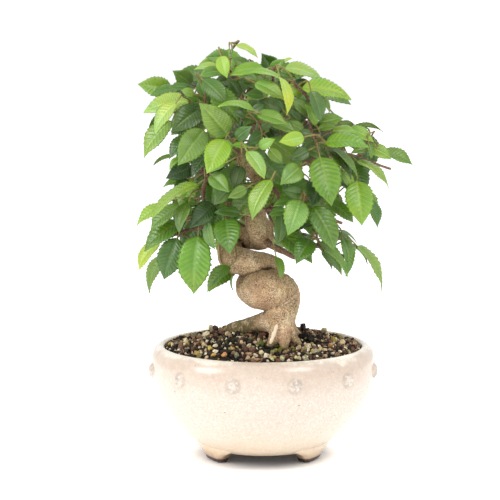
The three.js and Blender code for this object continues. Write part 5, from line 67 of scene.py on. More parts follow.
# Each shoot: twigs as (centre line, leaf or None), and leaves stalked straight off a twig as (node, elbow, leaf). A leaf is base, tip, normal, width, youth.
SHOOTS = [
    {"name": "shoot_back_high", "twigs": [
        ([[4.03,30.42,232.94,1.12],[1.56,36.02,228.11,0.77]], None),
        ([[1.56,36.02,228.11,0.77],[2.84,42.83,221.54,0.49],[5.44,46.48,218.5,0.49],[8.91,48.92,216.37,0.49],[14.19,49.6,213.7,0.49]], [13.72,53.36,209.05,11.7,69.65,188.88,-0.136,0.764,0.631,15.19,0.52]),
        ([[1.56,36.02,228.11,0.77],[-7.8,38.05,227.01,0.49]], [-8.54,42.9,223.56,-11.79,64.26,208.34,-0.078,0.57,0.818,15.0,0.34]),
        ([[1.56,36.02,228.11,0.77],[2.21,40.69,228.97,0.49],[2.33,44.5,230.68,0.49],[1.74,47.13,233.45,0.49],[1.32,47.84,235.19,0.49],[0.81,48.09,237.07,0.49],[-0.75,47.3,241.04,0.49],[-6.96,43.02,249.42,0.49]], [-9.86,43.66,244.21,-22.12,46.4,222.11,-0.663,0.603,0.443,14.32,0.43]),
        ([[1.56,36.02,228.11,0.77],[1.61,37.24,223.32,0.49],[3.0,38.94,219.17,0.49],[7.97,43.88,213.65,0.49]], [3.79,47.31,211.03,-15.22,62.87,199.12,0.08,0.665,0.742,15.65,0.18]),
        ([[4.03,30.42,232.94,1.12],[6.17,29.04,234.21,0.94]], None),
        ([[6.17,29.04,234.21,0.94],[9.87,33.14,236.57,0.49],[13.11,39.72,239.7,0.49]], [16.55,43.45,236.49,32.36,60.59,221.77,0.228,0.505,0.832,14.44,0.61]),
        ([[6.17,29.04,234.21,0.94],[8.14,27.14,235.31,0.89]], None),
        ([[8.14,27.14,235.31,0.89],[10.09,25.31,234.69,0.69]], None),
        ([[10.09,25.31,234.69,0.69],[10.96,17.07,230.85,0.49]], [11.86,21.11,226.51,15.62,38.2,208.16,0.197,0.697,0.689,13.26,0.43]),
        ([[10.09,25.31,234.69,0.69],[16.94,22.46,227.07,0.49]], [17.96,28.61,226.97,22.76,53.26,229.22,0.048,-0.1,0.994,14.68,0.31]),
        ([[10.09,25.31,234.69,0.69],[16.9,19.02,234.56,0.49],[20.8,15.0,233.39,0.49],[24.0,10.99,231.53,0.49],[25.85,6.96,230.01,0.49],[26.12,0.79,229.51,0.49]], [31.65,-1.08,228.13,54.03,-8.67,222.53,0.042,-0.51,0.859,14.75,0.27]),
        ([[8.14,27.14,235.31,0.89],[9.62,25.32,237.62,0.69]], None),
        ([[9.62,25.32,237.62,0.69],[10.75,22.95,242.75,0.49],[11.28,21.9,249.35,0.49]], [11.32,27.64,247.61,11.51,58.24,238.34,0.263,0.278,0.924,17.85,0.38]),
        ([[9.62,25.32,237.62,0.69],[11.76,22.6,242.77,0.49],[12.22,20.08,249.46,0.49]], [8.73,23.71,246.2,-10.42,43.63,228.33,-0.21,0.533,0.819,18.26,0.0]),
        ([[9.62,25.32,237.62,0.69],[11.91,21.05,238.68,0.49],[12.79,17.0,238.95,0.49],[13.01,4.43,238.02,0.49]], [8.67,-0.52,239.12,-10.76,-12.85,237.84,0.397,-0.689,0.607,13.9,0.3]),
        ([[2.0,28.0,232.0,1.17],[4.03,30.42,232.94,1.12]], None),
    ], "stalked": [
    ]},
    {"name": "shoot_back_left_high", "twigs": [
        ([[-51.02,37.54,204.24,0.69],[-45.07,39.14,204.16,0.61]], None),
        ([[-45.07,39.14,204.16,0.61],[-41.08,40.71,206.11,0.49],[-35.29,44.67,211.33,0.49]], [-39.6,45.94,207.35,-57.32,51.19,190.96,-0.481,0.538,0.692,14.3,0.76]),
        ([[-45.07,39.14,204.16,0.61],[-43.16,39.49,204.28,0.49]], [-45.14,42.04,199.22,-53.57,52.84,177.71,-0.652,0.543,0.528,13.26,0.35]),
        ([[-51.02,37.54,204.24,0.69],[-52.61,37.61,210.85,0.49],[-53.11,38.3,216.99,0.49],[-53.82,37.15,222.81,0.49],[-54.43,34.53,226.04,0.49],[-54.55,32.8,227.25,0.49],[-54.16,28.95,228.8,0.49],[-52.99,24.91,229.65,0.49]], [-58.52,22.83,230.69,-78.94,15.17,234.54,0.363,-0.929,0.075,12.74,0.5]),
        ([[-48.0,36.0,204.0,0.73],[-51.02,37.54,204.24,0.69]], None),
    ], "stalked": [
    ]},
    {"name": "shoot_back_left_low_1", "twigs": [
        ([[-26.7,29.49,151.87,0.99],[-25.18,34.78,147.15,0.49],[-21.15,39.37,143.72,0.49]], [-21.68,43.02,138.98,-24.14,59.73,117.29,-0.413,0.698,0.584,15.78,0.71]),
        ([[-26.7,29.49,151.87,0.99],[-28.52,28.95,153.06,0.94]], None),
        ([[-28.52,28.95,153.06,0.94],[-32.18,25.34,155.19,0.77]], None),
        ([[-32.18,25.34,155.19,0.77],[-34.08,23.84,156.43,0.69]], None),
        ([[-34.08,23.84,156.43,0.69],[-35.89,24.23,162.95,0.49],[-38.03,24.62,167.07,0.49],[-45.71,23.69,175.9,0.49]], [-47.5,21.97,170.43,-55.88,13.91,144.82,-0.91,0.374,0.18,16.84,0.5]),
        ([[-34.08,23.84,156.43,0.69],[-39.89,21.21,156.84,0.49]], [-42.17,26.76,157.14,-51.62,49.83,158.41,-0.644,-0.302,0.703,14.61,0.27]),
        ([[-34.08,23.84,156.43,0.69],[-37.17,18.44,158.23,0.49]], [-41.09,16.06,154.36,-58.15,5.72,137.49,-0.744,0.492,0.451,15.22,0.45]),
        ([[-32.18,25.34,155.19,0.77],[-32.91,19.04,155.07,0.49],[-32.36,9.54,155.13,0.49]], [-36.11,9.21,150.46,-52.25,7.8,130.36,-0.258,-0.927,0.272,15.74,0.15]),
        ([[-28.52,28.95,153.06,0.94],[-29.97,30.08,154.27,0.69]], None),
        ([[-29.97,30.08,154.27,0.69],[-30.66,31.13,156.6,0.61]], None),
        ([[-30.66,31.13,156.6,0.61],[-30.61,31.49,167.03,0.49],[-29.58,32.85,171.15,0.49],[-27.81,35.3,175.39,0.49]], [-31.7,38.44,172.08,-49.32,52.64,157.07,-0.092,0.667,0.739,14.74,0.38]),
        ([[-30.66,31.13,156.6,0.61],[-32.27,36.92,163.28,0.49]], [-34.49,39.72,158.46,-43.75,51.38,138.36,-0.225,0.794,0.564,14.76,0.47]),
        ([[-29.97,30.08,154.27,0.69],[-34.72,31.95,151.83,0.49],[-40.99,32.93,147.89,0.49],[-47.0,33.0,142.86,0.49],[-61.12,33.08,129.13,0.49]], [-63.58,32.75,123.66,-74.75,31.25,98.87,-0.777,-0.502,0.38,15.35,0.3]),
        ([[-23.04,31.2,151.74,1.04],[-26.7,29.49,151.87,0.99]], None),
    ], "stalked": [
    ]},
    {"name": "shoot_back_left_low_2", "twigs": [
        ([[-18.19,23.56,146.69,0.94],[-19.26,21.5,147.32,0.61]], None),
        ([[-19.26,21.5,147.32,0.61],[-17.73,17.55,151.11,0.49],[-16.36,14.63,155.03,0.49],[-15.81,12.09,161.05,0.49]], [-15.1,17.9,159.75,-11.74,45.59,153.52,-0.445,0.247,0.861,17.11,0.59]),
        ([[-19.26,21.5,147.32,0.61],[-26.76,17.03,145.06,0.49],[-32.99,15.94,141.65,0.49]], [-34.51,20.33,137.85,-41.84,41.52,119.45,-0.926,0.008,0.378,17.05,0.25]),
        ([[-18.19,23.56,146.69,0.94],[-14.79,24.27,145.24,0.83],[-11.48,25.61,143.01,0.83]], None),
        ([[-11.48,25.61,143.01,0.83],[-9.82,27.25,141.86,0.77]], None),
        ([[-9.82,27.25,141.86,0.77],[-3.08,28.95,138.07,0.49],[3.05,30.68,136.99,0.49]], [4.37,36.14,134.89,10.92,63.22,124.48,0.582,0.165,0.796,15.73,0.4]),
        ([[-9.82,27.25,141.86,0.77],[-8.49,29.35,143.15,0.49]], [-11.18,32.37,138.71,-21.75,44.26,121.27,-0.455,0.583,0.673,12.52,0.65]),
        ([[-9.82,27.25,141.86,0.77],[-7.28,29.6,140.22,0.49]], [-8.9,35.37,140.5,-17.53,66.15,141.95,-0.169,-0.094,0.981,17.99,0.47]),
        ([[-9.82,27.25,141.86,0.77],[-10.47,33.53,134.05,0.49]], [-15.68,30.65,134.82,-39.36,17.59,138.33,0.382,-0.48,0.79,15.14,0.36]),
        ([[-11.48,25.61,143.01,0.83],[-9.5,20.82,137.01,0.49],[-9.53,19.19,132.98,0.49],[-10.78,18.18,128.84,0.49],[-14.9,16.76,122.19,0.49]], [-18.72,13.71,118.71,-34.3,1.27,104.53,-0.106,-0.687,0.719,14.21,0.36]),
        ([[-16.06,22.81,150.36,0.99],[-18.19,23.56,146.69,0.94]], None),
    ], "stalked": [
    ]},
    {"name": "shoot_back_left_mid", "twigs": [
        ([[-21.14,20.04,199.5,1.03],[-20.46,22.27,200.39,0.99]], None),
        ([[-20.46,22.27,200.39,0.99],[-24.82,25.75,200.73,0.49],[-31.11,31.05,200.22,0.49]], [-35.35,31.56,196.01,-55.6,33.99,175.91,-0.511,0.625,0.59,15.31,0.63]),
        ([[-20.46,22.27,200.39,0.99],[-19.44,24.49,201.21,0.94]], None),
        ([[-19.44,24.49,201.21,0.94],[-19.55,26.3,203.87,0.61]], None),
        ([[-19.55,26.3,203.87,0.61],[-19.76,29.62,211.39,0.49]], [-19.15,32.81,206.35,-16.7,45.75,185.95,-0.461,0.774,0.435,13.5,0.6]),
        ([[-19.55,26.3,203.87,0.61],[-21.53,33.1,209.13,0.49]], [-24.06,36.57,204.95,-35.26,51.91,186.42,-0.298,0.639,0.709,14.27,0.11]),
        ([[-19.44,24.49,201.21,0.94],[-18.03,26.73,200.27,0.77]], None),
        ([[-18.03,26.73,200.27,0.77],[-21.99,33.45,196.67,0.49]], [-27.63,34.89,195.2,-52.2,41.14,188.78,-0.071,0.565,0.822,13.91,0.21]),
        ([[-18.03,26.73,200.27,0.77],[-14.32,30.73,198.03,0.69]], None),
        ([[-14.32,30.73,198.03,0.69],[-16.26,33.63,193.31,0.49],[-19.31,36.38,189.21,0.49],[-22.9,39.1,185.8,0.49],[-28.26,42.7,182.2,0.49]], [-29.15,46.0,177.27,-33.37,61.49,154.06,-0.324,0.758,0.565,16.03,0.0]),
        ([[-14.32,30.73,198.03,0.69],[-8.05,36.42,197.93,0.61]], None),
        ([[-8.05,36.42,197.93,0.61],[-1.28,39.6,201.7,0.49]], [-2.18,43.38,197.13,-6.18,60.21,176.76,-0.296,0.707,0.642,15.03,0.68]),
        ([[-8.05,36.42,197.93,0.61],[-7.29,40.86,198.36,0.49],[-7.52,49.2,200.49,0.49]], [-9.72,53.01,195.91,-14.8,65.93,166.33,-0.604,0.687,0.404,18.68,0.66]),
        ([[-19.44,24.49,201.21,0.94],[-16.96,32.88,209.94,0.49]], [-11.15,32.13,208.65,15.34,28.74,202.8,-0.007,-0.879,0.476,15.95,0.09]),
        ([[-23.34,17.8,196.89,1.09],[-21.14,20.04,199.5,1.03]], None),
    ], "stalked": [
    ]},
    {"name": "shoot_back_low", "twigs": [
        ([[0.85,54.95,158.52,0.77],[-0.17,53.28,159.05,0.77]], None),
        ([[-0.17,53.28,159.05,0.77],[3.66,48.95,165.78,0.49]], [9.18,51.23,165.17,37.65,63.0,162.0,-0.253,0.769,0.588,18.27,0.07]),
        ([[-0.17,53.28,159.05,0.77],[-1.98,51.87,158.52,0.69]], None),
        ([[-1.98,51.87,158.52,0.69],[-2.8,51.18,154.9,0.49],[-2.65,50.57,148.75,0.49],[-3.43,49.89,144.36,0.49]], [0.67,53.64,142.1,20.79,72.08,131.02,-0.135,0.614,0.777,17.26,0.27]),
        ([[-1.98,51.87,158.52,0.69],[-9.43,46.37,162.97,0.49]], [-11.85,50.65,159.53,-21.69,68.1,145.49,-0.263,0.511,0.819,13.35,0.59]),
        ([[2.0,52.0,160.0,0.8],[0.85,54.95,158.52,0.77]], None),
    ], "stalked": [
    ]},
    {"name": "shoot_back_mid_1", "twigs": [
        ([[2.9,39.61,167.66,0.69],[-1.13,38.99,169.6,0.49],[-3.22,39.33,170.34,0.49],[-9.99,43.09,171.85,0.49]], [-8.41,48.51,169.8,-1.45,72.3,160.79,-0.221,0.401,0.889,15.01,0.12]),
        ([[2.9,39.61,167.66,0.69],[1.44,40.86,173.13,0.49],[1.5,42.36,177.03,0.49],[2.65,44.36,181.06,0.49],[6.23,48.42,187.27,0.49]], [7.48,52.94,183.53,13.95,76.21,164.24,-0.022,0.642,0.767,17.59,0.09]),
        ([[2.9,39.61,167.66,0.69],[3.85,40.26,163.57,0.49],[5.21,41.3,162.4,0.49],[6.42,42.82,162.22,0.49]], [6.69,48.95,159.31,9.57,66.73,142.05,-0.141,0.701,0.699,13.65,0.43]),
        ([[5.99,38.09,165.97,0.73],[2.9,39.61,167.66,0.69]], None),
    ], "stalked": [
    ]},
    {"name": "shoot_back_mid_2", "twigs": [
        ([[3.67,24.25,171.81,0.69],[-2.87,24.85,174.27,0.49],[-19.69,24.41,178.77,0.49]], [-18.31,29.4,175.75,-12.56,50.06,163.25,-0.47,0.549,0.691,14.83,0.26]),
        ([[3.67,24.25,171.81,0.69],[6.7,23.44,170.01,0.49],[7.7,23.12,166.58,0.49],[7.06,23.1,162.55,0.49],[4.95,23.23,158.0,0.49]], [7.33,26.35,153.47,17.34,39.46,134.47,-0.084,0.84,0.536,13.37,0.53]),
        ([[3.67,24.25,171.81,0.69],[3.32,24.86,177.17,0.49],[3.94,25.07,181.08,0.49],[8.3,26.09,189.66,0.49]], [10.75,28.59,184.79,23.85,41.98,158.71,0.056,0.876,0.478,17.54,0.27]),
        ([[4.58,22.64,168.05,0.73],[3.67,24.25,171.81,0.69]], None),
    ], "stalked": [
    ]},
    {"name": "shoot_back_right_low", "twigs": [
        ([[33.1,27.95,148.22,0.83],[36.71,28.28,152.69,0.61]], None),
        ([[36.71,28.28,152.69,0.61],[46.99,30.56,162.87,0.49],[54.92,30.46,169.48,0.49]], [58.23,33.97,165.91,75.02,51.79,147.79,0.247,0.566,0.786,16.08,0.41]),
        ([[36.71,28.28,152.69,0.61],[41.22,30.16,160.99,0.49],[43.4,29.86,164.96,0.49],[45.56,27.85,168.73,0.49],[47.92,22.21,173.63,0.49]], [51.39,26.96,174.83,68.44,50.34,180.77,-0.123,-0.159,0.98,15.72,0.49]),
        ([[33.1,27.95,148.22,0.83],[33.36,23.37,147.79,0.69]], None),
        ([[33.36,23.37,147.79,0.69],[39.03,17.03,145.45,0.49],[43.01,13.07,142.58,0.49],[49.13,7.89,136.95,0.49],[55.65,4.68,130.83,0.49]], [54.87,10.6,131.46,51.41,37.0,134.27,0.828,0.049,0.558,14.16,0.86]),
        ([[33.36,23.37,147.79,0.69],[31.42,17.03,147.23,0.49],[30.99,9.03,146.01,0.49],[30.91,5.18,143.88,0.49],[30.55,-0.09,138.27,0.49]], [36.48,-1.01,138.06,56.69,-4.17,137.34,-0.034,-0.424,0.905,12.5,0.29]),
        ([[33.36,23.37,147.79,0.69],[32.85,16.89,145.29,0.49],[32.12,10.3,140.16,0.49]], [34.86,9.23,134.93,43.98,5.66,117.53,0.731,-0.483,0.482,11.94,0.14]),
        ([[30.54,29.95,150.6,0.87],[33.1,27.95,148.22,0.83]], None),
    ], "stalked": [
    ]},
    {"name": "shoot_back_right_mid_1", "twigs": [
        ([[21.02,24.25,147.62,1.08],[17.82,23.59,151.04,0.49],[13.72,21.53,158.57,0.49]], [10.61,26.24,156.53,-1.99,45.36,148.24,-0.456,0.084,0.886,13.18,0.41]),
        ([[21.02,24.25,147.62,1.08],[21.9,26.31,145.44,0.61]], None),
        ([[21.9,26.31,145.44,0.61],[24.38,31.37,138.91,0.49],[24.49,36.49,132.25,0.49]], [24.3,41.96,129.78,23.39,68.45,117.84,0.306,0.4,0.864,16.77,0.24]),
        ([[21.9,26.31,145.44,0.61],[22.38,32.99,139.3,0.49]], [23.27,38.64,137.49,27.87,67.91,128.12,0.497,0.193,0.846,17.62,0.09]),
        ([[21.02,24.25,147.62,1.08],[21.93,28.66,151.13,0.89],[21.65,34.62,155.98,0.89]], None),
        ([[21.65,34.62,155.98,0.89],[23.8,41.92,156.97,0.49]], [29.67,43.22,157.32,53.61,48.45,157.04,-0.127,0.624,0.771,13.08,0.43]),
        ([[21.65,34.62,155.98,0.89],[25.21,33.87,160.73,0.49],[28.89,34.13,165.03,0.49],[32.31,35.96,169.33,0.49],[35.23,38.98,173.84,0.49]], [37.4,43.75,170.93,47.4,65.64,157.56,0.092,0.488,0.868,15.1,0.23]),
        ([[21.65,34.62,155.98,0.89],[21.98,39.87,160.33,0.49]], [26.22,40.34,155.62,36.43,37.73,134.64,0.781,0.54,0.313,12.5,0.47]),
        ([[21.65,34.62,155.98,0.89],[20.44,36.71,157.9,0.61]], None),
        ([[20.44,36.71,157.9,0.61],[16.49,40.96,159.98,0.49]], [18.29,45.76,156.86,26.35,67.34,142.8,0.603,0.265,0.753,15.36,0.27]),
        ([[21.65,34.62,155.98,0.89],[14.67,42.4,151.89,0.49]], [11.39,44.56,156.43,-3.59,54.43,177.12,0.063,-0.882,0.466,15.48,0.47]),
        ([[21.01,22.6,151.58,1.13],[21.02,24.25,147.62,1.08]], None),
    ], "stalked": [
    ]},
    {"name": "shoot_back_right_mid_2", "twigs": [
        ([[27.92,32.36,209.78,1.12],[28.93,31.04,210.53,0.77]], None),
        ([[28.93,31.04,210.53,0.77],[33.04,19.01,210.55,0.49]], [35.75,21.41,205.77,50.28,34.18,180.21,0.503,0.624,0.598,18.11,0.59]),
        ([[28.93,31.04,210.53,0.77],[30.68,27.03,212.09,0.49],[32.61,23.03,212.77,0.49],[35.29,19.13,212.68,0.49],[40.23,13.67,211.49,0.49]], [45.36,15.26,208.81,65.31,21.46,198.35,0.365,0.308,0.879,13.95,0.19]),
        ([[28.93,31.04,210.53,0.77],[35.43,32.75,214.6,0.49]], [39.61,35.0,210.94,61.64,46.89,191.69,0.394,0.509,0.765,18.38,0.4]),
        ([[28.93,31.04,210.53,0.77],[29.07,23.0,210.67,0.49],[29.73,14.9,208.66,0.49]], [33.39,10.22,207.8,47.97,-8.41,204.39,0.305,0.065,0.95,13.46,0.23]),
        ([[27.92,32.36,209.78,1.12],[26.94,34.18,211.43,0.61]], None),
        ([[26.94,34.18,211.43,0.61],[27.05,41.18,218.88,0.49]], [27.17,47.53,219.24,24.17,72.57,212.78,0.386,0.273,0.881,15.39,0.56]),
        ([[26.94,34.18,211.43,0.61],[20.98,37.9,215.26,0.49],[16.94,38.54,216.52,0.49],[12.85,38.34,216.94,0.49]], [14.05,42.57,212.86,19.29,61.05,195.04,-0.07,0.702,0.708,14.15,0.42]),
        ([[27.92,32.36,209.78,1.12],[28.88,40.47,207.42,0.83]], None),
        ([[28.88,40.47,207.42,0.83],[19.2,41.42,198.29,0.49],[13.99,43.15,193.56,0.49]], [16.24,48.55,192.25,24.98,69.58,187.15,0.203,0.151,0.968,12.14,0.26]),
        ([[28.88,40.47,207.42,0.83],[21.74,50.55,216.99,0.49]], [21.33,54.99,213.17,18.56,78.14,190.77,0.289,0.683,0.671,18.51,0.38]),
        ([[28.88,40.47,207.42,0.83],[30.55,42.4,206.85,0.69]], None),
        ([[30.55,42.4,206.85,0.69],[32.31,44.15,202.92,0.49],[35.95,46.08,195.01,0.49],[40.93,47.92,189.17,0.49],[46.33,49.1,183.86,0.49]], [45.88,53.01,179.33,43.57,73.42,155.65,0.009,0.758,0.652,18.6,0.35]),
        ([[30.55,42.4,206.85,0.69],[32.43,44.47,207.08,0.61]], None),
        ([[32.43,44.47,207.08,0.61],[37.09,46.99,208.64,0.49],[41.62,48.35,210.02,0.49]], [36.05,47.29,211.98,7.75,41.89,221.93,0.244,0.373,0.895,18.25,0.42]),
        ([[32.43,44.47,207.08,0.61],[33.69,46.77,206.8,0.49]], [35.79,50.43,202.53,47.6,71.07,178.45,0.12,0.724,0.679,19.51,0.32]),
        ([[26.54,30.76,206.83,1.17],[27.92,32.36,209.78,1.12]], None),
    ], "stalked": [
    ]},
    {"name": "shoot_front_high_1", "twigs": [
        ([[-2.89,-45.28,208.12,0.83],[-3.96,-42.65,210.8,0.49],[-4.86,-40.98,213.56,0.49]], [-10.58,-41.58,215.37,-18.91,-43.08,218.38,0.323,-0.81,0.49,4.95,0.1]),
        ([[-2.89,-45.28,208.12,0.83],[-2.54,-50.97,211.88,0.77]], None),
        ([[-2.54,-50.97,211.88,0.77],[-1.35,-53.71,207.0,0.49],[-1.08,-53.3,201.63,0.49]], [3.02,-52.41,196.85,11.25,-54.76,188.13,-0.026,-0.971,0.238,7.07,0.35]),
        ([[-2.54,-50.97,211.88,0.77],[-0.92,-53.12,213.55,0.49]], [4.75,-53.42,211.6,20.04,-54.23,206.35,0.202,-0.689,0.696,9.07,0.3]),
        ([[-2.54,-50.97,211.88,0.77],[-6.07,-55.05,215.49,0.49],[-9.76,-61.26,219.66,0.49]], [-4.12,-61.73,217.68,13.92,-63.23,211.34,0.191,-0.683,0.705,10.73,0.42]),
        ([[-2.54,-50.97,211.88,0.77],[-1.49,-55.11,214.97,0.49],[-0.1,-61.09,216.54,0.49]], [-5.87,-62.91,220.03,-26.78,-64.41,222.96,0.154,-0.32,0.935,11.82,0.6]),
        ([[-3.43,-42.0,208.85,0.87],[-2.89,-45.28,208.12,0.83]], None),
    ], "stalked": [
    ]},
    {"name": "shoot_front_high_2", "twigs": [
        ([[13.47,-18.73,224.81,0.99],[9.41,-23.19,230.57,0.99]], None),
        ([[9.41,-23.19,230.57,0.99],[12.46,-25.77,234.47,0.49]], [18.39,-26.65,234.82,28.6,-28.15,235.43,-0.157,-0.929,0.336,5.76,0.12]),
        ([[9.41,-23.19,230.57,0.99],[7.81,-24.82,232.12,0.94]], None),
        ([[7.81,-24.82,232.12,0.94],[6.12,-29.11,229.58,0.49],[5.79,-35.52,226.21,0.49]], [0.16,-38.31,227.78,-11.78,-39.81,228.39,0.13,-0.785,0.606,6.69,0.2]),
        ([[7.81,-24.82,232.12,0.94],[6.33,-26.33,233.87,0.89]], None),
        ([[6.33,-26.33,233.87,0.89],[1.65,-25.38,231.97,0.49]], [-3.97,-26.69,233.62,-14.23,-29.07,236.64,0.31,-0.881,0.359,5.99,0.12]),
        ([[6.33,-26.33,233.87,0.89],[5.31,-28.1,235.82,0.83]], None),
        ([[5.31,-28.1,235.82,0.83],[1.87,-29.29,236.01,0.49]], [-3.99,-29.73,237.24,-15.42,-30.58,239.63,0.211,-0.547,0.81,6.54,0.62]),
        ([[5.31,-28.1,235.82,0.83],[1.01,-32.78,236.61,0.49],[-7.94,-42.46,236.35,0.49],[-10.49,-46.3,238.42,0.49]], [-5.24,-46.76,235.54,11.89,-48.26,226.16,0.267,-0.748,0.607,10.95,0.6]),
        ([[5.31,-28.1,235.82,0.83],[5.88,-32.42,242.64,0.69]], None),
        ([[5.88,-32.42,242.64,0.69],[4.3,-28.99,244.69,0.49]], [9.85,-29.96,242.62,19.43,-31.64,239.04,-0.024,-0.929,0.369,5.75,0.28]),
        ([[5.88,-32.42,242.64,0.69],[7.0,-35.0,245.0,0.61]], None),
        ([[7.0,-35.0,245.0,0.61],[7.2,-35.0,246.34,0.49]], [12.76,-33.83,244.4,36.71,-28.82,236.04,0.377,-0.51,0.773,14.11,0.68]),
    ], "stalked": [
        ([7.0,-35.0,245.0], [6.07,-34.92,244.8], [0.17,-35.34,243.8,-20.74,-36.84,240.23,-0.082,-0.652,0.754,11.88,0.55]),
    ]},
    {"name": "shoot_front_high_3", "twigs": [
        ([[18.34,-14.39,218.55,1.22],[10.82,-5.23,226.46,0.69]], None),
        ([[10.82,-5.23,226.46,0.69],[6.54,-0.42,226.2,0.49]], [6.24,4.8,223.25,4.91,27.79,210.24,0.216,0.49,0.844,14.75,0.14]),
        ([[10.82,-5.23,226.46,0.69],[8.2,-0.64,235.84,0.49]], [3.74,-1.78,232.0,-11.18,-5.62,219.2,-0.269,-0.79,0.55,11.22,0.47]),
        ([[10.82,-5.23,226.46,0.69],[12.31,-0.13,233.26,0.49]], [17.1,-2.86,230.9,34.32,-12.67,222.42,-0.012,-0.666,0.746,12.33,0.27]),
        ([[18.34,-14.39,218.55,1.22],[19.07,-24.86,218.62,0.94]], None),
        ([[19.07,-24.86,218.62,0.94],[24.73,-30.38,216.04,0.61],[27.96,-32.82,212.91,0.61]], None),
        ([[27.96,-32.82,212.91,0.61],[35.04,-35.9,207.29,0.49]], [41.0,-36.48,206.86,56.5,-37.98,205.72,0.013,-0.513,0.858,8.76,0.62]),
        ([[27.96,-32.82,212.91,0.61],[28.31,-33.17,211.16,0.49]], [33.83,-35.28,212.2,47.3,-40.43,214.74,-0.371,-0.924,0.094,8.39,0.33]),
        ([[19.07,-24.86,218.62,0.94],[18.34,-26.68,218.44,0.83]], None),
        ([[18.34,-26.68,218.44,0.83],[17.74,-28.49,217.52,0.77]], None),
        ([[17.74,-28.49,217.52,0.77],[16.5,-29.04,206.92,0.49]], [22.45,-29.04,206.09,48.44,-29.03,202.47,0.09,-0.761,0.643,14.82,0.02]),
        ([[17.74,-28.49,217.52,0.77],[16.3,-32.74,216.48,0.69]], None),
        ([[16.3,-32.74,216.48,0.69],[14.85,-34.67,215.89,0.61]], None),
        ([[14.85,-34.67,215.89,0.61],[9.24,-39.04,216.73,0.49]], [4.33,-40.57,213.56,-5.82,-44.63,206.57,0.167,-0.939,0.302,7.75,0.1]),
        ([[14.85,-34.67,215.89,0.61],[13.45,-38.59,214.44,0.49],[13.01,-41.8,213.93,0.49],[15.56,-43.39,215.13,0.49]], [11.42,-43.16,219.56,6.06,-43.29,225.48,0.289,-0.926,0.242,4.47,0.1]),
        ([[16.3,-32.74,216.48,0.69],[17.07,-34.71,216.38,0.49]], [11.6,-35.25,218.78,-3.41,-36.75,225.37,0.173,-0.969,0.174,9.16,0.05]),
        ([[18.34,-26.68,218.44,0.83],[14.19,-30.6,225.4,0.49]], [10.42,-32.85,229.49,4.35,-36.48,236.08,0.336,-0.921,-0.198,5.42,0.12]),
        ([[18.34,-14.39,218.55,1.22],[13.47,-18.73,224.81,0.77],[9.4,-19.75,228.08,0.77]], None),
        ([[9.4,-19.75,228.08,0.77],[5.46,-17.55,224.68,0.49]], [2.22,-21.89,222.1,-12.16,-41.18,210.61,0.252,-0.627,0.737,15.15,0.23]),
        ([[9.4,-19.75,228.08,0.77],[6.02,-20.34,232.76,0.69]], None),
        ([[6.02,-20.34,232.76,0.69],[7.34,-15.9,245.51,0.49]], [12.51,-17.51,248.09,17.34,-19.01,250.49,-0.501,-0.576,0.646,3.04,1.0]),
        ([[6.02,-20.34,232.76,0.69],[1.9,-20.03,236.9,0.61]], None),
        ([[1.9,-20.03,236.9,0.61],[0.42,-20.59,238.98,0.49]], [4.53,-23.0,242.63,12.58,-27.73,249.8,-0.383,-0.908,-0.169,6.69,0.45]),
        ([[1.9,-20.03,236.9,0.61],[-3.61,-14.89,242.34,0.49]], [-8.81,-16.13,245.07,-19.15,-18.59,250.49,0.236,-0.972,0.007,6.74,0.3]),
        ([[19.5,-11.79,216.15,1.29],[18.34,-14.39,218.55,1.22]], None),
    ], "stalked": [
    ]},
    {"name": "shoot_front_left_high_1", "twigs": [
        ([[-39.55,-14.68,213.94,1.03],[-38.07,-18.8,214.67,1.03]], None),
        ([[-38.07,-18.8,214.67,1.03],[-39.74,-24.59,208.45,0.49]], [-43.78,-25.61,204.13,-57.48,-29.06,189.49,-0.435,-0.695,0.572,11.94,0.18]),
        ([[-38.07,-18.8,214.67,1.03],[-36.34,-22.6,217.02,0.99]], None),
        ([[-36.34,-22.6,217.02,0.99],[-34.12,-26.93,213.91,0.49],[-32.97,-30.99,212.0,0.49],[-32.07,-36.9,211.47,0.49],[-32.23,-42.5,212.2,0.49]], [-35.55,-44.81,207.76,-50.62,-55.3,187.58,0.134,-0.917,0.376,15.97,0.38]),
        ([[-36.34,-22.6,217.02,0.99],[-35.75,-24.21,218.93,0.94]], None),
        ([[-35.75,-24.21,218.93,0.94],[-33.58,-25.73,221.37,0.49]], [-35.42,-26.67,227.01,-38.95,-28.5,237.83,-0.237,-0.942,-0.236,6.38,0.3]),
        ([[-35.75,-24.21,218.93,0.94],[-39.42,-22.27,225.2,0.49]], [-45.28,-22.45,223.92,-72.93,-23.3,217.88,-0.127,-0.717,0.685,15.87,0.8]),
        ([[-35.75,-24.21,218.93,0.94],[-35.35,-26.05,220.79,0.83]], None),
        ([[-35.35,-26.05,220.79,0.83],[-34.85,-25.41,222.76,0.49]], [-39.61,-28.11,225.22,-46.67,-32.12,228.88,0.466,-0.882,-0.068,5.44,0.35]),
        ([[-35.35,-26.05,220.79,0.83],[-35.16,-28.24,222.61,0.77]], None),
        ([[-35.16,-28.24,222.61,0.77],[-34.3,-30.93,223.05,0.49]], [-38.22,-34.26,219.95,-54.98,-48.47,206.71,0.359,-0.827,0.433,14.93,0.08]),
        ([[-35.16,-28.24,222.61,0.77],[-35.35,-29.96,224.84,0.69]], None),
        ([[-35.35,-29.96,224.84,0.69],[-35.01,-34.03,230.97,0.61]], None),
        ([[-35.01,-34.03,230.97,0.61],[-32.47,-31.64,236.71,0.49]], [-29.06,-31.41,231.78,-14.61,-30.42,210.85,0.084,-0.996,0.011,15.75,0.32]),
        ([[-35.01,-34.03,230.97,0.61],[-40.31,-43.3,241.51,0.49]], [-36.07,-43.73,237.29,-21.25,-45.23,222.57,0.263,-0.897,0.356,11.69,0.22]),
        ([[-35.35,-29.96,224.84,0.69],[-36.55,-30.77,227.22,0.49]], [-41.83,-33.07,228.9,-49.47,-36.41,231.32,0.406,-0.914,0.023,5.41,0.5]),
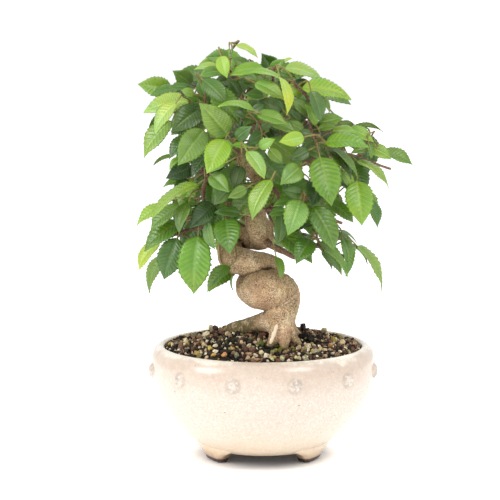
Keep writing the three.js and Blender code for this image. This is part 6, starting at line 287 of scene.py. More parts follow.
        ([[-39.62,-10.89,213.55,1.09],[-39.55,-14.68,213.94,1.03]], None),
    ], "stalked": [
    ]},
    {"name": "shoot_front_left_high_2", "twigs": [
        ([[-18.17,-6.84,235.88,0.94],[-18.29,-8.51,236.47,0.94]], None),
        ([[-18.29,-8.51,236.47,0.94],[-11.14,-14.32,226.6,0.49]], [-13.58,-14.42,221.12,-23.19,-14.79,199.51,-0.395,-0.899,0.191,14.44,0.02]),
        ([[-18.29,-8.51,236.47,0.94],[-18.65,-10.07,237.71,0.89]], None),
        ([[-18.65,-10.07,237.71,0.89],[-23.07,-7.78,242.9,0.49],[-24.43,-6.55,248.21,0.49]], [-29.03,-12.25,248.13,-39.35,-15.31,246.89,0.265,-0.954,0.142,6.15,0.8]),
        ([[-18.65,-10.07,237.71,0.89],[-18.63,-11.9,238.99,0.83]], None),
        ([[-18.63,-11.9,238.99,0.83],[-13.99,-16.5,238.22,0.49]], [-19.16,-19.36,237.19,-31.18,-26.0,234.82,0.441,-0.872,0.211,7.92,0.05]),
        ([[-18.63,-11.9,238.99,0.83],[-21.0,-21.0,245.0,0.69]], None),
        ([[-21.0,-21.0,245.0,0.69],[-19.24,-27.94,243.88,0.49]], [-25.07,-28.62,242.62,-38.88,-30.25,239.63,-0.023,-0.83,0.557,7.94,0.4]),
        ([[-21.0,-21.0,245.0,0.69],[-24.33,-25.17,250.96,0.49],[-27.05,-29.84,256.79,0.49]], [-25.58,-32.36,251.54,-21.91,-38.64,238.46,-0.212,-0.903,0.374,8.42,0.85]),
        ([[-18.63,-11.9,238.99,0.83],[-16.42,-4.52,249.61,0.49]], [-21.12,-8.24,249.99,-34.95,-19.18,251.09,0.622,-0.781,0.06,10.46,0.45]),
        ([[-18.41,-2.87,234.6,0.99],[-18.17,-6.84,235.88,0.94]], None),
    ], "stalked": [
        ([-21.0,-21.0,245.0], [-21.02,-21.93,244.68], [-27.0,-22.41,244.44,-42.11,-23.62,243.83,0.013,-0.572,0.82,8.49,0.8]),
    ]},
    {"name": "shoot_front_left_mid_1", "twigs": [
        ([[-36.13,-19.49,180.94,0.83],[-41.77,-16.66,177.55,0.49]], [-47.55,-17.27,176.08,-61.63,-18.77,172.49,-0.152,-0.544,0.825,8.19,0.3]),
        ([[-36.13,-19.49,180.94,0.83],[-37.85,-19.67,182.27,0.77]], None),
        ([[-37.85,-19.67,182.27,0.77],[-42.07,-20.0,188.74,0.49],[-46.05,-22.82,194.14,0.49]], [-50.26,-23.69,189.96,-57.54,-25.19,182.73,-0.31,-0.819,0.482,5.81,0.6]),
        ([[-37.85,-19.67,182.27,0.77],[-42.14,-20.04,180.13,0.49]], [-46.07,-23.43,177.12,-54.89,-31.04,170.36,0.35,-0.815,0.462,7.89,0.12]),
        ([[-37.85,-19.67,182.27,0.77],[-38.47,-25.88,186.72,0.49]], [-43.39,-28.71,184.77,-58.72,-37.54,178.7,0.371,-0.869,0.326,10.85,0.0]),
        ([[-37.85,-19.67,182.27,0.77],[-50.03,-16.15,193.23,0.49]], [-55.48,-16.82,190.81,-67.71,-18.32,185.37,-0.414,0.386,0.824,7.56,0.2]),
        ([[-33.66,-17.4,179.18,0.87],[-36.13,-19.49,180.94,0.83]], None),
    ], "stalked": [
    ]},
    {"name": "shoot_front_left_mid_2", "twigs": [
        ([[-36.57,-28.13,166.73,0.99],[-35.19,-37.01,160.96,0.49]], [-40.72,-38.01,163.05,-49.07,-39.51,166.19,0.342,-0.766,0.544,5.0,0.35]),
        ([[-36.57,-28.13,166.73,0.99],[-35.26,-34.23,161.86,0.49],[-31.71,-38.82,158.79,0.49]], [-33.41,-42.3,152.58,-29.82,-43.8,135.83,-0.704,-0.705,-0.088,9.67,0.3]),
        ([[-36.57,-28.13,166.73,0.99],[-38.45,-26.72,165.71,0.69]], None),
        ([[-38.45,-26.72,165.71,0.69],[-40.07,-26.23,161.22,0.49],[-41.03,-27.22,155.08,0.49],[-40.9,-28.25,153.13,0.49],[-40.66,-29.8,151.92,0.49],[-39.21,-35.18,149.37,0.49]], [-39.68,-35.44,143.39,-42.51,-36.94,107.83,-0.17,-0.984,0.055,20.08,0.45]),
        ([[-38.45,-26.72,165.71,0.69],[-45.0,-21.0,165.0,0.61]], None),
        ([[-45.0,-21.0,165.0,0.61],[-52.41,-13.97,164.52,0.49],[-56.03,-9.66,163.42,0.49]], [-60.97,-10.07,160.04,-78.97,-11.57,147.71,-0.455,-0.514,0.727,12.31,0.88]),
        ([[-36.57,-28.13,166.73,0.99],[-36.96,-34.85,172.06,0.69]], None),
        ([[-36.96,-34.85,172.06,0.69],[-42.67,-43.65,170.4,0.49]], [-44.69,-44.11,164.77,-51.3,-45.61,146.28,-0.655,-0.698,0.291,11.08,0.2]),
        ([[-36.96,-34.85,172.06,0.69],[-35.0,-41.0,179.0,0.61]], None),
        ([[-35.0,-41.0,179.0,0.61],[-35.1,-44.39,185.19,0.49]], [-31.39,-47.63,181.77,-20.57,-57.08,171.77,-0.257,-0.825,0.503,10.03,0.36]),
        ([[-36.25,-26.0,169.36,1.04],[-36.57,-28.13,166.73,0.99]], None),
    ], "stalked": [
        ([-45.0,-21.0,165.0], [-45.85,-20.96,164.14], [-50.53,-21.33,160.39,-69.56,-22.83,145.13,-0.455,-0.63,0.63,13.75,0.33]),
        ([-35.0,-41.0,179.0], [-34.52,-41.84,178.98], [-39.33,-42.1,175.41,-67.53,-43.6,154.51,-0.559,-0.294,0.775,19.73,0.62]),
    ]},
    {"name": "shoot_front_left_mid_3", "twigs": [
        ([[-29.29,-24.49,162.19,0.69],[-25.43,-30.54,166.0,0.69]], None),
        ([[-25.43,-30.54,166.0,0.69],[-23.61,-32.51,170.01,0.49]], [-24.98,-33.24,164.21,-30.24,-36.04,141.96,-0.494,-0.841,0.222,12.87,0.32]),
        ([[-25.43,-30.54,166.0,0.69],[-25.95,-34.7,166.78,0.49]], [-29.9,-37.12,162.97,-44.09,-45.82,149.31,0.171,-0.902,0.396,12.54,0.05]),
        ([[-25.43,-30.54,166.0,0.69],[-23.9,-32.82,165.26,0.49],[-22.24,-37.33,163.11,0.49],[-23.15,-41.49,159.0,0.49]], [-22.55,-45.64,154.7,-19.95,-63.64,136.06,-0.177,-0.72,0.671,15.89,0.28]),
        ([[-28.27,-22.33,159.08,0.73],[-29.29,-24.49,162.19,0.69]], None),
    ], "stalked": [
    ]},
    {"name": "shoot_front_left_mid_4", "twigs": [
        ([[1.54,-33.34,159.02,0.89],[0.89,-35.07,160.35,0.89]], None),
        ([[0.89,-35.07,160.35,0.89],[-1.08,-36.39,159.87,0.61]], None),
        ([[-1.08,-36.39,159.87,0.61],[-7.59,-37.85,161.66,0.49]], [-12.41,-39.11,158.31,-20.82,-41.31,152.48,-0.107,-0.87,0.482,5.81,0.3]),
        ([[-1.08,-36.39,159.87,0.61],[-4.71,-40.12,157.99,0.49],[-8.21,-43.17,157.01,0.49]], [-14.19,-43.23,157.48,-29.77,-43.41,158.7,0.065,-0.679,0.731,8.75,0.15]),
        ([[0.89,-35.07,160.35,0.89],[0.11,-41.59,168.57,0.77]], None),
        ([[0.11,-41.59,168.57,0.77],[-0.62,-36.96,172.22,0.49]], [-5.19,-38.02,168.48,-12.41,-39.7,162.59,0.019,-0.968,0.252,5.39,0.2]),
        ([[0.11,-41.59,168.57,0.77],[-3.23,-42.64,171.97,0.49],[-7.05,-42.93,174.05,0.49],[-17.61,-42.3,175.86,0.49]], [-21.33,-45.04,172.03,-29.57,-51.1,163.57,0.195,-0.877,0.438,7.71,0.12]),
        ([[0.11,-41.59,168.57,0.77],[2.43,-50.68,173.79,0.49],[5.74,-57.86,180.85,0.49],[6.77,-61.93,184.57,0.49]], [4.09,-62.28,179.21,-7.61,-63.78,155.84,-0.603,-0.718,0.348,14.69,0.5]),
        ([[0.11,-41.59,168.57,0.77],[-4.69,-49.57,176.36,0.49]], [-9.98,-50.27,173.62,-21.24,-51.77,167.79,-0.004,-0.966,0.257,7.14,0.36]),
    ], "stalked": [
    ]},
    {"name": "shoot_front_left_mid_5", "twigs": [
        ([[-11.19,-34.89,207.58,0.94],[-11.97,-36.79,206.44,0.94]], None),
        ([[-11.97,-36.79,206.44,0.94],[-15.73,-38.94,208.15,0.49],[-17.08,-40.0,209.47,0.49],[-19.05,-43.15,214.46,0.49]], [-23.07,-44.08,210.11,-29.6,-45.58,203.05,-0.276,-0.856,0.437,5.42,0.2]),
        ([[-11.97,-36.79,206.44,0.94],[-13.19,-42.91,203.0,0.89]], None),
        ([[-13.19,-42.91,203.0,0.89],[-13.36,-44.85,201.51,0.83]], None),
        ([[-13.36,-44.85,201.51,0.83],[-12.68,-48.95,198.59,0.77]], None),
        ([[-12.68,-48.95,198.59,0.77],[-11.33,-50.97,199.05,0.49]], [-6.43,-51.46,195.62,3.62,-52.47,188.59,0.265,-0.826,0.497,6.89,0.12]),
        ([[-12.68,-48.95,198.59,0.77],[-12.29,-52.86,196.05,0.69],[-11.8,-54.72,195.41,0.69]], None),
        ([[-11.8,-54.72,195.41,0.69],[-12.69,-58.92,193.98,0.49],[-12.96,-62.83,194.16,0.49],[-13.03,-66.21,196.11,0.49],[-13.18,-69.82,201.6,0.49]], [-9.94,-70.29,196.57,0.48,-71.79,180.45,0.522,-0.75,0.407,10.79,0.66]),
        ([[-11.8,-54.72,195.41,0.69],[-10.41,-56.32,195.47,0.61]], None),
        ([[-10.41,-56.32,195.47,0.61],[-4.16,-63.64,197.84,0.49]], [-9.95,-62.21,198.5,-19.32,-59.89,199.56,-0.06,-0.604,0.795,5.28,0.5]),
        ([[-10.41,-56.32,195.47,0.61],[-7.81,-57.37,195.82,0.49]], [-2.93,-59.76,198.38,6.35,-64.31,203.25,-0.426,-0.904,-0.033,6.42,0.65]),
        ([[-13.36,-44.85,201.51,0.83],[-17.69,-47.18,200.89,0.49]], [-21.21,-49.77,204.99,-37.6,-61.85,224.06,0.4,-0.89,-0.219,15.87,0.38]),
        ([[-13.19,-42.91,203.0,0.89],[-16.2,-48.96,206.06,0.49],[-20.28,-56.54,207.08,0.49]], [-22.83,-59.4,202.46,-33.11,-70.86,183.87,0.117,-0.873,0.474,14.54,0.72]),
    ], "stalked": [
    ]},
    {"name": "shoot_front_low", "twigs": [
        ([[1.54,-33.34,159.02,1.08],[2.66,-33.99,157.01,0.77]], None),
        ([[2.66,-33.99,157.01,0.77],[4.17,-30.74,153.0,0.49],[6.03,-20.92,143.02,0.49],[9.39,-14.61,137.08,0.49]], [13.4,-18.21,139.72,29.8,-32.88,150.49,-0.668,-0.227,0.709,14.53,0.02]),
        ([[2.66,-33.99,157.01,0.77],[4.64,-36.11,152.99,0.69]], None),
        ([[4.64,-36.11,152.99,0.69],[5.87,-37.11,149.03,0.49]], [10.27,-38.6,145.24,29.73,-45.18,128.44,0.234,-0.782,0.577,14.83,0.25]),
        ([[4.64,-36.11,152.99,0.69],[8.4,-42.71,146.79,0.49]], [14.0,-43.72,144.88,22.36,-45.22,142.03,0.083,-0.761,0.643,5.0,0.3]),
        ([[4.64,-36.11,152.99,0.69],[5.46,-32.27,141.19,0.49],[6.48,-29.78,135.95,0.49]], [7.81,-30.43,130.13,10.89,-31.93,116.67,0.758,-0.607,0.241,7.84,0.5]),
        ([[1.54,-33.34,159.02,1.08],[8.78,-37.17,159.29,0.89]], None),
        ([[8.78,-37.17,159.29,0.89],[9.95,-43.72,164.18,0.49]], [10.32,-46.09,158.35,7.94,-47.59,139.28,0.557,-0.831,-0.004,10.84,0.15]),
        ([[8.78,-37.17,159.29,0.89],[14.91,-41.21,159.46,0.83],[20.19,-45.7,161.66,0.83]], None),
        ([[20.19,-45.7,161.66,0.83],[19.64,-51.41,161.27,0.49]], [13.77,-51.42,160.03,2.49,-51.43,157.64,-0.134,-0.761,0.635,6.46,0.3]),
        ([[20.19,-45.7,161.66,0.83],[23.31,-47.09,165.2,0.77]], None),
        ([[23.31,-47.09,165.2,0.77],[23.22,-45.35,167.8,0.49]], [17.49,-45.13,166.05,5.55,-44.69,162.42,-0.232,-0.701,0.674,6.99,0.35]),
        ([[23.31,-47.09,165.2,0.77],[28.75,-47.98,168.84,0.49]], [23.27,-50.13,170.04,10.69,-55.07,172.8,0.385,-0.916,0.115,7.67,0.22]),
        ([[23.31,-47.09,165.2,0.77],[25.91,-49.95,168.23,0.49]], [28.65,-50.24,162.9,42.41,-51.74,136.15,0.478,-0.828,0.292,16.94,0.3]),
        ([[23.31,-47.09,165.2,0.77],[24.2,-51.04,169.37,0.49],[23.07,-53.01,171.63,0.49]], [21.3,-56.37,166.99,13.93,-70.31,147.7,0.247,-0.828,0.504,14.57,0.52]),
        ([[3.94,-31.0,160.01,1.13],[1.54,-33.34,159.02,1.08]], None),
    ], "stalked": [
    ]},
    {"name": "shoot_front_mid", "twigs": [
        ([[-8.02,-31.33,213.4,1.15],[-9.97,-27.05,218.72,0.49],[-10.88,-25.64,222.08,0.49]], [-14.25,-26.29,227.0,-22.08,-27.79,238.43,0.366,-0.922,0.13,7.75,0.12]),
        ([[-8.02,-31.33,213.4,1.15],[-8.78,-32.24,211.46,1.12]], None),
        ([[-8.78,-32.24,211.46,1.12],[-7.42,-31.74,209.61,0.69]], None),
        ([[-7.42,-31.74,209.61,0.69],[-3.75,-25.03,205.95,0.49],[-0.14,-16.68,204.42,0.49]], [4.37,-16.47,200.47,24.63,-15.57,182.71,0.344,-0.872,0.348,15.13,0.47]),
        ([[-7.42,-31.74,209.61,0.69],[-6.41,-30.04,194.26,0.49]], [-2.72,-32.6,190.28,14.42,-44.49,171.79,0.283,-0.666,0.69,17.26,0.22]),
        ([[-7.42,-31.74,209.61,0.69],[-1.45,-36.97,207.13,0.49],[2.96,-42.54,207.66,0.49]], [-1.08,-46.94,205.47,-9.97,-51.81,199.77,0.261,-0.896,0.358,7.1,0.18]),
        ([[-8.78,-32.24,211.46,1.12],[-11.57,-35.38,212.55,0.49],[-13.47,-38.91,214.36,0.49],[-12.51,-40.75,215.35,0.49]], [-7.01,-42.02,218.35,1.9,-43.52,223.12,-0.289,-0.924,0.25,5.66,0.15]),
        ([[-8.78,-32.24,211.46,1.12],[-14.2,-37.16,203.36,0.94]], None),
        ([[-14.2,-37.16,203.36,0.94],[-26.13,-25.75,199.68,0.49]], [-29.61,-28.21,195.45,-43.53,-38.04,178.56,-0.475,-0.532,0.701,13.73,0.05]),
        ([[-14.2,-37.16,203.36,0.94],[-15.82,-40.66,199.56,0.89]], None),
        ([[-15.82,-40.66,199.56,0.89],[-15.8,-43.48,195.57,0.83]], None),
        ([[-15.8,-43.48,195.57,0.83],[-15.66,-40.98,190.99,0.49],[-13.26,-37.11,184.19,0.49]], [-10.6,-37.78,189.53,-4.61,-39.28,201.59,-0.6,-0.774,0.202,7.5,0.2]),
        ([[-15.8,-43.48,195.57,0.83],[-11.97,-40.27,191.41,0.49]], [-13.58,-42.86,186.24,-17.7,-49.49,172.97,0.0,-0.894,0.447,8.91,0.0]),
        ([[-15.8,-43.48,195.57,0.83],[-17.74,-45.03,195.97,0.49]], [-22.48,-45.72,192.36,-30.21,-46.86,186.48,-0.246,-0.84,0.484,5.47,0.25]),
        ([[-15.8,-43.48,195.57,0.83],[-15.0,-47.0,193.0,0.61]], None),
        ([[-15.0,-47.0,193.0,0.61],[-17.68,-51.99,191.35,0.49]], [-22.98,-51.8,188.55,-34.25,-51.4,182.61,-0.348,-0.71,0.612,7.12,0.5]),
        ([[-15.82,-40.66,199.56,0.89],[-18.88,-46.99,200.26,0.49]], [-16.46,-52.32,202.74,-7.03,-61.97,210.72,-0.564,-0.779,-0.275,8.22,0.2]),
        ([[-5.56,-29.26,211.69,1.21],[-8.02,-31.33,213.4,1.15]], None),
    ], "stalked": [
        ([-15.0,-47.0,193.0], [-14.42,-46.24,193.1], [-18.88,-48.15,196.64,-26.51,-51.43,202.7,0.351,-0.934,-0.064,5.92,0.6]),
    ]},
    {"name": "shoot_front_right_high", "twigs": [
        ([[31.55,-16.61,230.26,1.03],[30.56,-20.82,228.07,1.03]], None),
        ([[30.56,-20.82,228.07,1.03],[30.31,-22.86,226.53,0.69]], None),
        ([[30.31,-22.86,226.53,0.69],[28.42,-36.87,213.25,0.61]], None),
        ([[28.42,-36.87,213.25,0.61],[31.44,-39.69,213.83,0.49]], [26.99,-40.7,217.72,16.76,-43.03,226.66,0.201,-0.979,-0.025,7.76,0.24]),
        ([[28.42,-36.87,213.25,0.61],[28.0,-38.66,211.28,0.49],[25.75,-36.86,207.43,0.49]], [21.73,-38.14,211.69,12.66,-41.02,221.29,0.231,-0.97,-0.073,7.78,0.14]),
        ([[30.31,-22.86,226.53,0.69],[36.86,-25.39,222.13,0.49],[40.75,-27.06,218.69,0.49],[43.92,-28.79,214.79,0.49],[46.24,-30.43,210.6,0.49]], [51.55,-30.96,207.85,66.59,-32.46,200.09,0.244,-0.749,0.616,9.55,0.68]),
        ([[30.56,-20.82,228.07,1.03],[27.92,-26.96,225.92,0.89],[27.19,-32.67,225.65,0.89]], None),
        ([[27.19,-32.67,225.65,0.89],[28.86,-33.06,226.71,0.49]], [23.57,-34.82,228.92,12.08,-38.65,233.72,0.315,-0.949,-0.003,7.2,0.5]),
        ([[27.19,-32.67,225.65,0.89],[26.25,-36.51,226.64,0.83],[24.61,-39.48,228.8,0.83]], None),
        ([[24.61,-39.48,228.8,0.83],[26.42,-35.0,235.4,0.49]], [30.12,-35.56,230.72,40.0,-37.06,218.23,0.656,-0.487,0.577,8.95,0.38]),
        ([[24.61,-39.48,228.8,0.83],[19.88,-43.88,232.91,0.77]], None),
        ([[19.88,-43.88,232.91,0.77],[21.59,-48.81,235.16,0.49],[25.71,-55.72,236.63,0.49]], [27.54,-55.27,230.94,33.57,-53.81,212.2,0.628,-0.765,0.142,11.0,0.2]),
        ([[19.88,-43.88,232.91,0.77],[16.82,-43.58,233.81,0.49]], [22.67,-43.08,232.57,52.28,-40.55,226.33,0.214,-0.594,0.776,16.87,0.64]),
        ([[19.88,-43.88,232.91,0.77],[13.91,-52.92,242.03,0.49],[8.05,-58.05,244.95,0.49]], [9.3,-58.44,239.09,13.99,-59.94,217.05,0.853,-0.476,0.214,12.64,0.97]),
        ([[19.88,-43.88,232.91,0.77],[16.0,-44.44,236.62,0.49]], [10.16,-44.91,237.89,-8.79,-46.41,242.0,0.225,-0.326,0.918,10.85,0.7]),
        ([[29.73,-16.0,227.45,1.09],[31.55,-16.61,230.26,1.03]], None),
    ], "stalked": [
    ]},
    {"name": "shoot_front_right_low", "twigs": [
        ([[37.67,-33.64,135.26,1.03],[37.86,-32.01,133.63,0.69],[39.06,-28.43,133.36,0.69],[40.13,-26.71,134.45,0.69]], None),
        ([[40.13,-26.71,134.45,0.69],[38.43,-20.99,134.94,0.49],[34.22,-10.83,135.04,0.49],[33.02,-4.16,135.18,0.49]], [36.93,-4.83,130.68,49.66,-7.03,116.01,0.585,-0.556,0.591,11.7,0.31]),
        ([[40.13,-26.71,134.45,0.69],[49.17,-13.51,141.15,0.49]], [53.2,-13.7,136.71,65.06,-14.27,123.65,0.729,-0.148,0.668,8.82,0.28]),
        ([[40.13,-26.71,134.45,0.69],[46.85,-22.75,137.86,0.49],[52.92,-20.81,139.77,0.49]], [57.7,-20.44,135.6,74.81,-14.77,106.48,0.847,-0.297,0.44,18.43,0.42]),
        ([[37.67,-33.64,135.26,1.03],[38.58,-31.67,139.1,0.61]], None),
        ([[38.58,-31.67,139.1,0.61],[40.37,-30.97,149.97,0.49]], [45.32,-30.97,146.58,56.94,-30.97,138.63,0.561,-0.122,0.819,7.04,0.2]),
        ([[38.58,-31.67,139.1,0.61],[40.71,-29.13,142.84,0.49],[45.9,-26.76,148.06,0.49]], [48.26,-28.8,142.52,50.95,-32.38,118.5,0.814,-0.555,0.174,13.79,0.3]),
        ([[37.67,-33.64,135.26,1.03],[32.97,-35.98,140.96,0.77],[31.47,-40.08,146.23,0.77]], None),
        ([[31.47,-40.08,146.23,0.77],[31.25,-40.9,152.86,0.49],[32.02,-41.03,160.47,0.49]], [37.35,-43.13,158.68,43.81,-45.67,156.51,-0.129,-0.813,0.567,3.93,0.25]),
        ([[31.47,-40.08,146.23,0.77],[31.0,-43.0,147.0,0.61]], None),
        ([[31.0,-43.0,147.0,0.61],[29.15,-44.72,145.4,0.49]], [33.04,-44.5,140.83,50.84,-43.49,119.9,0.725,-0.336,0.601,15.31,0.35]),
        ([[31.47,-40.08,146.23,0.77],[34.09,-36.97,152.91,0.49],[34.91,-34.15,159.0,0.49],[34.89,-34.08,163.02,0.49],[34.73,-35.27,167.05,0.49]], [39.47,-36.24,163.5,54.43,-39.33,152.29,0.291,-0.749,0.595,10.65,0.3]),
        ([[37.63,-29.84,135.62,1.09],[37.67,-33.64,135.26,1.03]], None),
    ], "stalked": [
        ([31.0,-43.0,147.0], [30.21,-42.08,146.34], [27.71,-46.17,142.73,18.94,-60.56,130.05,0.18,-0.71,0.681,12.38,0.22]),
    ]},
    {"name": "shoot_front_right_mid_1", "twigs": [
        ([[28.0,-38.66,211.28,1.12],[27.78,-40.61,209.44,1.12]], None),
        ([[27.78,-40.61,209.44,1.12],[26.54,-39.9,207.56,0.49]], [32.39,-41.04,208.22,43.6,-43.23,209.48,-0.214,-0.702,0.679,6.37,0.28]),
        ([[27.78,-40.61,209.44,1.12],[28.2,-44.79,206.31,1.08]], None),
        ([[28.2,-44.79,206.31,1.08],[18.92,-46.04,198.76,0.49]], [24.49,-46.4,196.55,39.33,-47.34,190.67,0.156,-0.835,0.528,8.97,0.08]),
        ([[28.2,-44.79,206.31,1.08],[29.0,-47.0,205.0,1.03]], None),
        ([[29.0,-47.0,205.0,1.03],[33.62,-44.19,205.36,0.49]], [31.02,-44.84,210.72,24.97,-46.34,223.18,0.599,-0.776,0.198,7.72,0.45]),
        ([[29.0,-47.0,205.0,1.03],[34.01,-43.35,202.4,0.49]], [37.69,-43.67,197.61,52.62,-45.39,178.63,0.643,-0.529,0.554,13.6,0.12]),
        ([[29.0,-47.0,205.0,1.03],[32.0,-50.16,204.54,0.69]], None),
        ([[32.0,-50.16,204.54,0.69],[36.42,-47.84,201.09,0.49]], [40.44,-48.15,196.64,55.91,-49.34,179.5,0.703,-0.278,0.654,12.99,0.3]),
        ([[32.0,-50.16,204.54,0.69],[33.0,-53.0,205.0,0.61]], None),
        ([[33.0,-53.0,205.0,0.61],[28.94,-61.01,205.39,0.49]], [23.28,-62.72,204.35,8.63,-67.17,201.63,0.246,-0.945,0.217,8.73,0.78]),
        ([[29.0,-47.0,205.0,1.03],[31.0,-51.0,201.0,0.69]], None),
        ([[31.0,-51.0,201.0,0.69],[31.84,-48.94,198.76,0.49]], [26.7,-50.65,196.17,15.38,-54.42,190.47,0.168,-0.942,0.29,8.26,0.1]),
        ([[31.0,-51.0,201.0,0.69],[31.81,-52.73,197.64,0.49]], [33.02,-55.14,192.28,39.3,-67.65,164.41,-0.005,-0.913,0.409,18.11,0.4]),
    ], "stalked": [
        ([29.0,-47.0,205.0], [28.24,-47.22,204.14], [23.2,-48.04,207.29,13.66,-49.59,213.24,0.185,-0.982,0.041,6.52,0.3]),
        ([33.0,-53.0,205.0], [33.38,-53.48,204.32], [27.68,-54.64,205.77,20.57,-56.09,207.59,0.222,-0.97,0.097,4.12,0.1]),
        ([31.0,-51.0,201.0], [30.16,-50.33,200.7], [36.14,-50.67,200.31,62.05,-52.17,198.61,0.021,-0.568,0.823,14.6,0.48]),
    ]},
    {"name": "shoot_front_right_mid_2", "twigs": [
        ([[36.3,-12.72,193.3,0.83],[36.57,-14.21,189.05,0.49],[36.79,-13.71,187.0,0.49],[36.87,-11.71,182.81,0.49],[36.74,-8.3,178.49,0.49]], [37.41,-11.27,173.32,40.37,-24.32,150.54,-0.161,-0.865,0.475,14.57,0.34]),
        ([[36.3,-12.72,193.3,0.83],[36.12,-20.41,192.17,0.77]], None),
        ([[36.12,-20.41,192.17,0.77],[34.4,-24.29,189.08,0.69]], None),
        ([[34.4,-24.29,189.08,0.69],[36.09,-24.36,181.11,0.49]], [41.18,-23.15,178.18,61.23,-18.36,166.62,0.515,-0.534,0.671,13.99,0.17]),
        ([[34.4,-24.29,189.08,0.69],[31.0,-28.83,187.81,0.49],[28.26,-34.99,187.06,0.49],[25.5,-44.88,187.41,0.49],[24.72,-50.41,189.06,0.49]], [21.29,-54.51,186.35,9.83,-68.18,177.29,0.394,-0.714,0.579,12.27,0.4]),
        ([[34.4,-24.29,189.08,0.69],[33.97,-29.07,184.86,0.49],[34.52,-33.64,180.56,0.49]], [33.27,-38.26,176.94,28.4,-56.26,162.83,0.273,-0.638,0.72,13.65,0.0]),
        ([[36.12,-20.41,192.17,0.77],[38.5,-20.95,198.9,0.49],[38.91,-21.03,208.66,0.49]], [44.81,-21.85,209.35,55.67,-23.35,210.61,-0.007,0.615,0.788,6.17,0.2]),
        ([[36.27,-11.48,189.44,0.87],[36.3,-12.72,193.3,0.83]], None),
    ], "stalked": [
    ]},
    {"name": "shoot_front_right_mid_3", "twigs": [
        ([[47.29,-15.69,195.14,0.99],[47.53,-21.13,195.47,0.94]], None),
        ([[47.53,-21.13,195.47,0.94],[47.3,-28.61,194.03,0.83]], None),
        ([[47.3,-28.61,194.03,0.83],[45.31,-34.08,199.39,0.49],[42.97,-36.38,202.86,0.49],[40.08,-37.86,206.35,0.49]], [34.92,-38.45,203.34,21.73,-39.98,195.64,-0.327,-0.648,0.688,8.55,0.1]),
        ([[47.3,-28.61,194.03,0.83],[47.71,-30.11,192.81,0.77]], None),
        ([[47.71,-30.11,192.81,0.77],[48.38,-30.06,186.84,0.49]], [45.1,-30.69,181.87,37.82,-32.19,171.05,-0.633,-0.585,0.507,7.32,0.4]),
        ([[47.71,-30.11,192.81,0.77],[45.22,-34.66,190.34,0.49],[44.0,-38.65,188.17,0.49]], [47.02,-38.85,182.99,53.68,-39.28,171.6,0.488,-0.813,0.317,7.41,0.5]),
        ([[47.71,-30.11,192.81,0.77],[55.38,-38.93,182.69,0.49]], [55.91,-41.15,177.14,58.37,-51.45,151.38,0.018,-0.928,0.373,16.63,0.52]),
        ([[47.71,-30.11,192.81,0.77],[51.79,-31.37,192.31,0.49]], [56.48,-31.72,188.59,76.15,-33.22,172.95,0.57,-0.337,0.749,14.16,0.55]),
        ([[47.53,-21.13,195.47,0.94],[49.0,-23.0,197.0,0.61]], None),
        ([[49.0,-23.0,197.0,0.61],[56.75,-26.75,199.31,0.49]], [62.18,-27.27,196.83,77.9,-28.77,189.63,0.191,-0.791,0.581,9.76,0.55]),
        ([[47.29,-15.69,195.14,0.99],[48.62,-14.88,201.04,0.49],[48.55,-13.38,209.12,0.49]], [54.49,-13.85,208.46,73.44,-15.35,206.37,0.126,0.253,0.959,10.74,0.2]),
        ([[46.64,-14.35,191.56,1.04],[47.29,-15.69,195.14,0.99]], None),
    ], "stalked": [
        ([49.0,-23.0,197.0], [49.35,-22.75,196.54], [51.56,-23.16,190.98,61.25,-24.94,166.64,0.507,-0.821,0.262,16.28,0.15]),
    ]},
    {"name": "shoot_front_right_mid_4", "twigs": [
        ([[59.28,-14.45,192.0,0.83],[62.1,-13.48,186.8,0.49],[62.82,-14.02,182.97,0.49],[62.97,-15.98,178.96,0.49],[62.91,-22.87,170.6,0.49]], [64.58,-23.55,164.88,69.83,-25.05,147.21,0.69,-0.675,0.262,10.42,0.22]),
        ([[59.28,-14.45,192.0,0.83],[60.9,-14.08,194.0,0.77]], None),
        ([[60.9,-14.08,194.0,0.77],[65.18,-7.13,200.68,0.49],[66.37,-2.98,204.03,0.49],[66.11,1.19,206.18,0.49],[63.66,7.96,207.78,0.49]], [64.16,5.62,204.28,64.56,-1.51,178.25,0.316,-0.914,0.255,15.27,0.09]),
        ([[60.9,-14.08,194.0,0.77],[68.77,-7.72,195.95,0.49]], [74.2,-8.16,193.44,92.73,-9.66,184.85,0.284,-0.631,0.722,11.53,0.33]),
        ([[60.9,-14.08,194.0,0.77],[64.37,-19.13,200.26,0.61]], None),
        ([[64.37,-19.13,200.26,0.61],[66.71,-24.98,205.14,0.49],[67.19,-28.76,206.3,0.49],[65.71,-31.95,205.89,0.49],[62.62,-34.33,204.37,0.49]], [63.38,-35.14,198.4,64.55,-36.45,190.06,0.582,-0.787,0.205,4.77,0.3]),
        ([[64.37,-19.13,200.26,0.61],[66.1,-22.98,201.64,0.49],[66.68,-24.91,201.6,0.49],[67.59,-28.58,200.05,0.49],[68.69,-31.92,197.17,0.49]], [62.95,-33.14,195.9,52.57,-35.33,193.61,0.015,-0.756,0.654,5.88,0.3]),
        ([[56.95,-16.82,190.42,0.87],[59.28,-14.45,192.0,0.83]], None),
    ], "stalked": [
    ]},
    {"name": "shoot_left_high_1", "twigs": [
        ([[-49.93,-15.08,219.81,0.94],[-53.33,-17.44,217.87,0.49]], [-56.0,-16.28,212.21,-73.84,-17.78,190.24,-0.528,-0.702,0.477,15.91,0.52]),
        ([[-49.93,-15.08,219.81,0.94],[-47.88,-15.67,220.85,0.61]], None),
        ([[-47.88,-15.67,220.85,0.61],[-45.4,-19.21,223.09,0.49],[-45.13,-23.03,225.22,0.49],[-48.33,-30.67,227.21,0.49],[-49.13,-34.15,228.39,0.49]], [-52.63,-33.87,223.53,-66.04,-32.81,204.92,-0.617,-0.674,0.406,12.81,0.85]),
        ([[-47.88,-15.67,220.85,0.61],[-41.93,-14.24,225.27,0.49],[-38.44,-12.92,231.14,0.49]], [-44.37,-13.69,231.69,-57.75,-15.42,232.92,0.155,-0.71,0.686,7.57,0.25]),
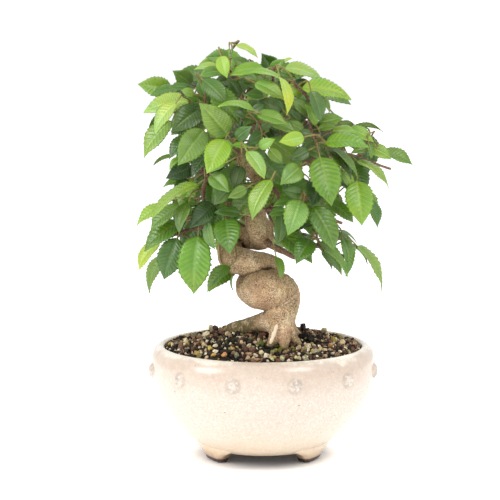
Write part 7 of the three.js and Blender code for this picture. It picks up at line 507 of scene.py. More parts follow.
        ([[-49.93,-15.08,219.81,0.94],[-49.24,-11.03,218.33,0.77],[-48.58,-7.06,217.73,0.77],[-47.62,-1.86,219.26,0.77]], None),
        ([[-47.62,-1.86,219.26,0.77],[-49.75,2.82,216.63,0.49],[-55.07,12.57,212.22,0.49]], [-58.04,8.32,209.19,-72.22,-12.02,194.68,-0.641,-0.097,0.762,16.9,0.32]),
        ([[-47.62,-1.86,219.26,0.77],[-46.56,-0.47,223.25,0.69]], None),
        ([[-46.56,-0.47,223.25,0.69],[-46.5,-1.78,225.94,0.49]], [-51.16,-2.08,222.17,-72.46,-3.45,204.9,-0.622,0.23,0.749,14.58,0.31]),
        ([[-46.56,-0.47,223.25,0.69],[-47.33,5.49,231.92,0.49]], [-53.22,4.98,230.88,-70.65,3.48,227.79,-0.098,-0.559,0.824,9.96,0.3]),
        ([[-46.56,-0.47,223.25,0.69],[-43.74,1.38,227.44,0.49],[-41.33,2.56,232.0,0.49]], [-44.82,-1.53,234.65,-55.33,-13.85,242.65,0.632,-0.722,-0.282,10.53,0.22]),
        ([[-49.78,-13.96,216.39,0.99],[-49.93,-15.08,219.81,0.94]], None),
    ], "stalked": [
    ]},
    {"name": "shoot_left_high_2", "twigs": [
        ([[-29.34,-8.05,213.0,0.77],[-27.66,-6.53,213.47,0.77]], None),
        ([[-27.66,-6.53,213.47,0.77],[-23.19,-4.12,213.02,0.61]], None),
        ([[-23.19,-4.12,213.02,0.61],[-19.06,-1.3,211.97,0.49],[-15.1,0.98,210.28,0.49]], [-19.51,3.74,207.29,-40.73,17.05,192.88,-0.474,0.178,0.862,15.89,0.27]),
        ([[-23.19,-4.12,213.02,0.61],[-15.57,-3.65,212.3,0.49]], [-17.16,-5.76,206.91,-24.09,-14.97,183.42,0.044,-0.934,0.353,14.73,0.21]),
        ([[-27.66,-6.53,213.47,0.77],[-26.14,-3.05,215.6,0.61]], None),
        ([[-26.14,-3.05,215.6,0.61],[-28.96,4.98,210.56,0.49]], [-34.65,6.33,209.22,-58.47,12.0,203.61,-0.317,-0.639,0.701,15.01,0.22]),
        ([[-26.14,-3.05,215.6,0.61],[-24.6,-1.54,218.31,0.49]], [-30.28,-2.27,220.1,-49.24,-4.67,226.1,0.172,-0.973,0.154,10.86,0.22]),
        ([[-30.27,-7.19,209.2,0.8],[-29.34,-8.05,213.0,0.77]], None),
    ], "stalked": [
    ]},
    {"name": "shoot_left_high_3", "twigs": [
        ([[-10.36,11.21,228.15,1.15],[-12.4,11.64,227.04,0.89]], None),
        ([[-12.4,11.64,227.04,0.89],[-13.14,11.72,224.56,0.49]], [-15.9,16.07,227.64,-29.31,37.2,242.61,0.342,-0.389,0.855,16.04,0.25]),
        ([[-12.4,11.64,227.04,0.89],[-18.9,12.69,225.51,0.83],[-24.69,12.74,226.12,0.83]], None),
        ([[-24.69,12.74,226.12,0.83],[-26.24,14.51,227.17,0.61]], None),
        ([[-26.24,14.51,227.17,0.61],[-27.27,18.87,228.71,0.49],[-27.99,22.8,231.42,0.49],[-28.03,26.15,234.95,0.49],[-27.23,28.84,238.7,0.49]], [-29.84,31.45,233.98,-40.58,42.19,214.59,-0.558,0.555,0.617,13.86,0.41]),
        ([[-26.24,14.51,227.17,0.61],[-32.7,17.37,233.04,0.49],[-36.04,18.37,237.28,0.49],[-38.57,18.84,241.72,0.49]], [-42.58,17.26,237.54,-59.55,10.58,219.82,-0.307,-0.756,0.579,15.2,0.02]),
        ([[-24.69,12.74,226.12,0.83],[-26.5,11.39,226.41,0.69]], None),
        ([[-26.5,11.39,226.41,0.69],[-30.43,7.62,226.71,0.49]], [-34.8,11.49,225.29,-58.05,32.12,217.77,-0.228,0.096,0.969,17.22,0.37]),
        ([[-26.5,11.39,226.41,0.69],[-30.82,8.99,224.14,0.49]], [-33.67,12.95,220.65,-47.81,32.57,203.36,-0.409,0.42,0.81,16.49,0.28]),
        ([[-26.5,11.39,226.41,0.69],[-27.67,10.06,230.64,0.49],[-27.68,9.79,232.64,0.49],[-26.71,9.93,236.35,0.49]], [-32.59,9.23,237.3,-55.15,6.57,240.93,0.191,-0.735,0.65,13.31,0.28]),
        ([[-10.36,11.21,228.15,1.15],[-7.87,10.57,232.07,0.89]], None),
        ([[-7.87,10.57,232.07,0.89],[-15.06,11.02,241.69,0.49]], [-18.82,15.57,242.74,-37.39,38.06,247.89,-0.315,-0.452,0.835,17.19,0.51]),
        ([[-7.87,10.57,232.07,0.89],[-9.0,14.79,234.94,0.49],[-9.86,16.77,235.73,0.49],[-14.0,22.15,235.87,0.49]], [-15.84,25.83,231.5,-26.01,46.18,207.39,-0.347,0.639,0.686,17.64,0.48]),
        ([[-7.87,10.57,232.07,0.89],[-2.59,7.68,229.98,0.49]], [1.79,6.12,226.19,21.65,-0.99,209.03,0.156,-0.836,0.526,14.95,0.29]),
        ([[-7.87,10.57,232.07,0.89],[-5.87,9.59,234.43,0.69]], None),
        ([[-5.87,9.59,234.43,0.69],[-5.39,9.03,238.93,0.49],[-5.86,8.23,243.16,0.49],[-8.37,5.79,249.83,0.49]], [-10.71,4.68,245.21,-17.83,6.45,220.5,-0.548,-0.831,0.098,15.35,0.23]),
        ([[-5.87,9.59,234.43,0.69],[-0.43,8.38,238.76,0.49]], [5.45,7.31,239.27,28.15,3.16,241.23,-0.198,-0.885,0.42,13.98,0.3]),
        ([[-5.87,9.59,234.43,0.69],[0.99,4.32,239.19,0.49],[7.6,0.59,241.01,0.49]], [5.39,-4.97,243.89,-0.92,-21.27,252.87,0.553,-0.556,-0.621,11.09,0.18]),
        ([[-9.18,11.22,224.54,1.21],[-10.36,11.21,228.15,1.15]], None),
    ], "stalked": [
    ]},
    {"name": "shoot_left_high_4", "twigs": [
        ([[-19.1,-4.57,256.34,0.69],[-19.44,-0.79,258.22,0.49],[-21.04,5.23,260.36,0.49]], [-21.03,4.79,256.38,-20.98,1.82,229.35,0.029,-0.994,0.109,15.25,0.53]),
        ([[-19.1,-4.57,256.34,0.69],[-15.0,-7.0,261.0,0.61]], None),
        ([[-15.0,-7.0,261.0,0.61],[-17.8,-12.88,259.85,0.49],[-19.35,-16.69,259.79,0.49]], [-16.72,-16.98,258.36,-3.33,-18.48,251.1,0.379,-0.472,0.796,8.52,0.92]),
        ([[-19.94,-4.0,253.09,0.73],[-19.1,-4.57,256.34,0.69]], None),
    ], "stalked": [
        ([-15.0,-7.0,261.0], [-15.77,-7.11,261.27], [-18.71,-7.62,257.4,-19.03,-7.62,250.66,-0.982,-0.185,0.046,3.38,0.5]),
    ]},
    {"name": "shoot_left_low_1", "twigs": [
        ([[-50.81,-15.99,141.91,0.77],[-60.53,-5.03,141.03,0.49],[-64.0,1.01,140.99,0.49],[-64.48,7.13,140.77,0.49],[-62.73,13.64,139.83,0.49]], [-66.25,13.25,134.99,-79.7,11.75,116.53,-0.61,-0.619,0.495,12.9,0.9]),
        ([[-50.81,-15.99,141.91,0.77],[-49.69,-15.61,142.66,0.69]], None),
        ([[-49.69,-15.61,142.66,0.69],[-43.74,-11.71,137.66,0.49]], [-46.11,-12.35,132.18,-51.7,-13.85,119.21,-0.707,-0.6,0.374,8.02,0.6]),
        ([[-49.69,-15.61,142.66,0.69],[-50.28,-17.43,145.91,0.49],[-50.6,-21.43,146.05,0.49]], [-52.98,-23.6,140.89,-61.39,-24.22,114.98,-0.132,-0.989,0.066,15.3,0.18]),
        ([[-49.69,-15.61,142.66,0.69],[-47.77,-15.6,146.96,0.49],[-46.08,-17.33,153.31,0.49]], [-50.93,-17.68,149.79,-73.85,-19.36,133.15,-0.392,-0.689,0.61,15.97,0.3]),
        ([[-49.47,-18.49,144.15,0.8],[-50.81,-15.99,141.91,0.77]], None),
    ], "stalked": [
    ]},
    {"name": "shoot_left_low_2", "twigs": [
        ([[-26.96,-9.82,148.14,0.69],[-26.94,-13.71,133.0,0.49],[-26.33,-16.33,127.09,0.49],[-24.8,-18.08,123.37,0.49],[-20.65,-19.08,118.94,0.49]], [-18.76,-17.16,117.38,-18.47,-17.16,106.08,-0.982,-0.188,-0.026,5.65,0.3]),
        ([[-26.96,-9.82,148.14,0.69],[-21.46,-15.16,142.83,0.49],[-18.78,-18.96,138.96,0.49],[-17.36,-22.55,134.9,0.49],[-16.47,-26.74,128.51,0.49]], [-20.45,-27.16,124.03,-34.54,-28.66,108.17,-0.603,-0.541,0.587,11.98,0.36]),
        ([[-25.64,-12.63,150.7,0.73],[-26.96,-9.82,148.14,0.69]], None),
    ], "stalked": [
    ]},
    {"name": "shoot_left_mid", "twigs": [
        ([[-28.68,-9.45,188.58,0.77],[-24.14,-3.1,189.83,0.61]], None),
        ([[-24.14,-3.1,189.83,0.61],[-23.08,2.93,186.61,0.49],[-22.51,10.24,179.88,0.49]], [-26.77,10.27,175.66,-43.73,10.4,158.83,-0.675,0.278,0.683,12.74,0.0]),
        ([[-24.14,-3.1,189.83,0.61],[-20.62,0.95,189.95,0.49]], [-24.87,-1.23,186.32,-43.17,-10.64,170.68,-0.261,-0.661,0.703,15.86,0.09]),
        ([[-28.68,-9.45,188.58,0.77],[-33.92,-3.16,191.5,0.49],[-36.53,0.52,191.0,0.49],[-37.47,2.0,189.96,0.49],[-38.6,3.91,186.85,0.49],[-39.08,4.4,181.25,0.49]], [-41.26,1.73,176.34,-50.4,-9.49,155.74,-0.377,-0.733,0.566,15.32,0.49]),
        ([[-28.68,-9.45,188.58,0.77],[-29.24,-5.82,185.16,0.49],[-29.21,-3.73,182.34,0.49]], [-30.17,-7.8,177.55,-31.17,-17.59,153.11,-0.344,-0.867,0.361,15.19,0.21]),
        ([[-26.1,-8.53,185.72,0.8],[-28.68,-9.45,188.58,0.77]], None),
    ], "stalked": [
    ]},
    {"name": "shoot_middle_mid_1", "twigs": [
        ([[5.01,-14.54,174.64,0.94],[6.34,-12.69,174.79,0.77]], None),
        ([[6.34,-12.69,174.79,0.77],[-0.88,-5.1,174.17,0.49],[-6.04,0.14,171.64,0.49],[-6.43,2.47,171.17,0.49]], [-11.22,-1.02,168.99,-25.86,-7.9,156.72,-0.244,-0.693,0.679,12.4,0.3]),
        ([[6.34,-12.69,174.79,0.77],[17.01,-3.7,176.42,0.69]], None),
        ([[17.01,-3.7,176.42,0.69],[19.07,-1.68,177.92,0.61]], None),
        ([[19.07,-1.68,177.92,0.61],[23.07,1.13,182.64,0.49],[29.28,2.9,188.65,0.49]], [35.08,4.83,186.88,57.4,14.9,169.93,0.618,-0.048,0.785,17.77,0.21]),
        ([[19.07,-1.68,177.92,0.61],[25.7,3.6,178.33,0.49]], [29.56,6.51,174.78,51.12,22.72,155.02,0.587,0.181,0.789,17.73,0.08]),
        ([[17.01,-3.7,176.42,0.69],[26.78,-3.1,166.48,0.49]], [27.54,-5.99,161.28,30.6,-17.67,140.3,0.02,-0.872,0.489,14.23,0.35]),
        ([[5.01,-14.54,174.64,0.94],[2.36,-18.71,177.52,0.69]], None),
        ([[2.36,-18.71,177.52,0.69],[0.45,-20.62,179.21,0.61]], None),
        ([[0.45,-20.62,179.21,0.61],[-8.27,-24.4,187.81,0.49]], [-12.42,-26.52,184.03,-31.35,-36.23,166.8,-0.006,-0.868,0.496,14.88,0.3]),
        ([[0.45,-20.62,179.21,0.61],[-0.82,-25.32,179.29,0.49]], [-4.24,-25.87,174.38,-19.32,-28.27,152.71,0.129,-0.991,0.02,16.36,0.28]),
        ([[2.36,-18.71,177.52,0.69],[4.01,-22.75,177.27,0.49],[6.96,-28.01,176.29,0.49]], [12.02,-30.05,173.79,34.81,-39.21,162.5,-0.081,-0.847,0.525,15.87,0.31]),
        ([[5.06,-12.43,171.32,0.99],[5.01,-14.54,174.64,0.94]], None),
    ], "stalked": [
    ]},
    {"name": "shoot_middle_mid_2", "twigs": [
        ([[9.2,16.52,210.61,0.83],[15.4,16.33,208.0,0.49],[19.92,15.53,207.37,0.49]], [23.51,18.22,203.38,43.63,33.29,181.0,0.434,0.516,0.738,18.87,0.25]),
        ([[9.2,16.52,210.61,0.83],[10.64,12.44,204.85,0.49],[14.01,7.46,198.62,0.49]], [18.4,7.58,202.7,38.07,8.12,220.99,-0.666,-0.19,0.722,13.97,0.08]),
        ([[9.2,16.52,210.61,0.83],[12.43,14.84,205.02,0.49],[15.35,13.27,201.58,0.49],[20.72,9.13,197.98,0.49]], [23.75,5.91,193.92,34.33,-5.32,179.74,0.171,-0.706,0.687,12.25,0.17]),
        ([[6.24,18.05,208.26,0.87],[9.2,16.52,210.61,0.83]], None),
    ], "stalked": [
    ]},
]


# ------------------------------------------------------------------ helpers
def mesh_object(name, verts, faces, mats, mat_index=None, smooth=True, attrs=None):
    """verts in mm about the pot's axis."""
    me = bpy.data.meshes.new(name)
    v = (np.asarray(verts, float) + np.array([SX, SY, 0.0])) * MM
    if isinstance(faces, np.ndarray):
        n, k = faces.shape
        me.vertices.add(len(v))
        me.vertices.foreach_set("co", v.ravel())
        me.loops.add(n * k)
        me.loops.foreach_set("vertex_index", faces.astype(np.int32).ravel())
        me.polygons.add(n)
        me.polygons.foreach_set("loop_start", np.arange(0, n * k, k, dtype=np.int32))
        me.polygons.foreach_set("loop_total", np.full(n, k, np.int32))
        me.update(calc_edges=True)
    else:
        me.from_pydata(v.tolist(), [], faces)
    for m in mats:
        me.materials.append(m)
    if mat_index is not None:
        me.polygons.foreach_set("material_index", np.asarray(mat_index, np.int32))
    me.polygons.foreach_set("use_smooth", np.full(len(me.polygons), smooth))
    for an, data in (attrs or {}).items():
        a = me.color_attributes.new(an, "FLOAT_COLOR", "POINT")
        a.data.foreach_set("color", np.asarray(data, np.float32).ravel())
    me.validate()
    me.update()
    ob = bpy.data.objects.new(name, me)
    bpy.context.scene.collection.objects.link(ob)
    return ob


def settle(ob, nodes):
    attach(ob, "root")
    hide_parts(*nodes)
    return ob


def applied(ob):
    """The object's mesh with its modifiers applied."""
    dg = bpy.context.evaluated_depsgraph_get()
    me = bpy.data.meshes.new_from_object(ob.evaluated_get(dg))
    old = ob.data
    ob.modifiers.clear()
    ob.data = me
    bpy.data.meshes.remove(old)
    return ob


def spline(points, step):
    """Catmull-Rom curve through x, y, z, radius rows."""
    p = np.asarray(points, float)
    if len(p) < 3:
        n = max(2, int(np.linalg.norm(p[-1, :3] - p[0, :3]) / step) + 1)
        t = np.linspace(0, 1, n)[:, None]
        return p[0] * (1 - t) + p[-1] * t
    ext = np.vstack([2 * p[0] - p[1], p, 2 * p[-1] - p[-2]])
    out = []
    for i in range(1, len(ext) - 2):
        a, b, c, d = ext[i - 1], ext[i], ext[i + 1], ext[i + 2]
        n = max(1, int(round(np.linalg.norm(c[:3] - b[:3]) / step)))
        for s in range(n):
            t = s / n
            out.append(0.5 * (2 * b + (c - a) * t + (2 * a - 5 * b + 4 * c - d) * t * t + (3 * b - a - 3 * c + d) * t**3))
    out.append(ext[-2])
    return np.array(out)


def tube(line, sides, twist=0.0, lump=0.0, seed=0, cap=True):
    """Closed tube along x, y, z, radius rows: vertices and quads/caps."""
    p = np.asarray(line, float)
    n = len(p)
    d = np.gradient(p[:, :3], axis=0)
    d /= np.linalg.norm(d, axis=1)[:, None] + 1e-9
    u = np.zeros((n, 3))
    ref = np.array([0.0, 0, 1]) if abs(d[0, 2]) < 0.9 else np.array([1.0, 0, 0])
    u[0] = np.cross(ref, d[0])
    u[0] /= np.linalg.norm(u[0])
    for i in range(1, n):
        w = u[i - 1] - d[i] * (u[i - 1] @ d[i])
        u[i] = w / (np.linalg.norm(w) + 1e-9)
    w = np.cross(d, u)
    ang = np.linspace(0, 2 * np.pi, sides, endpoint=False)
    r = p[:, 3][:, None] * np.ones(sides)
    if lump:
        lr = np.random.default_rng(seed)
        ph = lr.uniform(0, 6.28, 4)
        s = np.arange(n)[:, None] * 0.35
        r = r * (1 + lump * (0.5 * np.sin(s * 1.3 + ph[0]) * np.cos(ang + ph[1]) + 0.5 * np.sin(s * 2.7 + ph[2] + 2 * ang)))
    v = p[:, None, :3] + r[:, :, None] * (np.cos(ang)[None, :, None] * u[:, None] + np.sin(ang)[None, :, None] * w[:, None])
    v = v.reshape(-1, 3)
    f = []
    for i in range(n - 1):
        for k in range(sides):
            a = i * sides + k
            b = i * sides + (k + 1) % sides
            f.append((a, b, b + sides, a + sides))
    if cap:
        f.append(tuple(range(sides - 1, -1, -1)))
        f.append(tuple((n - 1) * sides + k for k in range(sides)))
    return v, f


# ------------------------------------------------------------------ materials
def material(name, roughness=0.5):
    m = bpy.data.materials.new(name)
    m.use_nodes = True
    nt = m.node_tree
    nt.nodes.clear()
    out = nt.nodes.new("ShaderNodeOutputMaterial")
    b = nt.nodes.new("ShaderNodeBsdfPrincipled")
    b.inputs["Roughness"].default_value = roughness
    nt.links.new(b.outputs[0], out.inputs[0])
    return m, nt, b, out


def node(nt, kind, **kw):
    n = nt.nodes.new(kind)
    for k, v in kw.items():
        if k.startswith("i_"):
            n.inputs[k[2:].replace("_", " ")].default_value = v
        else:
            setattr(n, k, v)
    return n


def ramp(nt, stops, fac=None, mode="LINEAR"):
    r = nt.nodes.new("ShaderNodeValToRGB")
    r.color_ramp.interpolation = mode
    e = r.color_ramp.elements
    while len(e) > 1:
        e.remove(e[-1])
    e[0].position, e[0].color = stops[0][0], (*stops[0][1], 1)
    for pos, col in stops[1:]:
        x = e.new(pos)
        x.color = (*col, 1)
    if fac is not None:
        nt.links.new(fac, r.inputs[0])
    return r


def mix(nt, a, b, fac, blend="MIX"):
    m = nt.nodes.new("ShaderNodeMix")
    m.data_type = "RGBA"
    m.blend_type = blend
    for sock, val in ((6, a), (7, b), (0, fac)):
        if hasattr(val, "links"):
            nt.links.new(val, m.inputs[sock])
        elif sock == 0:
            m.inputs[0].default_value = val
        else:
            m.inputs[sock].default_value = (*val, 1)
    return m.outputs[2]


def math_node(nt, op, a, b=None, clamp=False):
    m = nt.nodes.new("ShaderNodeMath")
    m.operation = op
    m.use_clamp = clamp
    for i, val in enumerate((a, b)):
        if val is None:
            continue
        if hasattr(val, "links"):
            nt.links.new(val, m.inputs[i])
        else:
            m.inputs[i].default_value = val
    return m.outputs[0]


def noise_tex(nt, coord, scale, detail=4, rough=0.55, lac=2.0, dist=0.0):
    n = nt.nodes.new("ShaderNodeTexNoise")
    n.inputs["Scale"].default_value = scale
    n.inputs["Detail"].default_value = detail
    n.inputs["Roughness"].default_value = rough
    n.inputs["Lacunarity"].default_value = lac
    n.inputs["Distortion"].default_value = dist
    nt.links.new(coord, n.inputs["Vector"])
    return n


def srgb(r, g, b):
    return tuple(((c / 255) / 12.92 if c / 255 <= 0.04045 else ((c / 255 + 0.055) / 1.055) ** 2.4) for c in (r, g, b))


def leaf_material():
    m, nt, b, out = material("leaf_blade", 0.42)
    at = node(nt, "ShaderNodeVertexColor", layer_name="leaf_data")
    sep = nt.nodes.new("ShaderNodeSeparateColor")
    nt.links.new(at.outputs["Color"], sep.inputs[0])
    youth, vein, painted_shade = sep.outputs[0], sep.outputs[1], sep.outputs[2]
    under = at.outputs["Alpha"]
    co = nt.nodes.new("ShaderNodeTexCoord").outputs["Object"]
    n1 = noise_tex(nt, co, 260, 3)
    n2 = noise_tex(nt, co, 1500, 2)
    y = math_node(nt, "ADD", youth, math_node(nt, "MULTIPLY", math_node(nt, "SUBTRACT", n1.outputs["Fac"], 0.5), 0.22), True)
    base = ramp(nt, LEAF_RAMP, y)
    light = ramp(nt, VEIN_SHEEN_RAMP, y)
    # pale veins whose colour is whitened into a painted sheen; on some leaves the painted sheen also fills the bands
    # between the veins
    col = mix(nt, base.outputs[0], light.outputs[0], math_node(nt, "MULTIPLY", vein, 0.46, True))
    # whole leaves lean olive or blue-green
    hue = ramp(nt, [(0.40, (0.86, 0.98, 1.35)), (0.49, (1, 1, 1)), (0.60, (1.10, 1.0, 0.55))], noise_tex(nt, co, 34, 2).outputs["Fac"])
    col = mix(nt, col, hue.outputs[0], 0.85, "MULTIPLY")
    # darker, greener patches between the veins
    col = mix(nt, col, (0.62, 0.72, 0.5), math_node(nt, "MULTIPLY", math_node(nt, "SUBTRACT", 1.0, n2.outputs["Fac"]), 0.28), "MULTIPLY")
    # painted shade: darker in the pleat folds, and along sunken veins on some leaves
    col = mix(nt, col, (0.55, 0.6, 0.5), math_node(nt, "MULTIPLY", painted_shade, 0.55), "MULTIPLY")
    pale = ramp(nt, UNDER_RAMP, y)
    col = mix(nt, col, pale.outputs[0], math_node(nt, "MULTIPLY", under, 0.75))
    nt.links.new(col, b.inputs["Base Color"])
    ro = math_node(nt, "ADD", math_node(nt, "MULTIPLY", n1.outputs["Fac"], 0.14), math_node(nt, "ADD", math_node(nt, "MULTIPLY", under, 0.22), 0.25))
    nt.links.new(ro, b.inputs["Roughness"])
    b.inputs["Specular IOR Level"].default_value = 0.8
    b.inputs["Coat Weight"].default_value = 0.25
    b.inputs["Coat Roughness"].default_value = 0.38
    bump = node(nt, "ShaderNodeBump")
    bump.inputs["Strength"].default_value = 0.35
    bump.inputs["Distance"].default_value = 0.0002
    nt.links.new(n2.outputs["Fac"], bump.inputs["Height"])
    nt.links.new(bump.outputs[0], b.inputs["Normal"])
    tr = nt.nodes.new("ShaderNodeBsdfTranslucent")
    glow = mix(nt, col, (1.25, 1.25, 0.55), 1.0, "MULTIPLY")
    nt.links.new(glow, tr.inputs["Color"])
    mx = nt.nodes.new("ShaderNodeMixShader")
    mx.inputs[0].default_value = 0.24
    nt.links.new(b.outputs[0], mx.inputs[1])
    nt.links.new(tr.outputs[0], mx.inputs[2])
    nt.links.new(mx.outputs[0], out.inputs[0])
    return m


LEAF_RAMP = [(0.0, srgb(42, 76, 8)), (0.25, srgb(82, 128, 12)), (0.5, srgb(124, 172, 20)), (0.75, srgb(156, 196, 42)), (1.0, srgb(198, 216, 66))]
# pale vein colours, made whiter so that they also paint the leaves' sheen
VEIN_SHEEN_RAMP = [(0.0, srgb(118, 150, 82)), (0.25, srgb(152, 184, 100)), (0.5, srgb(190, 214, 124)), (0.75, srgb(214, 230, 150)), (1.0, srgb(234, 242, 164))]
UNDER_RAMP = [(0.0, srgb(134, 162, 84)), (0.5, srgb(162, 192, 100)), (1.0, srgb(206, 222, 130))]


def twig_material():
    m, nt, b, out = material("twig_bark", 0.6)
    at = node(nt, "ShaderNodeVertexColor", layer_name="leaf_data")
    sep = nt.nodes.new("ShaderNodeSeparateColor")
    nt.links.new(at.outputs["Color"], sep.inputs[0])
    co = nt.nodes.new("ShaderNodeTexCoord").outputs["Object"]
    n1 = noise_tex(nt, co, 900, 4)
    n2 = noise_tex(nt, co, 160, 2)
    wood = ramp(nt, [(0.3, srgb(58, 38, 32)), (0.5, srgb(104, 72, 56)), (0.72, srgb(150, 112, 86))], n1.outputs["Fac"])
    green = ramp(nt, [(0.3, srgb(112, 84, 40)), (0.5, srgb(128, 124, 56)), (0.7, srgb(150, 150, 76))], n2.outputs["Fac"])
    col = mix(nt, wood.outputs[0], green.outputs[0], sep.outputs[0])
    nt.links.new(col, b.inputs["Base Color"])
    bump = node(nt, "ShaderNodeBump")
    bump.inputs["Strength"].default_value = 0.5
    bump.inputs["Distance"].default_value = 0.0003
    nt.links.new(n1.outputs["Fac"], bump.inputs["Height"])
    nt.links.new(bump.outputs[0], b.inputs["Normal"])
    return m


def bark_material(name, dark, mid, light, speck):
    m, nt, b, out = material(name, 0.78)
    co = nt.nodes.new("ShaderNodeTexCoord").outputs["Object"]
    big = noise_tex(nt, co, 70, 5, 0.6)
    fine = noise_tex(nt, co, 1150, 5, 0.7)
    grain = noise_tex(nt, co, 2600, 3, 0.6)
    col = ramp(nt, [(0.28, dark), (0.5, mid), (0.7, light)], big.outputs["Fac"]).outputs[0]
    # olive and rosy patches, a few centimetres across
    olive = ramp(nt, [(0.47, (0, 0, 0)), (0.66, (1, 1, 1))], noise_tex(nt, co, 46, 3).outputs["Fac"])
    rosy = ramp(nt, [(0.33, (1, 1, 1)), (0.47, (0, 0, 0))], noise_tex(nt, co, 64, 3).outputs["Fac"])
    col = mix(nt, col, (0.80, 0.86, 0.66), math_node(nt, "MULTIPLY", olive.outputs[0], 0.75), "MULTIPLY")
    col = mix(nt, col, (1.0, 0.93, 0.97), math_node(nt, "MULTIPLY", rosy.outputs[0], 0.8), "MULTIPLY")
    sp = ramp(nt, [(0.435, (1, 1, 1)), (0.555, (0, 0, 0))], fine.outputs["Fac"])
    patch = ramp(nt, [(0.38, (0.5, 0.5, 0.5)), (0.62, (1, 1, 1))], noise_tex(nt, co, 110, 3).outputs["Fac"])
    col = mix(nt, col, speck, math_node(nt, "MULTIPLY", math_node(nt, "MULTIPLY", sp.outputs[0], patch.outputs[0]), 0.95))
    # painted highlight: light flecks where the fine grain bump is raised
    painted_grain_highlight = ramp(nt, [(0.52, (0, 0, 0)), (0.68, (1, 1, 1))], grain.outputs["Fac"])
    col = mix(nt, col, tuple(min(1, c * 1.25) for c in light), math_node(nt, "MULTIPLY", painted_grain_highlight.outputs[0], 0.6))
    at = node(nt, "ShaderNodeVertexColor", layer_name="wood_data")
    sep = nt.nodes.new("ShaderNodeSeparateColor")
    nt.links.new(at.outputs["Color"], sep.inputs[0])
    col = mix(nt, col, srgb(62, 46, 28), math_node(nt, "MULTIPLY", sep.outputs[0], 0.95))  # painted shade in the concave crevices; also dark patches on the lower left root
    col = mix(nt, col, srgb(92, 88, 44), math_node(nt, "MULTIPLY", sep.outputs[1], 0.78))  # algae near the grit
    col = mix(nt, col, srgb(244, 224, 196), sep.outputs[2])  # scars
    nt.links.new(col, b.inputs["Base Color"])
    b.inputs["Specular IOR Level"].default_value = 0.3
    add = math_node(nt, "ADD", math_node(nt, "MULTIPLY", fine.outputs["Fac"], 1.0), math_node(nt, "MULTIPLY", grain.outputs["Fac"], 0.5))
    bump = node(nt, "ShaderNodeBump")
    bump.inputs["Strength"].default_value = 0.8
    bump.inputs["Distance"].default_value = 0.001
    nt.links.new(add, bump.inputs["Height"])
    nt.links.new(bump.outputs[0], b.inputs["Normal"])
    return m


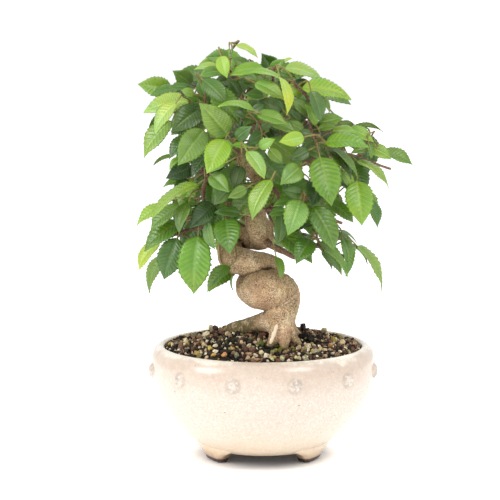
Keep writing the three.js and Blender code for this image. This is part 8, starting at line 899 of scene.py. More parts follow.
def glaze_material():
    m, nt, b, out = material("cream_glaze", 0.2)
    tc = nt.nodes.new("ShaderNodeTexCoord")
    co = tc.outputs["Object"]
    xyz = nt.nodes.new("ShaderNodeSeparateXYZ")
    nt.links.new(co, xyz.inputs[0])
    z = math_node(nt, "MULTIPLY", xyz.outputs[2], 1000.0 / 72.0)
    big = noise_tex(nt, co, 34, 4, 0.6)
    med = noise_tex(nt, co, 240, 4, 0.6)
    zz = math_node(nt, "ADD", z, math_node(nt, "MULTIPLY", math_node(nt, "SUBTRACT", big.outputs["Fac"], 0.5), 0.22))
    hgt = ramp(nt, [
        (0.0, srgb(160, 114, 78)), (0.06, srgb(206, 178, 142)), (0.14, srgb(217, 197, 169)), (0.26, srgb(217, 203, 183)),
        (0.45, srgb(214, 206, 195)), (0.7, srgb(213, 205, 195)), (0.80, srgb(204, 190, 176)), (0.90, srgb(197, 179, 163)), (0.955, srgb(202, 184, 168)), (0.982, srgb(234, 226, 210)),
    ], zz)
    col = hgt.outputs[0]
    mott = ramp(nt, [(0.35, (0, 0, 0)), (0.65, (1, 1, 1))], med.outputs["Fac"])
    col = mix(nt, col, srgb(232, 224, 210), math_node(nt, "MULTIPLY", mott.outputs[0], 0.22))
    vo = node(nt, "ShaderNodeTexVoronoi", feature="DISTANCE_TO_EDGE")
    vo.inputs["Scale"].default_value = 330
    warp = nt.nodes.new("ShaderNodeVectorMath")
    warp.operation = "ADD"
    wn = noise_tex(nt, co, 90, 3)
    sc = nt.nodes.new("ShaderNodeVectorMath")
    sc.operation = "SCALE"
    sc.inputs["Scale"].default_value = 0.006
    nt.links.new(wn.outputs["Color"], sc.inputs[0])
    nt.links.new(co, warp.inputs[0])
    nt.links.new(sc.outputs[0], warp.inputs[1])
    nt.links.new(warp.outputs[0], vo.inputs["Vector"])
    crack = ramp(nt, [(0.0, (1, 1, 1)), (0.045, (0, 0, 0))], vo.outputs["Distance"])
    vein2 = noise_tex(nt, co, 520, 6, 0.72)
    fleck = ramp(nt, [(0.44, (0, 0, 0)), (0.50, (1, 1, 1)), (0.56, (0, 0, 0))], vein2.outputs["Fac"])
    band = ramp(nt, [(0.12, (0.25, 0.25, 0.25)), (0.35, (1, 1, 1)), (0.82, (1, 1, 1)), (0.95, (0.5, 0.5, 0.5))], z)
    col = mix(nt, col, srgb(196, 168, 146), math_node(nt, "MULTIPLY", math_node(nt, "MULTIPLY", fleck.outputs[0], band.outputs[0]), 0.6))
    col = mix(nt, col, srgb(188, 160, 140), math_node(nt, "MULTIPLY", crack.outputs[0], 0.4))
    spk = noise_tex(nt, co, 620, 1)
    sp = ramp(nt, [(0.205, (1, 1, 1)), (0.235, (0, 0, 0))], spk.outputs["Fac"])
    col = mix(nt, col, srgb(84, 60, 46), math_node(nt, "MULTIPLY", sp.outputs[0], 0.8))
    at = node(nt, "ShaderNodeVertexColor", layer_name="pot_data")
    sep = nt.nodes.new("ShaderNodeSeparateColor")
    nt.links.new(at.outputs["Color"], sep.inputs[0])
    streak = ramp(nt, [(0.42, (0, 0, 0)), (0.6, (1, 1, 1))], noise_tex(nt, co, 380, 3).outputs["Fac"])
    col = mix(nt, col, srgb(222, 212, 200), math_node(nt, "MULTIPLY", sep.outputs[0], 0.5))  # studs
    col = mix(nt, col, srgb(140, 130, 124), math_node(nt, "MULTIPLY", math_node(nt, "MULTIPLY", sep.outputs[0], streak.outputs[0]), 0.6))
    col = mix(nt, col, srgb(182, 162, 144), math_node(nt, "MULTIPLY", sep.outputs[2], 0.22))  # around the studs
    down = nt.nodes.new("ShaderNodeSeparateXYZ")
    nt.links.new(nt.nodes.new("ShaderNodeNewGeometry").outputs["True Normal"], down.inputs[0])
    under = math_node(nt, "MULTIPLY", math_node(nt, "LESS_THAN", down.outputs[2], -0.9), math_node(nt, "LESS_THAN", z, 0.12))
    bare = math_node(nt, "MAXIMUM", sep.outputs[1], under)
    col = mix(nt, col, srgb(66, 44, 34), bare)  # bare clay
    nt.links.new(col, b.inputs["Base Color"])
    ro = math_node(nt, "ADD", math_node(nt, "MULTIPLY", med.outputs["Fac"], 0.16), math_node(nt, "ADD", math_node(nt, "MULTIPLY", bare, 0.5), 0.13))
    nt.links.new(ro, b.inputs["Roughness"])
    b.inputs["Coat Weight"].default_value = 0.35
    b.inputs["Coat Roughness"].default_value = 0.17
    b.inputs["Subsurface Weight"].default_value = 0.06
    b.inputs["Subsurface Radius"].default_value = (0.004, 0.0025, 0.0018)
    bump = node(nt, "ShaderNodeBump")
    bump.inputs["Strength"].default_value = 0.12
    bump.inputs["Distance"].default_value = 0.0006
    nt.links.new(med.outputs["Fac"], bump.inputs["Height"])
    nt.links.new(bump.outputs[0], b.inputs["Normal"])
    return m


def grit_material():
    m, nt, b, out = material("grit_stone", 0.85)
    at = node(nt, "ShaderNodeVertexColor", layer_name="grit_data")
    co = nt.nodes.new("ShaderNodeTexCoord").outputs["Object"]
    n1 = noise_tex(nt, co, 1300, 4, 0.65)
    n2 = noise_tex(nt, co, 420, 3)
    dark = ramp(nt, [(0.3, (0.35, 0.33, 0.3)), (0.62, (1.15, 1.12, 1.08))], n1.outputs["Fac"])
    col = mix(nt, at.outputs["Color"], dark.outputs[0], 0.75, "MULTIPLY")
    dust = ramp(nt, [(0.56, (0, 0, 0)), (0.72, (1, 1, 1))], n2.outputs["Fac"])
    col = mix(nt, col, srgb(150, 128, 96), math_node(nt, "MULTIPLY", dust.outputs[0], 0.3))
    nt.links.new(col, b.inputs["Base Color"])
    b.inputs["Specular IOR Level"].default_value = 0.35
    bump = node(nt, "ShaderNodeBump")
    bump.inputs["Strength"].default_value = 0.7
    bump.inputs["Distance"].default_value = 0.0005
    nt.links.new(n1.outputs["Fac"], bump.inputs["Height"])
    nt.links.new(bump.outputs[0], b.inputs["Normal"])
    return m


def plain_material(name, c1, c2, rough, metal=0.0, scale=700):
    m, nt, b, out = material(name, rough)
    co = nt.nodes.new("ShaderNodeTexCoord").outputs["Object"]
    n1 = noise_tex(nt, co, scale, 3)
    nt.links.new(ramp(nt, [(0.35, c1), (0.65, c2)], n1.outputs["Fac"]).outputs[0], b.inputs["Base Color"])
    b.inputs["Metallic"].default_value = metal
    return m


LEAF = leaf_material()
TWIG = twig_material()
BARK = bark_material("trunk_bark", srgb(160, 118, 80), srgb(212, 174, 134), srgb(250, 222, 188), srgb(70, 44, 26))
BRANCH_BARK = bark_material("branch_bark", srgb(104, 76, 60), srgb(150, 114, 92), srgb(196, 162, 136), srgb(62, 42, 34))
GLAZE = glaze_material()
GRIT = grit_material()

# ------------------------------------------------------------------ leaves
ROWS, COLS = 73, 15
PROF_K = np.array([0, 0.02, 0.06, 0.12, 0.22, 0.35, 0.48, 0.62, 0.75, 0.87, 0.95, 1.0])
PROF_V = np.array([0.05, 0.26, 0.52, 0.72, 0.91, 1.0, 1.0, 0.89, 0.67, 0.36, 0.13, 0.01])


def smooth_profile(k):
    v = np.interp(k, PROF_K, PROF_V)
    for _ in range(3):
        v[1:-1] = 0.25 * v[:-2] + 0.5 * v[1:-1] + 0.25 * v[2:]
    return v


def leaf_blade(leaf, seed):
    """A pleated, doubly toothed blade as a closed thin shell."""
    r = np.random.default_rng(seed)
    B, T, N, W, youth = np.array(leaf[0:3]), np.array(leaf[3:6]), np.array(leaf[6:9]), leaf[9], leaf[10]
    axis = T - B
    L = np.linalg.norm(axis)
    axis /= L
    up = N - axis * (N @ axis)
    up /= np.linalg.norm(up)
    side = np.cross(up, axis)
    k = np.linspace(0, 1, ROWS)
    half = smooth_profile(k) * W / 2
    veins = r.integers(10, 13)
    lean = 0.2
    v = np.linspace(-1, 1, COLS)
    K, Vv = np.meshgrid(k, v, indexing="ij")
    # teeth: one big at each vein's end, one small between
    def saw(x):
        return (x % 1.0)
    ph_edge = (k - lean) * veins
    teeth = (0.13 * saw(ph_edge) + 0.06 * saw(ph_edge * 2 + 0.3)) * np.clip(half / (W / 2) * 1.6, 0, 1)
    h = half[:, None] * (1 + (teeth[:, None] - 0.06) * np.abs(Vv) ** 6)
    phase = (K - lean * np.abs(Vv) ** 0.9) * veins
    rib = np.abs(np.sin(np.pi * phase)) ** 0.8
    fade = np.clip(1.15 - np.abs(Vv) ** 4 * 0.6, 0, 1) * np.clip(K * 8, 0, 1) * np.clip((1 - K) * 6, 0, 1) * np.clip(np.abs(Vv) * 4, 0, 1)
    pleat = 0.050 * W * rib * fade
    curl = r.uniform(-0.05, 0.05)
    wave = 0.028 * W * np.sin(2 * np.pi * (K * r.uniform(1.0, 1.8) + r.random())) * Vv * np.abs(Vv)
    droop = -r.uniform(0.0, 0.05) * L * np.clip(K - 0.6, 0, 1) ** 2 * 6
    fold = np.abs(Vv) * h * 0.18 * 1.0 - 0.035 * W * np.abs(Vv) ** 3 + 0.0
    lift = 4 * K * (1 - K) * 0.09 * L + fold + pleat + wave + droop
    sway = curl * L * 0.35 * np.sin(np.pi * K)
    P = B + K[..., None] * L * axis + (Vv * h + sway * 0.5)[..., None] * side + lift[..., None] * up
    thick = 0.11 + 0.10 * np.clip(1 - np.abs(Vv) * 5, 0, 1) * (1 - K)
    Q = P - (2 * thick)[..., None] * up
    frac = np.abs(phase - np.round(phase))
    vein = np.exp(-(frac / 0.11) ** 2) * fade * 0.9
    vein = np.maximum(vein, np.exp(-(np.abs(Vv) / 0.07) ** 2))
    # painted shade in the pleat folds beside each vein
    painted_shade = np.clip(1 - np.abs(frac - 0.27) / 0.2, 0, 1) * fade * 0.75
    data = np.stack([np.full_like(K, youth), vein, painted_shade, np.zeros_like(K)], -1)
    data[..., 0] += 0.05 * (np.abs(Vv) - 0.5) + r.uniform(-0.03, 0.03)
    # some leaves get pale veins with a painted sheen between them, some painted shade along sunken veins, most a little
    # of each
    look = np.random.default_rng(seed + 9000).random()
    mid_rib = np.exp(-(np.abs(Vv) / 0.07) ** 2)
    if look < 0.3:
        data[..., 1] = 0.7 * mid_rib
        data[..., 2] = np.clip(np.exp(-(frac / 0.13) ** 2) * fade * 1.2, 0, 1) * (1 - mid_rib)
    elif look > 0.66:
        painted_sheen = np.clip(1 - np.abs(frac - 0.5) / 0.34, 0, 1) * fade * (0.35 + 0.65 * np.clip(np.sin(np.pi * K) + 0.2 * Vv, 0, 1))
        data[..., 1] = np.clip(np.maximum(1.5 * vein, 1.3 * painted_sheen), 0, 1.7)
        data[..., 2] = np.clip(painted_shade * 1.5, 0, 1)
    under = data.copy()
    under[..., 3] = 1
    idx = np.arange(ROWS * COLS).reshape(ROWS, COLS)
    inner = np.zeros((ROWS, COLS), bool)
    inner[1:-1, 1:-1] = True
    low = idx.copy()
    low[inner] = ROWS * COLS + np.arange(inner.sum())
    verts = np.vstack([P.reshape(-1, 3), Q[inner]])
    dat = np.vstack([data.reshape(-1, 4), under[inner]])
    a, b, c, d = idx[:-1, :-1], idx[:-1, 1:], idx[1:, 1:], idx[1:, :-1]
    top = np.stack([a, d, c, b], -1).reshape(-1, 4)
    a, b, c, d = low[:-1, :-1], low[:-1, 1:], low[1:, 1:], low[1:, :-1]
    bot = np.stack([a, b, c, d], -1).reshape(-1, 4)
    # faces whose four corners all lie on the shared rim exist once only
    return verts, np.vstack([top, bot]), dat


def build_shoot(s, number):
    V, F, M, A = [], [], [], []
    off = 0

    def add(v, f, mat, a):
        nonlocal off
        V.append(v)
        A.append(a)
        for q in f:
            F.append(tuple(int(i) + off for i in q))
            M.append(mat)
        off += len(v)

    def add_tube(line, green, sides=7, seed=0):
        v, f = tube(line, sides, lump=0.12, seed=seed)
        n = len(line)
        g = np.repeat(np.asarray(green), sides)
        add(v, f, 0, np.stack([g, g * 0, g * 0, g * 0], -1))

    for i, tw in enumerate(s["twigs"]):
        line, leaf = tw[0], tw[1]
        pts = [list(p) for p in line]
        if leaf:
            pts.append([*leaf[0:3], 0.4])
            ax = np.array(leaf[3:6]) - np.array(leaf[0:3])
            ax /= np.linalg.norm(ax)
            pts.append([*(np.array(leaf[0:3]) + ax * 1.2 - 0.12 * np.array(leaf[6:9])), 0.34])
        sm = spline(pts, 1.1)
        green = np.clip((0.72 - sm[:, 3]) * 3.0, 0, 1)
        if leaf:
            tail = np.linspace(0, 1, len(sm))
            green = np.maximum(green, np.clip((tail - 0.55) * 2.5, 0, 1))
        add_tube(sm, green, seed=number * 100 + i)
        if leaf:
            v, f, a = leaf_blade(leaf, number * 1000 + i)
            add(v, f, 1, a)
    for i, (nd, elbow, leaf) in enumerate(s["stalked"]):
        ax = np.array(leaf[3:6]) - np.array(leaf[0:3])
        ax /= np.linalg.norm(ax)
        pts = [[*nd, 0.45]]
        if np.linalg.norm(np.array(nd) - np.array(elbow)) > 0.8:
            pts.append([*elbow, 0.42])
        pts += [[*leaf[0:3], 0.4], [*(np.array(leaf[0:3]) + ax * 1.2 - 0.12 * np.array(leaf[6:9])), 0.34]]
        sm = spline(pts, 1.1)
        add_tube(sm, np.linspace(0.3, 1, len(sm)))
        v, f, a = leaf_blade(leaf, number * 1000 + 500 + i)
        add(v, f, 1, a)
    ob = mesh_object(s["name"], np.vstack(V), F, [TWIG, LEAF], M, True, {"leaf_data": np.vstack(A)})
    return settle(ob, [s["name"]])


for number, s in enumerate(SHOOTS):
    build_shoot(s, number)


# ------------------------------------------------------------------ wood
def wood_finish(ob, amp, seed, crease=None):
    """Roughens a finished wood mesh in place."""
    me = ob.data
    n = len(me.vertices)
    co = np.zeros(n * 3)
    me.vertices.foreach_get("co", co)
    co = co.reshape(-1, 3)
    no = np.zeros(n * 3)
    me.vertices.foreach_get("normal", no)
    no = no.reshape(-1, 3)
    mm = co / MM - np.array([SX, SY, 0])
    disp = np.zeros(n)
    for i in range(n):
        p = Vector(mm[i])
        disp[i] = 1.0 * noise.noise(p * 0.13 + Vector((seed, 0, 0))) + 0.35 * noise.noise(p * 0.45) + 0.32 * noise.noise(p * 0.95)
    co = co + no * (disp * amp)[:, None] * MM
    me.vertices.foreach_set("co", co.ravel())
    me.update()
    return co / MM - np.array([SX, SY, 0]), no


# Buttress roots that run from the trunk's foot into the grit, and the broken pale root stub.
FLARES = [
    [(11.5, -26.5, 95.0, 6.0), (14.6, -27.5, 86.5, 4.6), (18.4, -29.0, 80.2, 3.2), (22.5, -31.0, 75.5, 1.8)],
    [(11.0, -27.0, 93.0, 6.0), (9.0, -29.5, 86.0, 4.6), (6.6, -33.0, 80.6, 3.2), (3.0, -37.0, 75.6, 1.8)],
    [(12.0, -27.5, 91.0, 6.0), (12.6, -31.0, 83.0, 4.6), (12.8, -34.5, 77.0, 3.2), (12.6, -37.0, 73.0, 2.0)],
    [(13.0, -23.0, 92.0, 6.0), (16.5, -17.0, 84.0, 4.4), (20.5, -10.0, 78.6, 3.0), (24.5, -3.0, 75.2, 1.8)],
    [(10.0, -22.0, 92.0, 6.0), (6.0, -15.0, 84.5, 4.2), (3.0, -8.0, 79.5, 2.6), (1.0, -2.0, 76.5, 1.6)],
]
STUB = [(8.6, -31.2, 89.4, 0.9), (7.7, -33.6, 86.6, 1.15), (6.3, -35.8, 83.0, 1.25), (4.7, -37.6, 79.2, 1.0), (4.3, -38.2, 77.6, 0.8)]


def build_trunk():
    parts_v, parts_f, off = [], [], 0
    root = [list(p) for p in SURFACE_ROOT]
    for line, sides in ((TRUNK, 40), (root, 28), *((f, 20) for f in FLARES)):
        v, f = tube(spline(line, 1.6), sides)
        parts_v.append(v)
        parts_f += [tuple(i + off for i in q) for q in f]
        off += len(v)
    ob = mesh_object("trunk", np.vstack(parts_v), parts_f, [BARK])
    rm = ob.modifiers.new("r", "REMESH")
    rm.mode = "VOXEL"
    rm.voxel_size = 0.0007
    sm = ob.modifiers.new("s", "SMOOTH")
    sm.factor = 0.5
    sm.iterations = 6
    applied(ob)
    ob.data.materials.clear()
    ob.data.materials.append(BARK)
    mm, no = wood_finish(ob, 0.7, 3.0)
    # painted crevice shade: darker where the surface is concave
    me = ob.data
    n = len(me.vertices)
    ed = np.zeros(len(me.edges) * 2, np.int32)
    me.edges.foreach_get("vertices", ed)
    ed = ed.reshape(-1, 2)
    avg = np.zeros((n, 3))
    deg = np.zeros(n)
    cur = mm.copy()
    for _ in range(10):
        avg[:] = 0
        deg[:] = 0
        np.add.at(avg, ed[:, 0], cur[ed[:, 1]])
        np.add.at(avg, ed[:, 1], cur[ed[:, 0]])
        np.add.at(deg, ed[:, 0], 1)
        np.add.at(deg, ed[:, 1], 1)
        cur = avg / deg[:, None]
    conc = ((cur - mm) * no).sum(1)
    crevice_shade_and_root_dark = np.clip((conc - 0.07) * 2.6, 0, 1)
    green = np.clip((84 - mm[:, 2]) / 12, 0, 1) * np.array([0.35 + 0.65 * (noise.noise(Vector(p * 0.25)) > 0.0) for p in mm])
    root_moss = np.clip((1.0 - mm[:, 0]) / 12, 0, 1) * np.clip((95 - mm[:, 2]) / 4, 0, 1)
    green = np.maximum(green, root_moss * np.array([0.25 + 0.75 * (noise.noise(Vector(p * 0.33)) > -0.05) for p in mm]))
    crevice_shade_and_root_dark = np.maximum(crevice_shade_and_root_dark, root_moss * np.array([0.75 * float(np.clip(0.5 + 2.2 * noise.noise(Vector(p * 0.6 + np.array([9.0, 0, 0]))), 0, 1)) for p in mm]))
    a0, b0 = np.array([10.8, -30.0, 99.9]), np.array([20.0, -28.0, 105.1])
    ab = b0 - a0
    rel = mm[:, [0, 2]] - a0[[0, 2]]
    t = np.clip((rel @ ab[[0, 2]]) / (ab[[0, 2]] @ ab[[0, 2]]), 0, 1)
    dist = np.linalg.norm(rel - t[:, None] * ab[[0, 2]], axis=1)
    scar = np.where(mm[:, 1] < -22, np.clip(1.25 - np.abs(dist) / 0.55, 0, 1), 0) * np.clip(0.55 + 0.9 * np.array([noise.noise(Vector(p * 0.8)) for p in mm]), 0, 1)
    a = me.color_attributes.new("wood_data", "FLOAT_COLOR", "POINT")
    a.data.foreach_set("color", np.stack([crevice_shade_and_root_dark, green, scar, np.ones(n)], -1).astype(np.float32).ravel())
    v, f = tube(spline(STUB, 0.6), 14, lump=0.25, seed=5)
    stub = mesh_object("stub", v, f, [BARK], attrs={"wood_data": np.tile([0, 0, 1.0, 1], (len(v), 1))})
    for o in bpy.context.selected_objects:
        o.select_set(False)
    stub.select_set(True)
    ob.select_set(True)
    bpy.context.view_layer.objects.active = ob
    bpy.ops.object.join()
    me = ob.data
    me.polygons.foreach_set("use_smooth", np.full(len(me.polygons), True))
    return settle(ob, ["trunk"])


build_trunk()

for bi, (name, line) in enumerate(BRANCHES.items()):
    sm = spline(line, 1.4)
    v, f = tube(sm, 14, lump=0.16, seed=bi + 40)
    br = mesh_object(name, v, f, [BRANCH_BARK])
    n = len(br.data.vertices)
    a = br.data.color_attributes.new("wood_data", "FLOAT_COLOR", "POINT")
    a.data.foreach_set("color", np.tile([0, 0, 0, 1], n).astype(np.float32))
    settle(br, [name])


# ------------------------------------------------------------------ pot
POT_OUT = [(0, 7.5), (30, 7.5), (36.6, 7.6), (38.4, 8.1), (44.7, 12), (54.8, 21), (63.6, 31.4), (69.2, 42), (71.3, 51), (71.7, 59), (70.9, 64.6), (69, 68.4), (66.9, 70.4), (65, 71.1)]
FOOT_LEVELS = [(0, 31.4, 36.3, 12.4), (0.25, 31, 36.8, 12.9), (0.8, 30.6, 37.6, 13.8), (3, 30.2, 38.5, 15.8), (5.2, 29.9, 39.8, 19.6), (7.2, 29.7, 41.2, 25.5), (9.2, 29.6, 42.3, 31), (11, 29.6, 42.9, 34)]
POT_IN = [(63.9, 71.15), (62.9, 70.6), (62.4, 69.2), (62.6, 66.8), (65.2, 62), (66.2, 54), (64, 44), (58.2, 33.5), (49, 23.4), (39.5, 15), (35, 12.6), (0, 12.5)]


def build_pot():
    def fine(pts, step):
        q = spline([(x, 0, z, 0) for x, z in pts], step)
        return q[:, [0, 2]]
    prof = np.vstack([fine(POT_OUT, 0.9), fine(POT_IN[:6], 1.3), fine(POT_IN[5:], 4.5)[1:]])
    prof[:, 0] = np.maximum(prof[:, 0], 0.0)
    SEG = 480
    ang = np.linspace(0, 2 * np.pi, SEG, endpoint=False)
    n = len(prof)
    R = prof[:, 0][:, None] * np.ones(SEG)
    Z = prof[:, 1][:, None] * np.ones(SEG)
    stud = np.zeros((n, SEG))
    halo = np.zeros((n, SEG))
    outer = np.arange(n) < len(fine(POT_OUT, 0.9))
    for i in range(12):
        a0 = math.radians(15 + 30 * i)
        da = (ang - a0 + np.pi) % (2 * np.pi) - np.pi
        d = np.sqrt((R * da[None, :]) ** 2 + (Z - 57.5) ** 2)
        dome = np.where(d < 3.9, np.sqrt(np.clip(1 - (d / 4.0) ** 2, 0, 1)) ** 0.8, 0)
        ringd = -0.35 * np.exp(-((d - 4.4) / 0.6) ** 2)
        halo = np.maximum(halo, np.where(outer[:, None], np.exp(-((d - 4.2) / 0.7) ** 2), 0))
        R = np.where(outer[:, None], R + 2.2 * dome + ringd, R)
        stud = np.maximum(stud, np.where(outer[:, None], np.clip(dome * 1.4, 0, 1), 0))
    # gently uneven hand-thrown wall
    for j in range(n):
        if outer[j] and prof[j, 0] > 40:
            R[j] += 0.12 * np.sin(2 * ang + prof[j, 1] * 0.05) + 0.06 * np.sin(5 * ang + prof[j, 1] * 0.21)
    V = np.stack([R * np.cos(ang), R * np.sin(ang), Z], -1).reshape(-1, 3)
    F = []
    for j in range(n - 1):
        if prof[j, 0] < 1e-6 and prof[j + 1, 0] < 1e-6:
            continue
        for k in range(SEG):
            k2 = (k + 1) % SEG
            F.append((j * SEG + k, j * SEG + k2, (j + 1) * SEG + k2, (j + 1) * SEG + k))
    pd = np.zeros((n, SEG, 4))
    pd[..., 0] = stud
    pd[..., 2] = halo
    pd[..., 1] = np.where((Z < 7.9) & (R < 38.0) & outer[:, None], 0.95, 0)
    pd[..., 3] = 1
    ob = mesh_object("pot", V, F, [GLAZE], attrs={"pot_data": pd.reshape(-1, 4)})
    import bmesh

    bm = bmesh.new()
    bm.from_mesh(ob.data)
    bmesh.ops.remove_doubles(bm, verts=bm.verts, dist=1e-6)
    bmesh.ops.recalc_face_normals(bm, faces=bm.faces)
    bm.to_mesh(ob.data)
    bm.free()
    # feet
    FV, FF, FD = [], [], []
    off = 0
    levels = spline([(a, b, c, d) for a, b, c, d in FOOT_LEVELS], 0.7)
    for i in range(3):
        mid = math.radians(90 + 120 * i)
        na = 40
        m = 2 * na
        for (z, r0, r1, half) in levels:
            h = math.radians(half)
            for t in np.linspace(-1, 1, na):
                ease = 1 - 0.035 * max(0, abs(t) - 0.8) / 0.2
                FV.append((r1 * ease * math.cos(mid + h * t), r1 * ease * math.sin(mid + h * t), z))
            for t in np.linspace(1, -1, na):
                FV.append((r0 * math.cos(mid + h * t), r0 * math.sin(mid + h * t), z))
            bare = 1.0 if z < 2.6 else max(0.0, 1 - (z - 2.6) / 0.7)
            FD += [(0, bare, 0, 1)] * m
        for j in range(len(levels) - 1):
            for k in range(m):
                k2 = (k + 1) % m
                FF.append((off + j * m + k, off + j * m + k2, off + (j + 1) * m + k2, off + (j + 1) * m + k))
        FF.append(tuple(off + k for k in range(m - 1, -1, -1)))
        FF.append(tuple(off + (len(levels) - 1) * m + k for k in range(m)))
        off = len(FV)
    feet = mesh_object("feet", FV, FF, [GLAZE], attrs={"pot_data": FD})
    for x in (-17, 17):
        bpy.ops.mesh.primitive_cylinder_add(vertices=64, radius=6.5 * MM, depth=12 * MM, location=((x + SX) * MM, SY * MM, 10 * MM))
        cyl = bpy.context.object
        md = ob.modifiers.new("hole", "BOOLEAN")
        md.operation = "DIFFERENCE"
        md.solver = "EXACT"
        md.object = cyl
        applied(ob)
        bpy.data.objects.remove(cyl)
    for o in bpy.context.selected_objects:
        o.select_set(False)
    feet.select_set(True)
    ob.select_set(True)
    bpy.context.view_layer.objects.active = ob
    bpy.ops.object.join()
    ob.data.polygons.foreach_set("use_smooth", np.full(len(ob.data.polygons), True))
    return settle(ob, ["pot"])


build_pot()


# ------------------------------------------------------------------ grit
def grit_height(x, y):
    r = np.hypot(x, y)
    z = np.interp(r, [0, 20, 35, 45, 55, 62], [79, 78, 76, 74, 71.6, 69.4])
    return z


GRAIN_COLOURS = [
    (srgb(30, 24, 23), 24), (srgb(58, 42, 35), 20), (srgb(104, 76, 60), 13), (srgb(162, 132, 100), 11), (srgb(208, 184, 146), 10),
    (srgb(242, 228, 198), 12), (srgb(186, 164, 84), 4), (srgb(140, 136, 88), 5), (srgb(128, 92, 78), 8), (srgb(150, 148, 120), 4),
]


# Grains that stand out: x, y, size, colour; and patches of moss: x, y, radius, colour.
MARKED = [
    (-31, 13, 2.6, srgb(70, 50, 42)), (-48, 6, 2.0, srgb(214, 196, 160)), (26, 12, 2.8, srgb(26, 20, 20)), (-5.0, 0.5, 2.7, srgb(214, 184, 92)), (1.2, -15.0, 2.7, srgb(118, 78, 62)),
    (49.6, -9.0, 2.3, srgb(232, 208, 164)), (-48.5, -7.0, 1.8, srgb(226, 212, 178)), (-29.7, -31.5, 1.9, srgb(228, 214, 182)), (-8.8, -37.0, 1.9, srgb(224, 208, 170)),
    (-40.5, -38.5, 1.8, srgb(196, 160, 84)), (-29.9, -46.5, 1.7, srgb(202, 170, 96)), (-23.8, -50.0, 2.6, srgb(200, 144, 90)), (4.9, -56.5, 1.8, srgb(206, 204, 150)),
    (11.5, -55.5, 1.8, srgb(208, 206, 154)), (19.4, -53.0, 1.7, srgb(204, 202, 150)), (24.3, -14.5, 3.2, srgb(24, 19, 18)), (29.7, -19.5, 3.3, srgb(22, 18, 17)),
    (35.0, -11.0, 3.0, srgb(28, 22, 20)), (41.3, -23.5, 1.9, srgb(170, 124, 84)), (-1.0, -47.0, 1.7, srgb(216, 200, 160)), (34.6, -35.0, 1.8, srgb(206, 184, 140)),
    (-14.4, -25.0, 2.2, srgb(92, 66, 52)), (-37.2, -26.0, 2.0, srgb(210, 188, 146)), (-19.7, -40.0, 2.0, srgb(190, 168, 110)), (-39.8, -4.0, 2.1, srgb(150, 118, 92)), (-15.8, -3.5, 2.6, srgb(34, 27, 24)),
    (40, 16, 2.3, srgb(206, 186, 150)), (12, 34, 2.5, srgb(196, 160, 96)), (-18, 44, 2.4, srgb(36, 28, 26)), (-34, 34, 2.0, srgb(216, 200, 164)),
]
MOSS = [(-21.8, -23, 10, srgb(40, 46, 22)), (2.8, -38, 9, srgb(36, 42, 20)), (12.5, -37, 8, srgb(112, 110, 44)), (-1, -30, 6, srgb(84, 86, 38)), (20, 30, 12, srgb(52, 60, 28))]


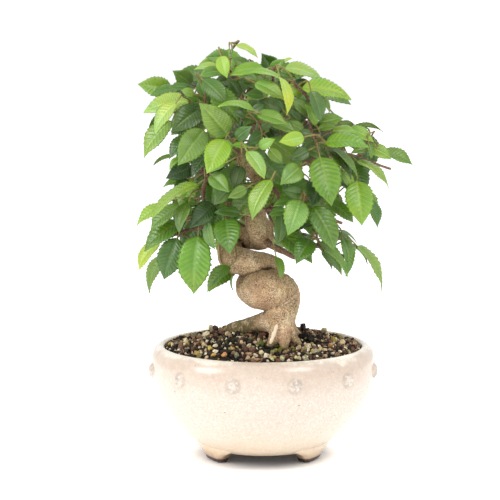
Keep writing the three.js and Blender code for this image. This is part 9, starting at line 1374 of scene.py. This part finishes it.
def build_grit():
    import bmesh

    cols = np.array([c for c, w in GRAIN_COLOURS])
    wts = np.array([w for c, w in GRAIN_COLOURS], float)
    wts /= wts.sum()
    g = np.random.default_rng(77)
    # ground under the grains
    SEG, RINGS = 120, 40
    ang = np.linspace(0, 2 * np.pi, SEG, endpoint=False)
    V, F, C = [], [], []
    rs = np.linspace(0.0, 61.9, RINGS)
    V.append((0, 0, grit_height(0, 0) - 1.4))
    for r in rs[1:]:
        for a in ang:
            x, y = r * math.cos(a), r * math.sin(a)
            V.append((x, y, grit_height(x, y) - 1.4 + 0.8 * noise.noise(Vector((x * 0.4, y * 0.4, 0)))))
    for k in range(SEG):
        F.append((0, 1 + k, 1 + (k + 1) % SEG))
    for j in range(RINGS - 2):
        for k in range(SEG):
            a = 1 + j * SEG + k
            b = 1 + j * SEG + (k + 1) % SEG
            F.append((a, a + SEG, b + SEG, b))
    # side and underside following the pot's inside
    inside = [(62.0, 66.5), (64.6, 62), (65.6, 54), (63.4, 44), (57.6, 33.7), (48.4, 23.8), (39, 15.6), (34.5, 13.9)]
    last = 1 + (RINGS - 2) * SEG
    for r, z in inside:
        base = len(V)
        for a in ang:
            V.append((r * math.cos(a), r * math.sin(a), z))
        for k in range(SEG):
            F.append((last + k, base + k, base + (k + 1) % SEG, last + (k + 1) % SEG))
        last = base
    V.append((0, 0, 13.9))
    for k in range(SEG):
        F.append((last + k, len(V) - 1, last + (k + 1) % SEG))
    V = np.array(V, float)
    C = np.tile([*srgb(40, 31, 26), 1], (len(V), 1))
    VV, FF, CC = [V], list(F), [C]
    off = len(V)
    bm = bmesh.new()
    bmesh.ops.create_icosphere(bm, subdivisions=2, radius=1)
    ico = np.array([v.co[:] for v in bm.verts])
    icf = np.array([[v.index for v in f.verts] for f in bm.faces])
    bm.free()
    trunk = np.array(TRUNK)[:3]
    rootl = np.array(SURFACE_ROOT)
    pts = []
    tries = 0
    cell = {}
    for (x, y, size, c) in MARKED:
        cell.setdefault((int(x // 4), int(y // 4)), []).append((x, y, size))
        pts.append((x, y, size, c))
    while tries < 30000 and len(pts) < 2000:
        tries += 1
        r = 61.2 * math.sqrt(g.random())
        a = g.uniform(0, 2 * math.pi)
        size = float(np.clip(g.lognormal(0.50, 0.30), 1.05, 2.9))
        if tries > 15000:
            size = float(g.uniform(0.7, 1.15))
        x, y = r * math.cos(a), r * math.sin(a)
        if r + size > 62.0:
            continue
        if math.hypot(x - 11.5, y + 25) < 7.0:
            continue
        key = (int(x // 4), int(y // 4))
        ok = True
        for i in (-1, 0, 1):
            for j in (-1, 0, 1):
                for (px, py, ps) in cell.get((key[0] + i, key[1] + j), ()):
                    if (px - x) ** 2 + (py - y) ** 2 < (0.80 * (ps + size)) ** 2:
                        ok = False
        if not ok:
            continue
        cell.setdefault(key, []).append((x, y, size))
        pts.append((x, y, size, None))
    for (x, y, size, special) in pts:
        z = grit_height(x, y) - 0.5 + g.uniform(-0.9, 1.1)
        if special is not None:
            z = grit_height(x, y) + 0.5 * size + (1.4 if y > 0 else 0)
        col = cols[g.choice(len(cols), p=wts)] * g.uniform(0.75, 1.25)
        for mx, my, mr, mcol in MOSS:
            if g.random() < 1.0 - math.hypot(x - mx, y - my) / mr:
                col = np.array(mcol) * g.uniform(0.7, 1.35)
        if special is not None:
            col = np.array(special)
        jag = np.array([noise.noise(Vector(v) * 1.3 + Vector((x, y, size))) for v in ico])
        fac = g.uniform(0.62, 1.15, 3)
        fac /= fac.mean()
        q = ico * (1 + 0.42 * jag)[:, None] * fac * size
        # knock flats into it
        for _ in range(8):
            nrm = g.normal(size=3)
            nrm /= np.linalg.norm(nrm)
            dd = q @ nrm
            lim = size * g.uniform(0.36, 0.78)
            q -= np.clip(dd - lim, 0, None)[:, None] * nrm
        rot = np.array(Matrix.Rotation(g.uniform(0, 6.28), 3, Vector(g.normal(size=3)).normalized()))
        q = q @ rot.T + np.array([x, y, z])
        VV.append(q)
        CC.append(np.tile([*np.clip(col, 0, 1), 1], (len(q), 1)))
        FF += [tuple(int(i) + off for i in f) for f in icf]
        off += len(q)
    ob = mesh_object("potting_grit", np.vstack(VV), FF, [GRIT], smooth=False, attrs={"grit_data": np.vstack(CC)})
    return settle(ob, ["potting_grit"])


build_grit()

for n in ("drainage_net_left", "drainage_net_right"):
    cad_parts[n].data.materials.clear()
    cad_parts[n].data.materials.append(plain_material("net_" + n, srgb(24, 27, 30), srgb(44, 48, 52), 0.55))
for n in ("net_clip_left", "net_clip_right"):
    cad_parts[n].data.materials.clear()
    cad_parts[n].data.materials.append(plain_material("wire_" + n, srgb(150, 150, 152), srgb(190, 190, 190), 0.38, 1.0))

# ------------------------------------------------------------------ stage
bpy.ops.mesh.primitive_plane_add(size=14, location=(0, 0, -0.0002))
floor = bpy.context.object
floor.name = "studio_floor"
fm, fnt, fb, fo = material("floor_white", 0.9)
fb.inputs["Base Color"].default_value = (0.985, 0.985, 0.985, 1)
fb.inputs["Specular IOR Level"].default_value = 0.0
fb.inputs["Emission Color"].default_value = (1, 0.99, 0.985, 1)
# painted light: the floor glows everywhere but under the pot, where the missing glow leaves a painted contact shadow
fco = fnt.nodes.new("ShaderNodeTexCoord").outputs["Object"]
fdist = fnt.nodes.new("ShaderNodeVectorMath")
fdist.operation = "DISTANCE"
fnt.links.new(fco, fdist.inputs[0])
fdist.inputs[1].default_value = (SX * MM, SY * MM, 0)
floor_glow = ramp(fnt, [(0.038, (0, 0, 0)), (0.053, (0.34, 0.34, 0.34))], fdist.outputs["Value"])
fnt.links.new(floor_glow.outputs[0], fb.inputs["Emission Strength"])
floor.data.materials.append(fm)

world = bpy.data.worlds.new("studio")
bpy.context.scene.world = world
world.use_nodes = True
bg = world.node_tree.nodes["Background"]
bg.inputs[0].default_value = (1, 1, 1, 1)
bg.inputs[1].default_value = 1.02


def area(name, loc, size, power, target=(0, 0, 0.13), colour=(1, 1, 1)):
    l = bpy.data.lights.new(name, "AREA")
    l.shape = "DISK"
    l.size = size
    l.energy = power
    l.color = colour
    o = bpy.data.objects.new(name, l)
    bpy.context.scene.collection.objects.link(o)
    o.location = loc
    o.rotation_mode = "QUATERNION"
    o.rotation_quaternion = (Vector(target) - Vector(loc)).to_track_quat("-Z", "Y")
    return o


area("key_left", (-1.0, -0.57, 0.68), 0.62, 6.0, (0, 0, 0.12))
area("key_right", (0.63, -0.67, 0.98), 0.56, 3.8, (0, 0, 0.12))
area("back", (0.25, 0.9, 0.9), 0.8, 1.8)

cam_data = bpy.data.cameras.new("camera")
cam = bpy.data.objects.new("camera", cam_data)
bpy.context.scene.collection.objects.link(cam)
cam_data.sensor_width = 36
cam_data.lens = 36 * 1519.0 / 500
cam.location = ((-8.2 + SX) * MM, (-950 + SY) * MM, 241 * MM)
cam.rotation_euler = (math.radians(90 - 6.62), 0, 0)
cam_data.clip_start = 0.01
bpy.context.scene.camera = cam
bpy.context.scene.view_settings.view_transform = "Standard"
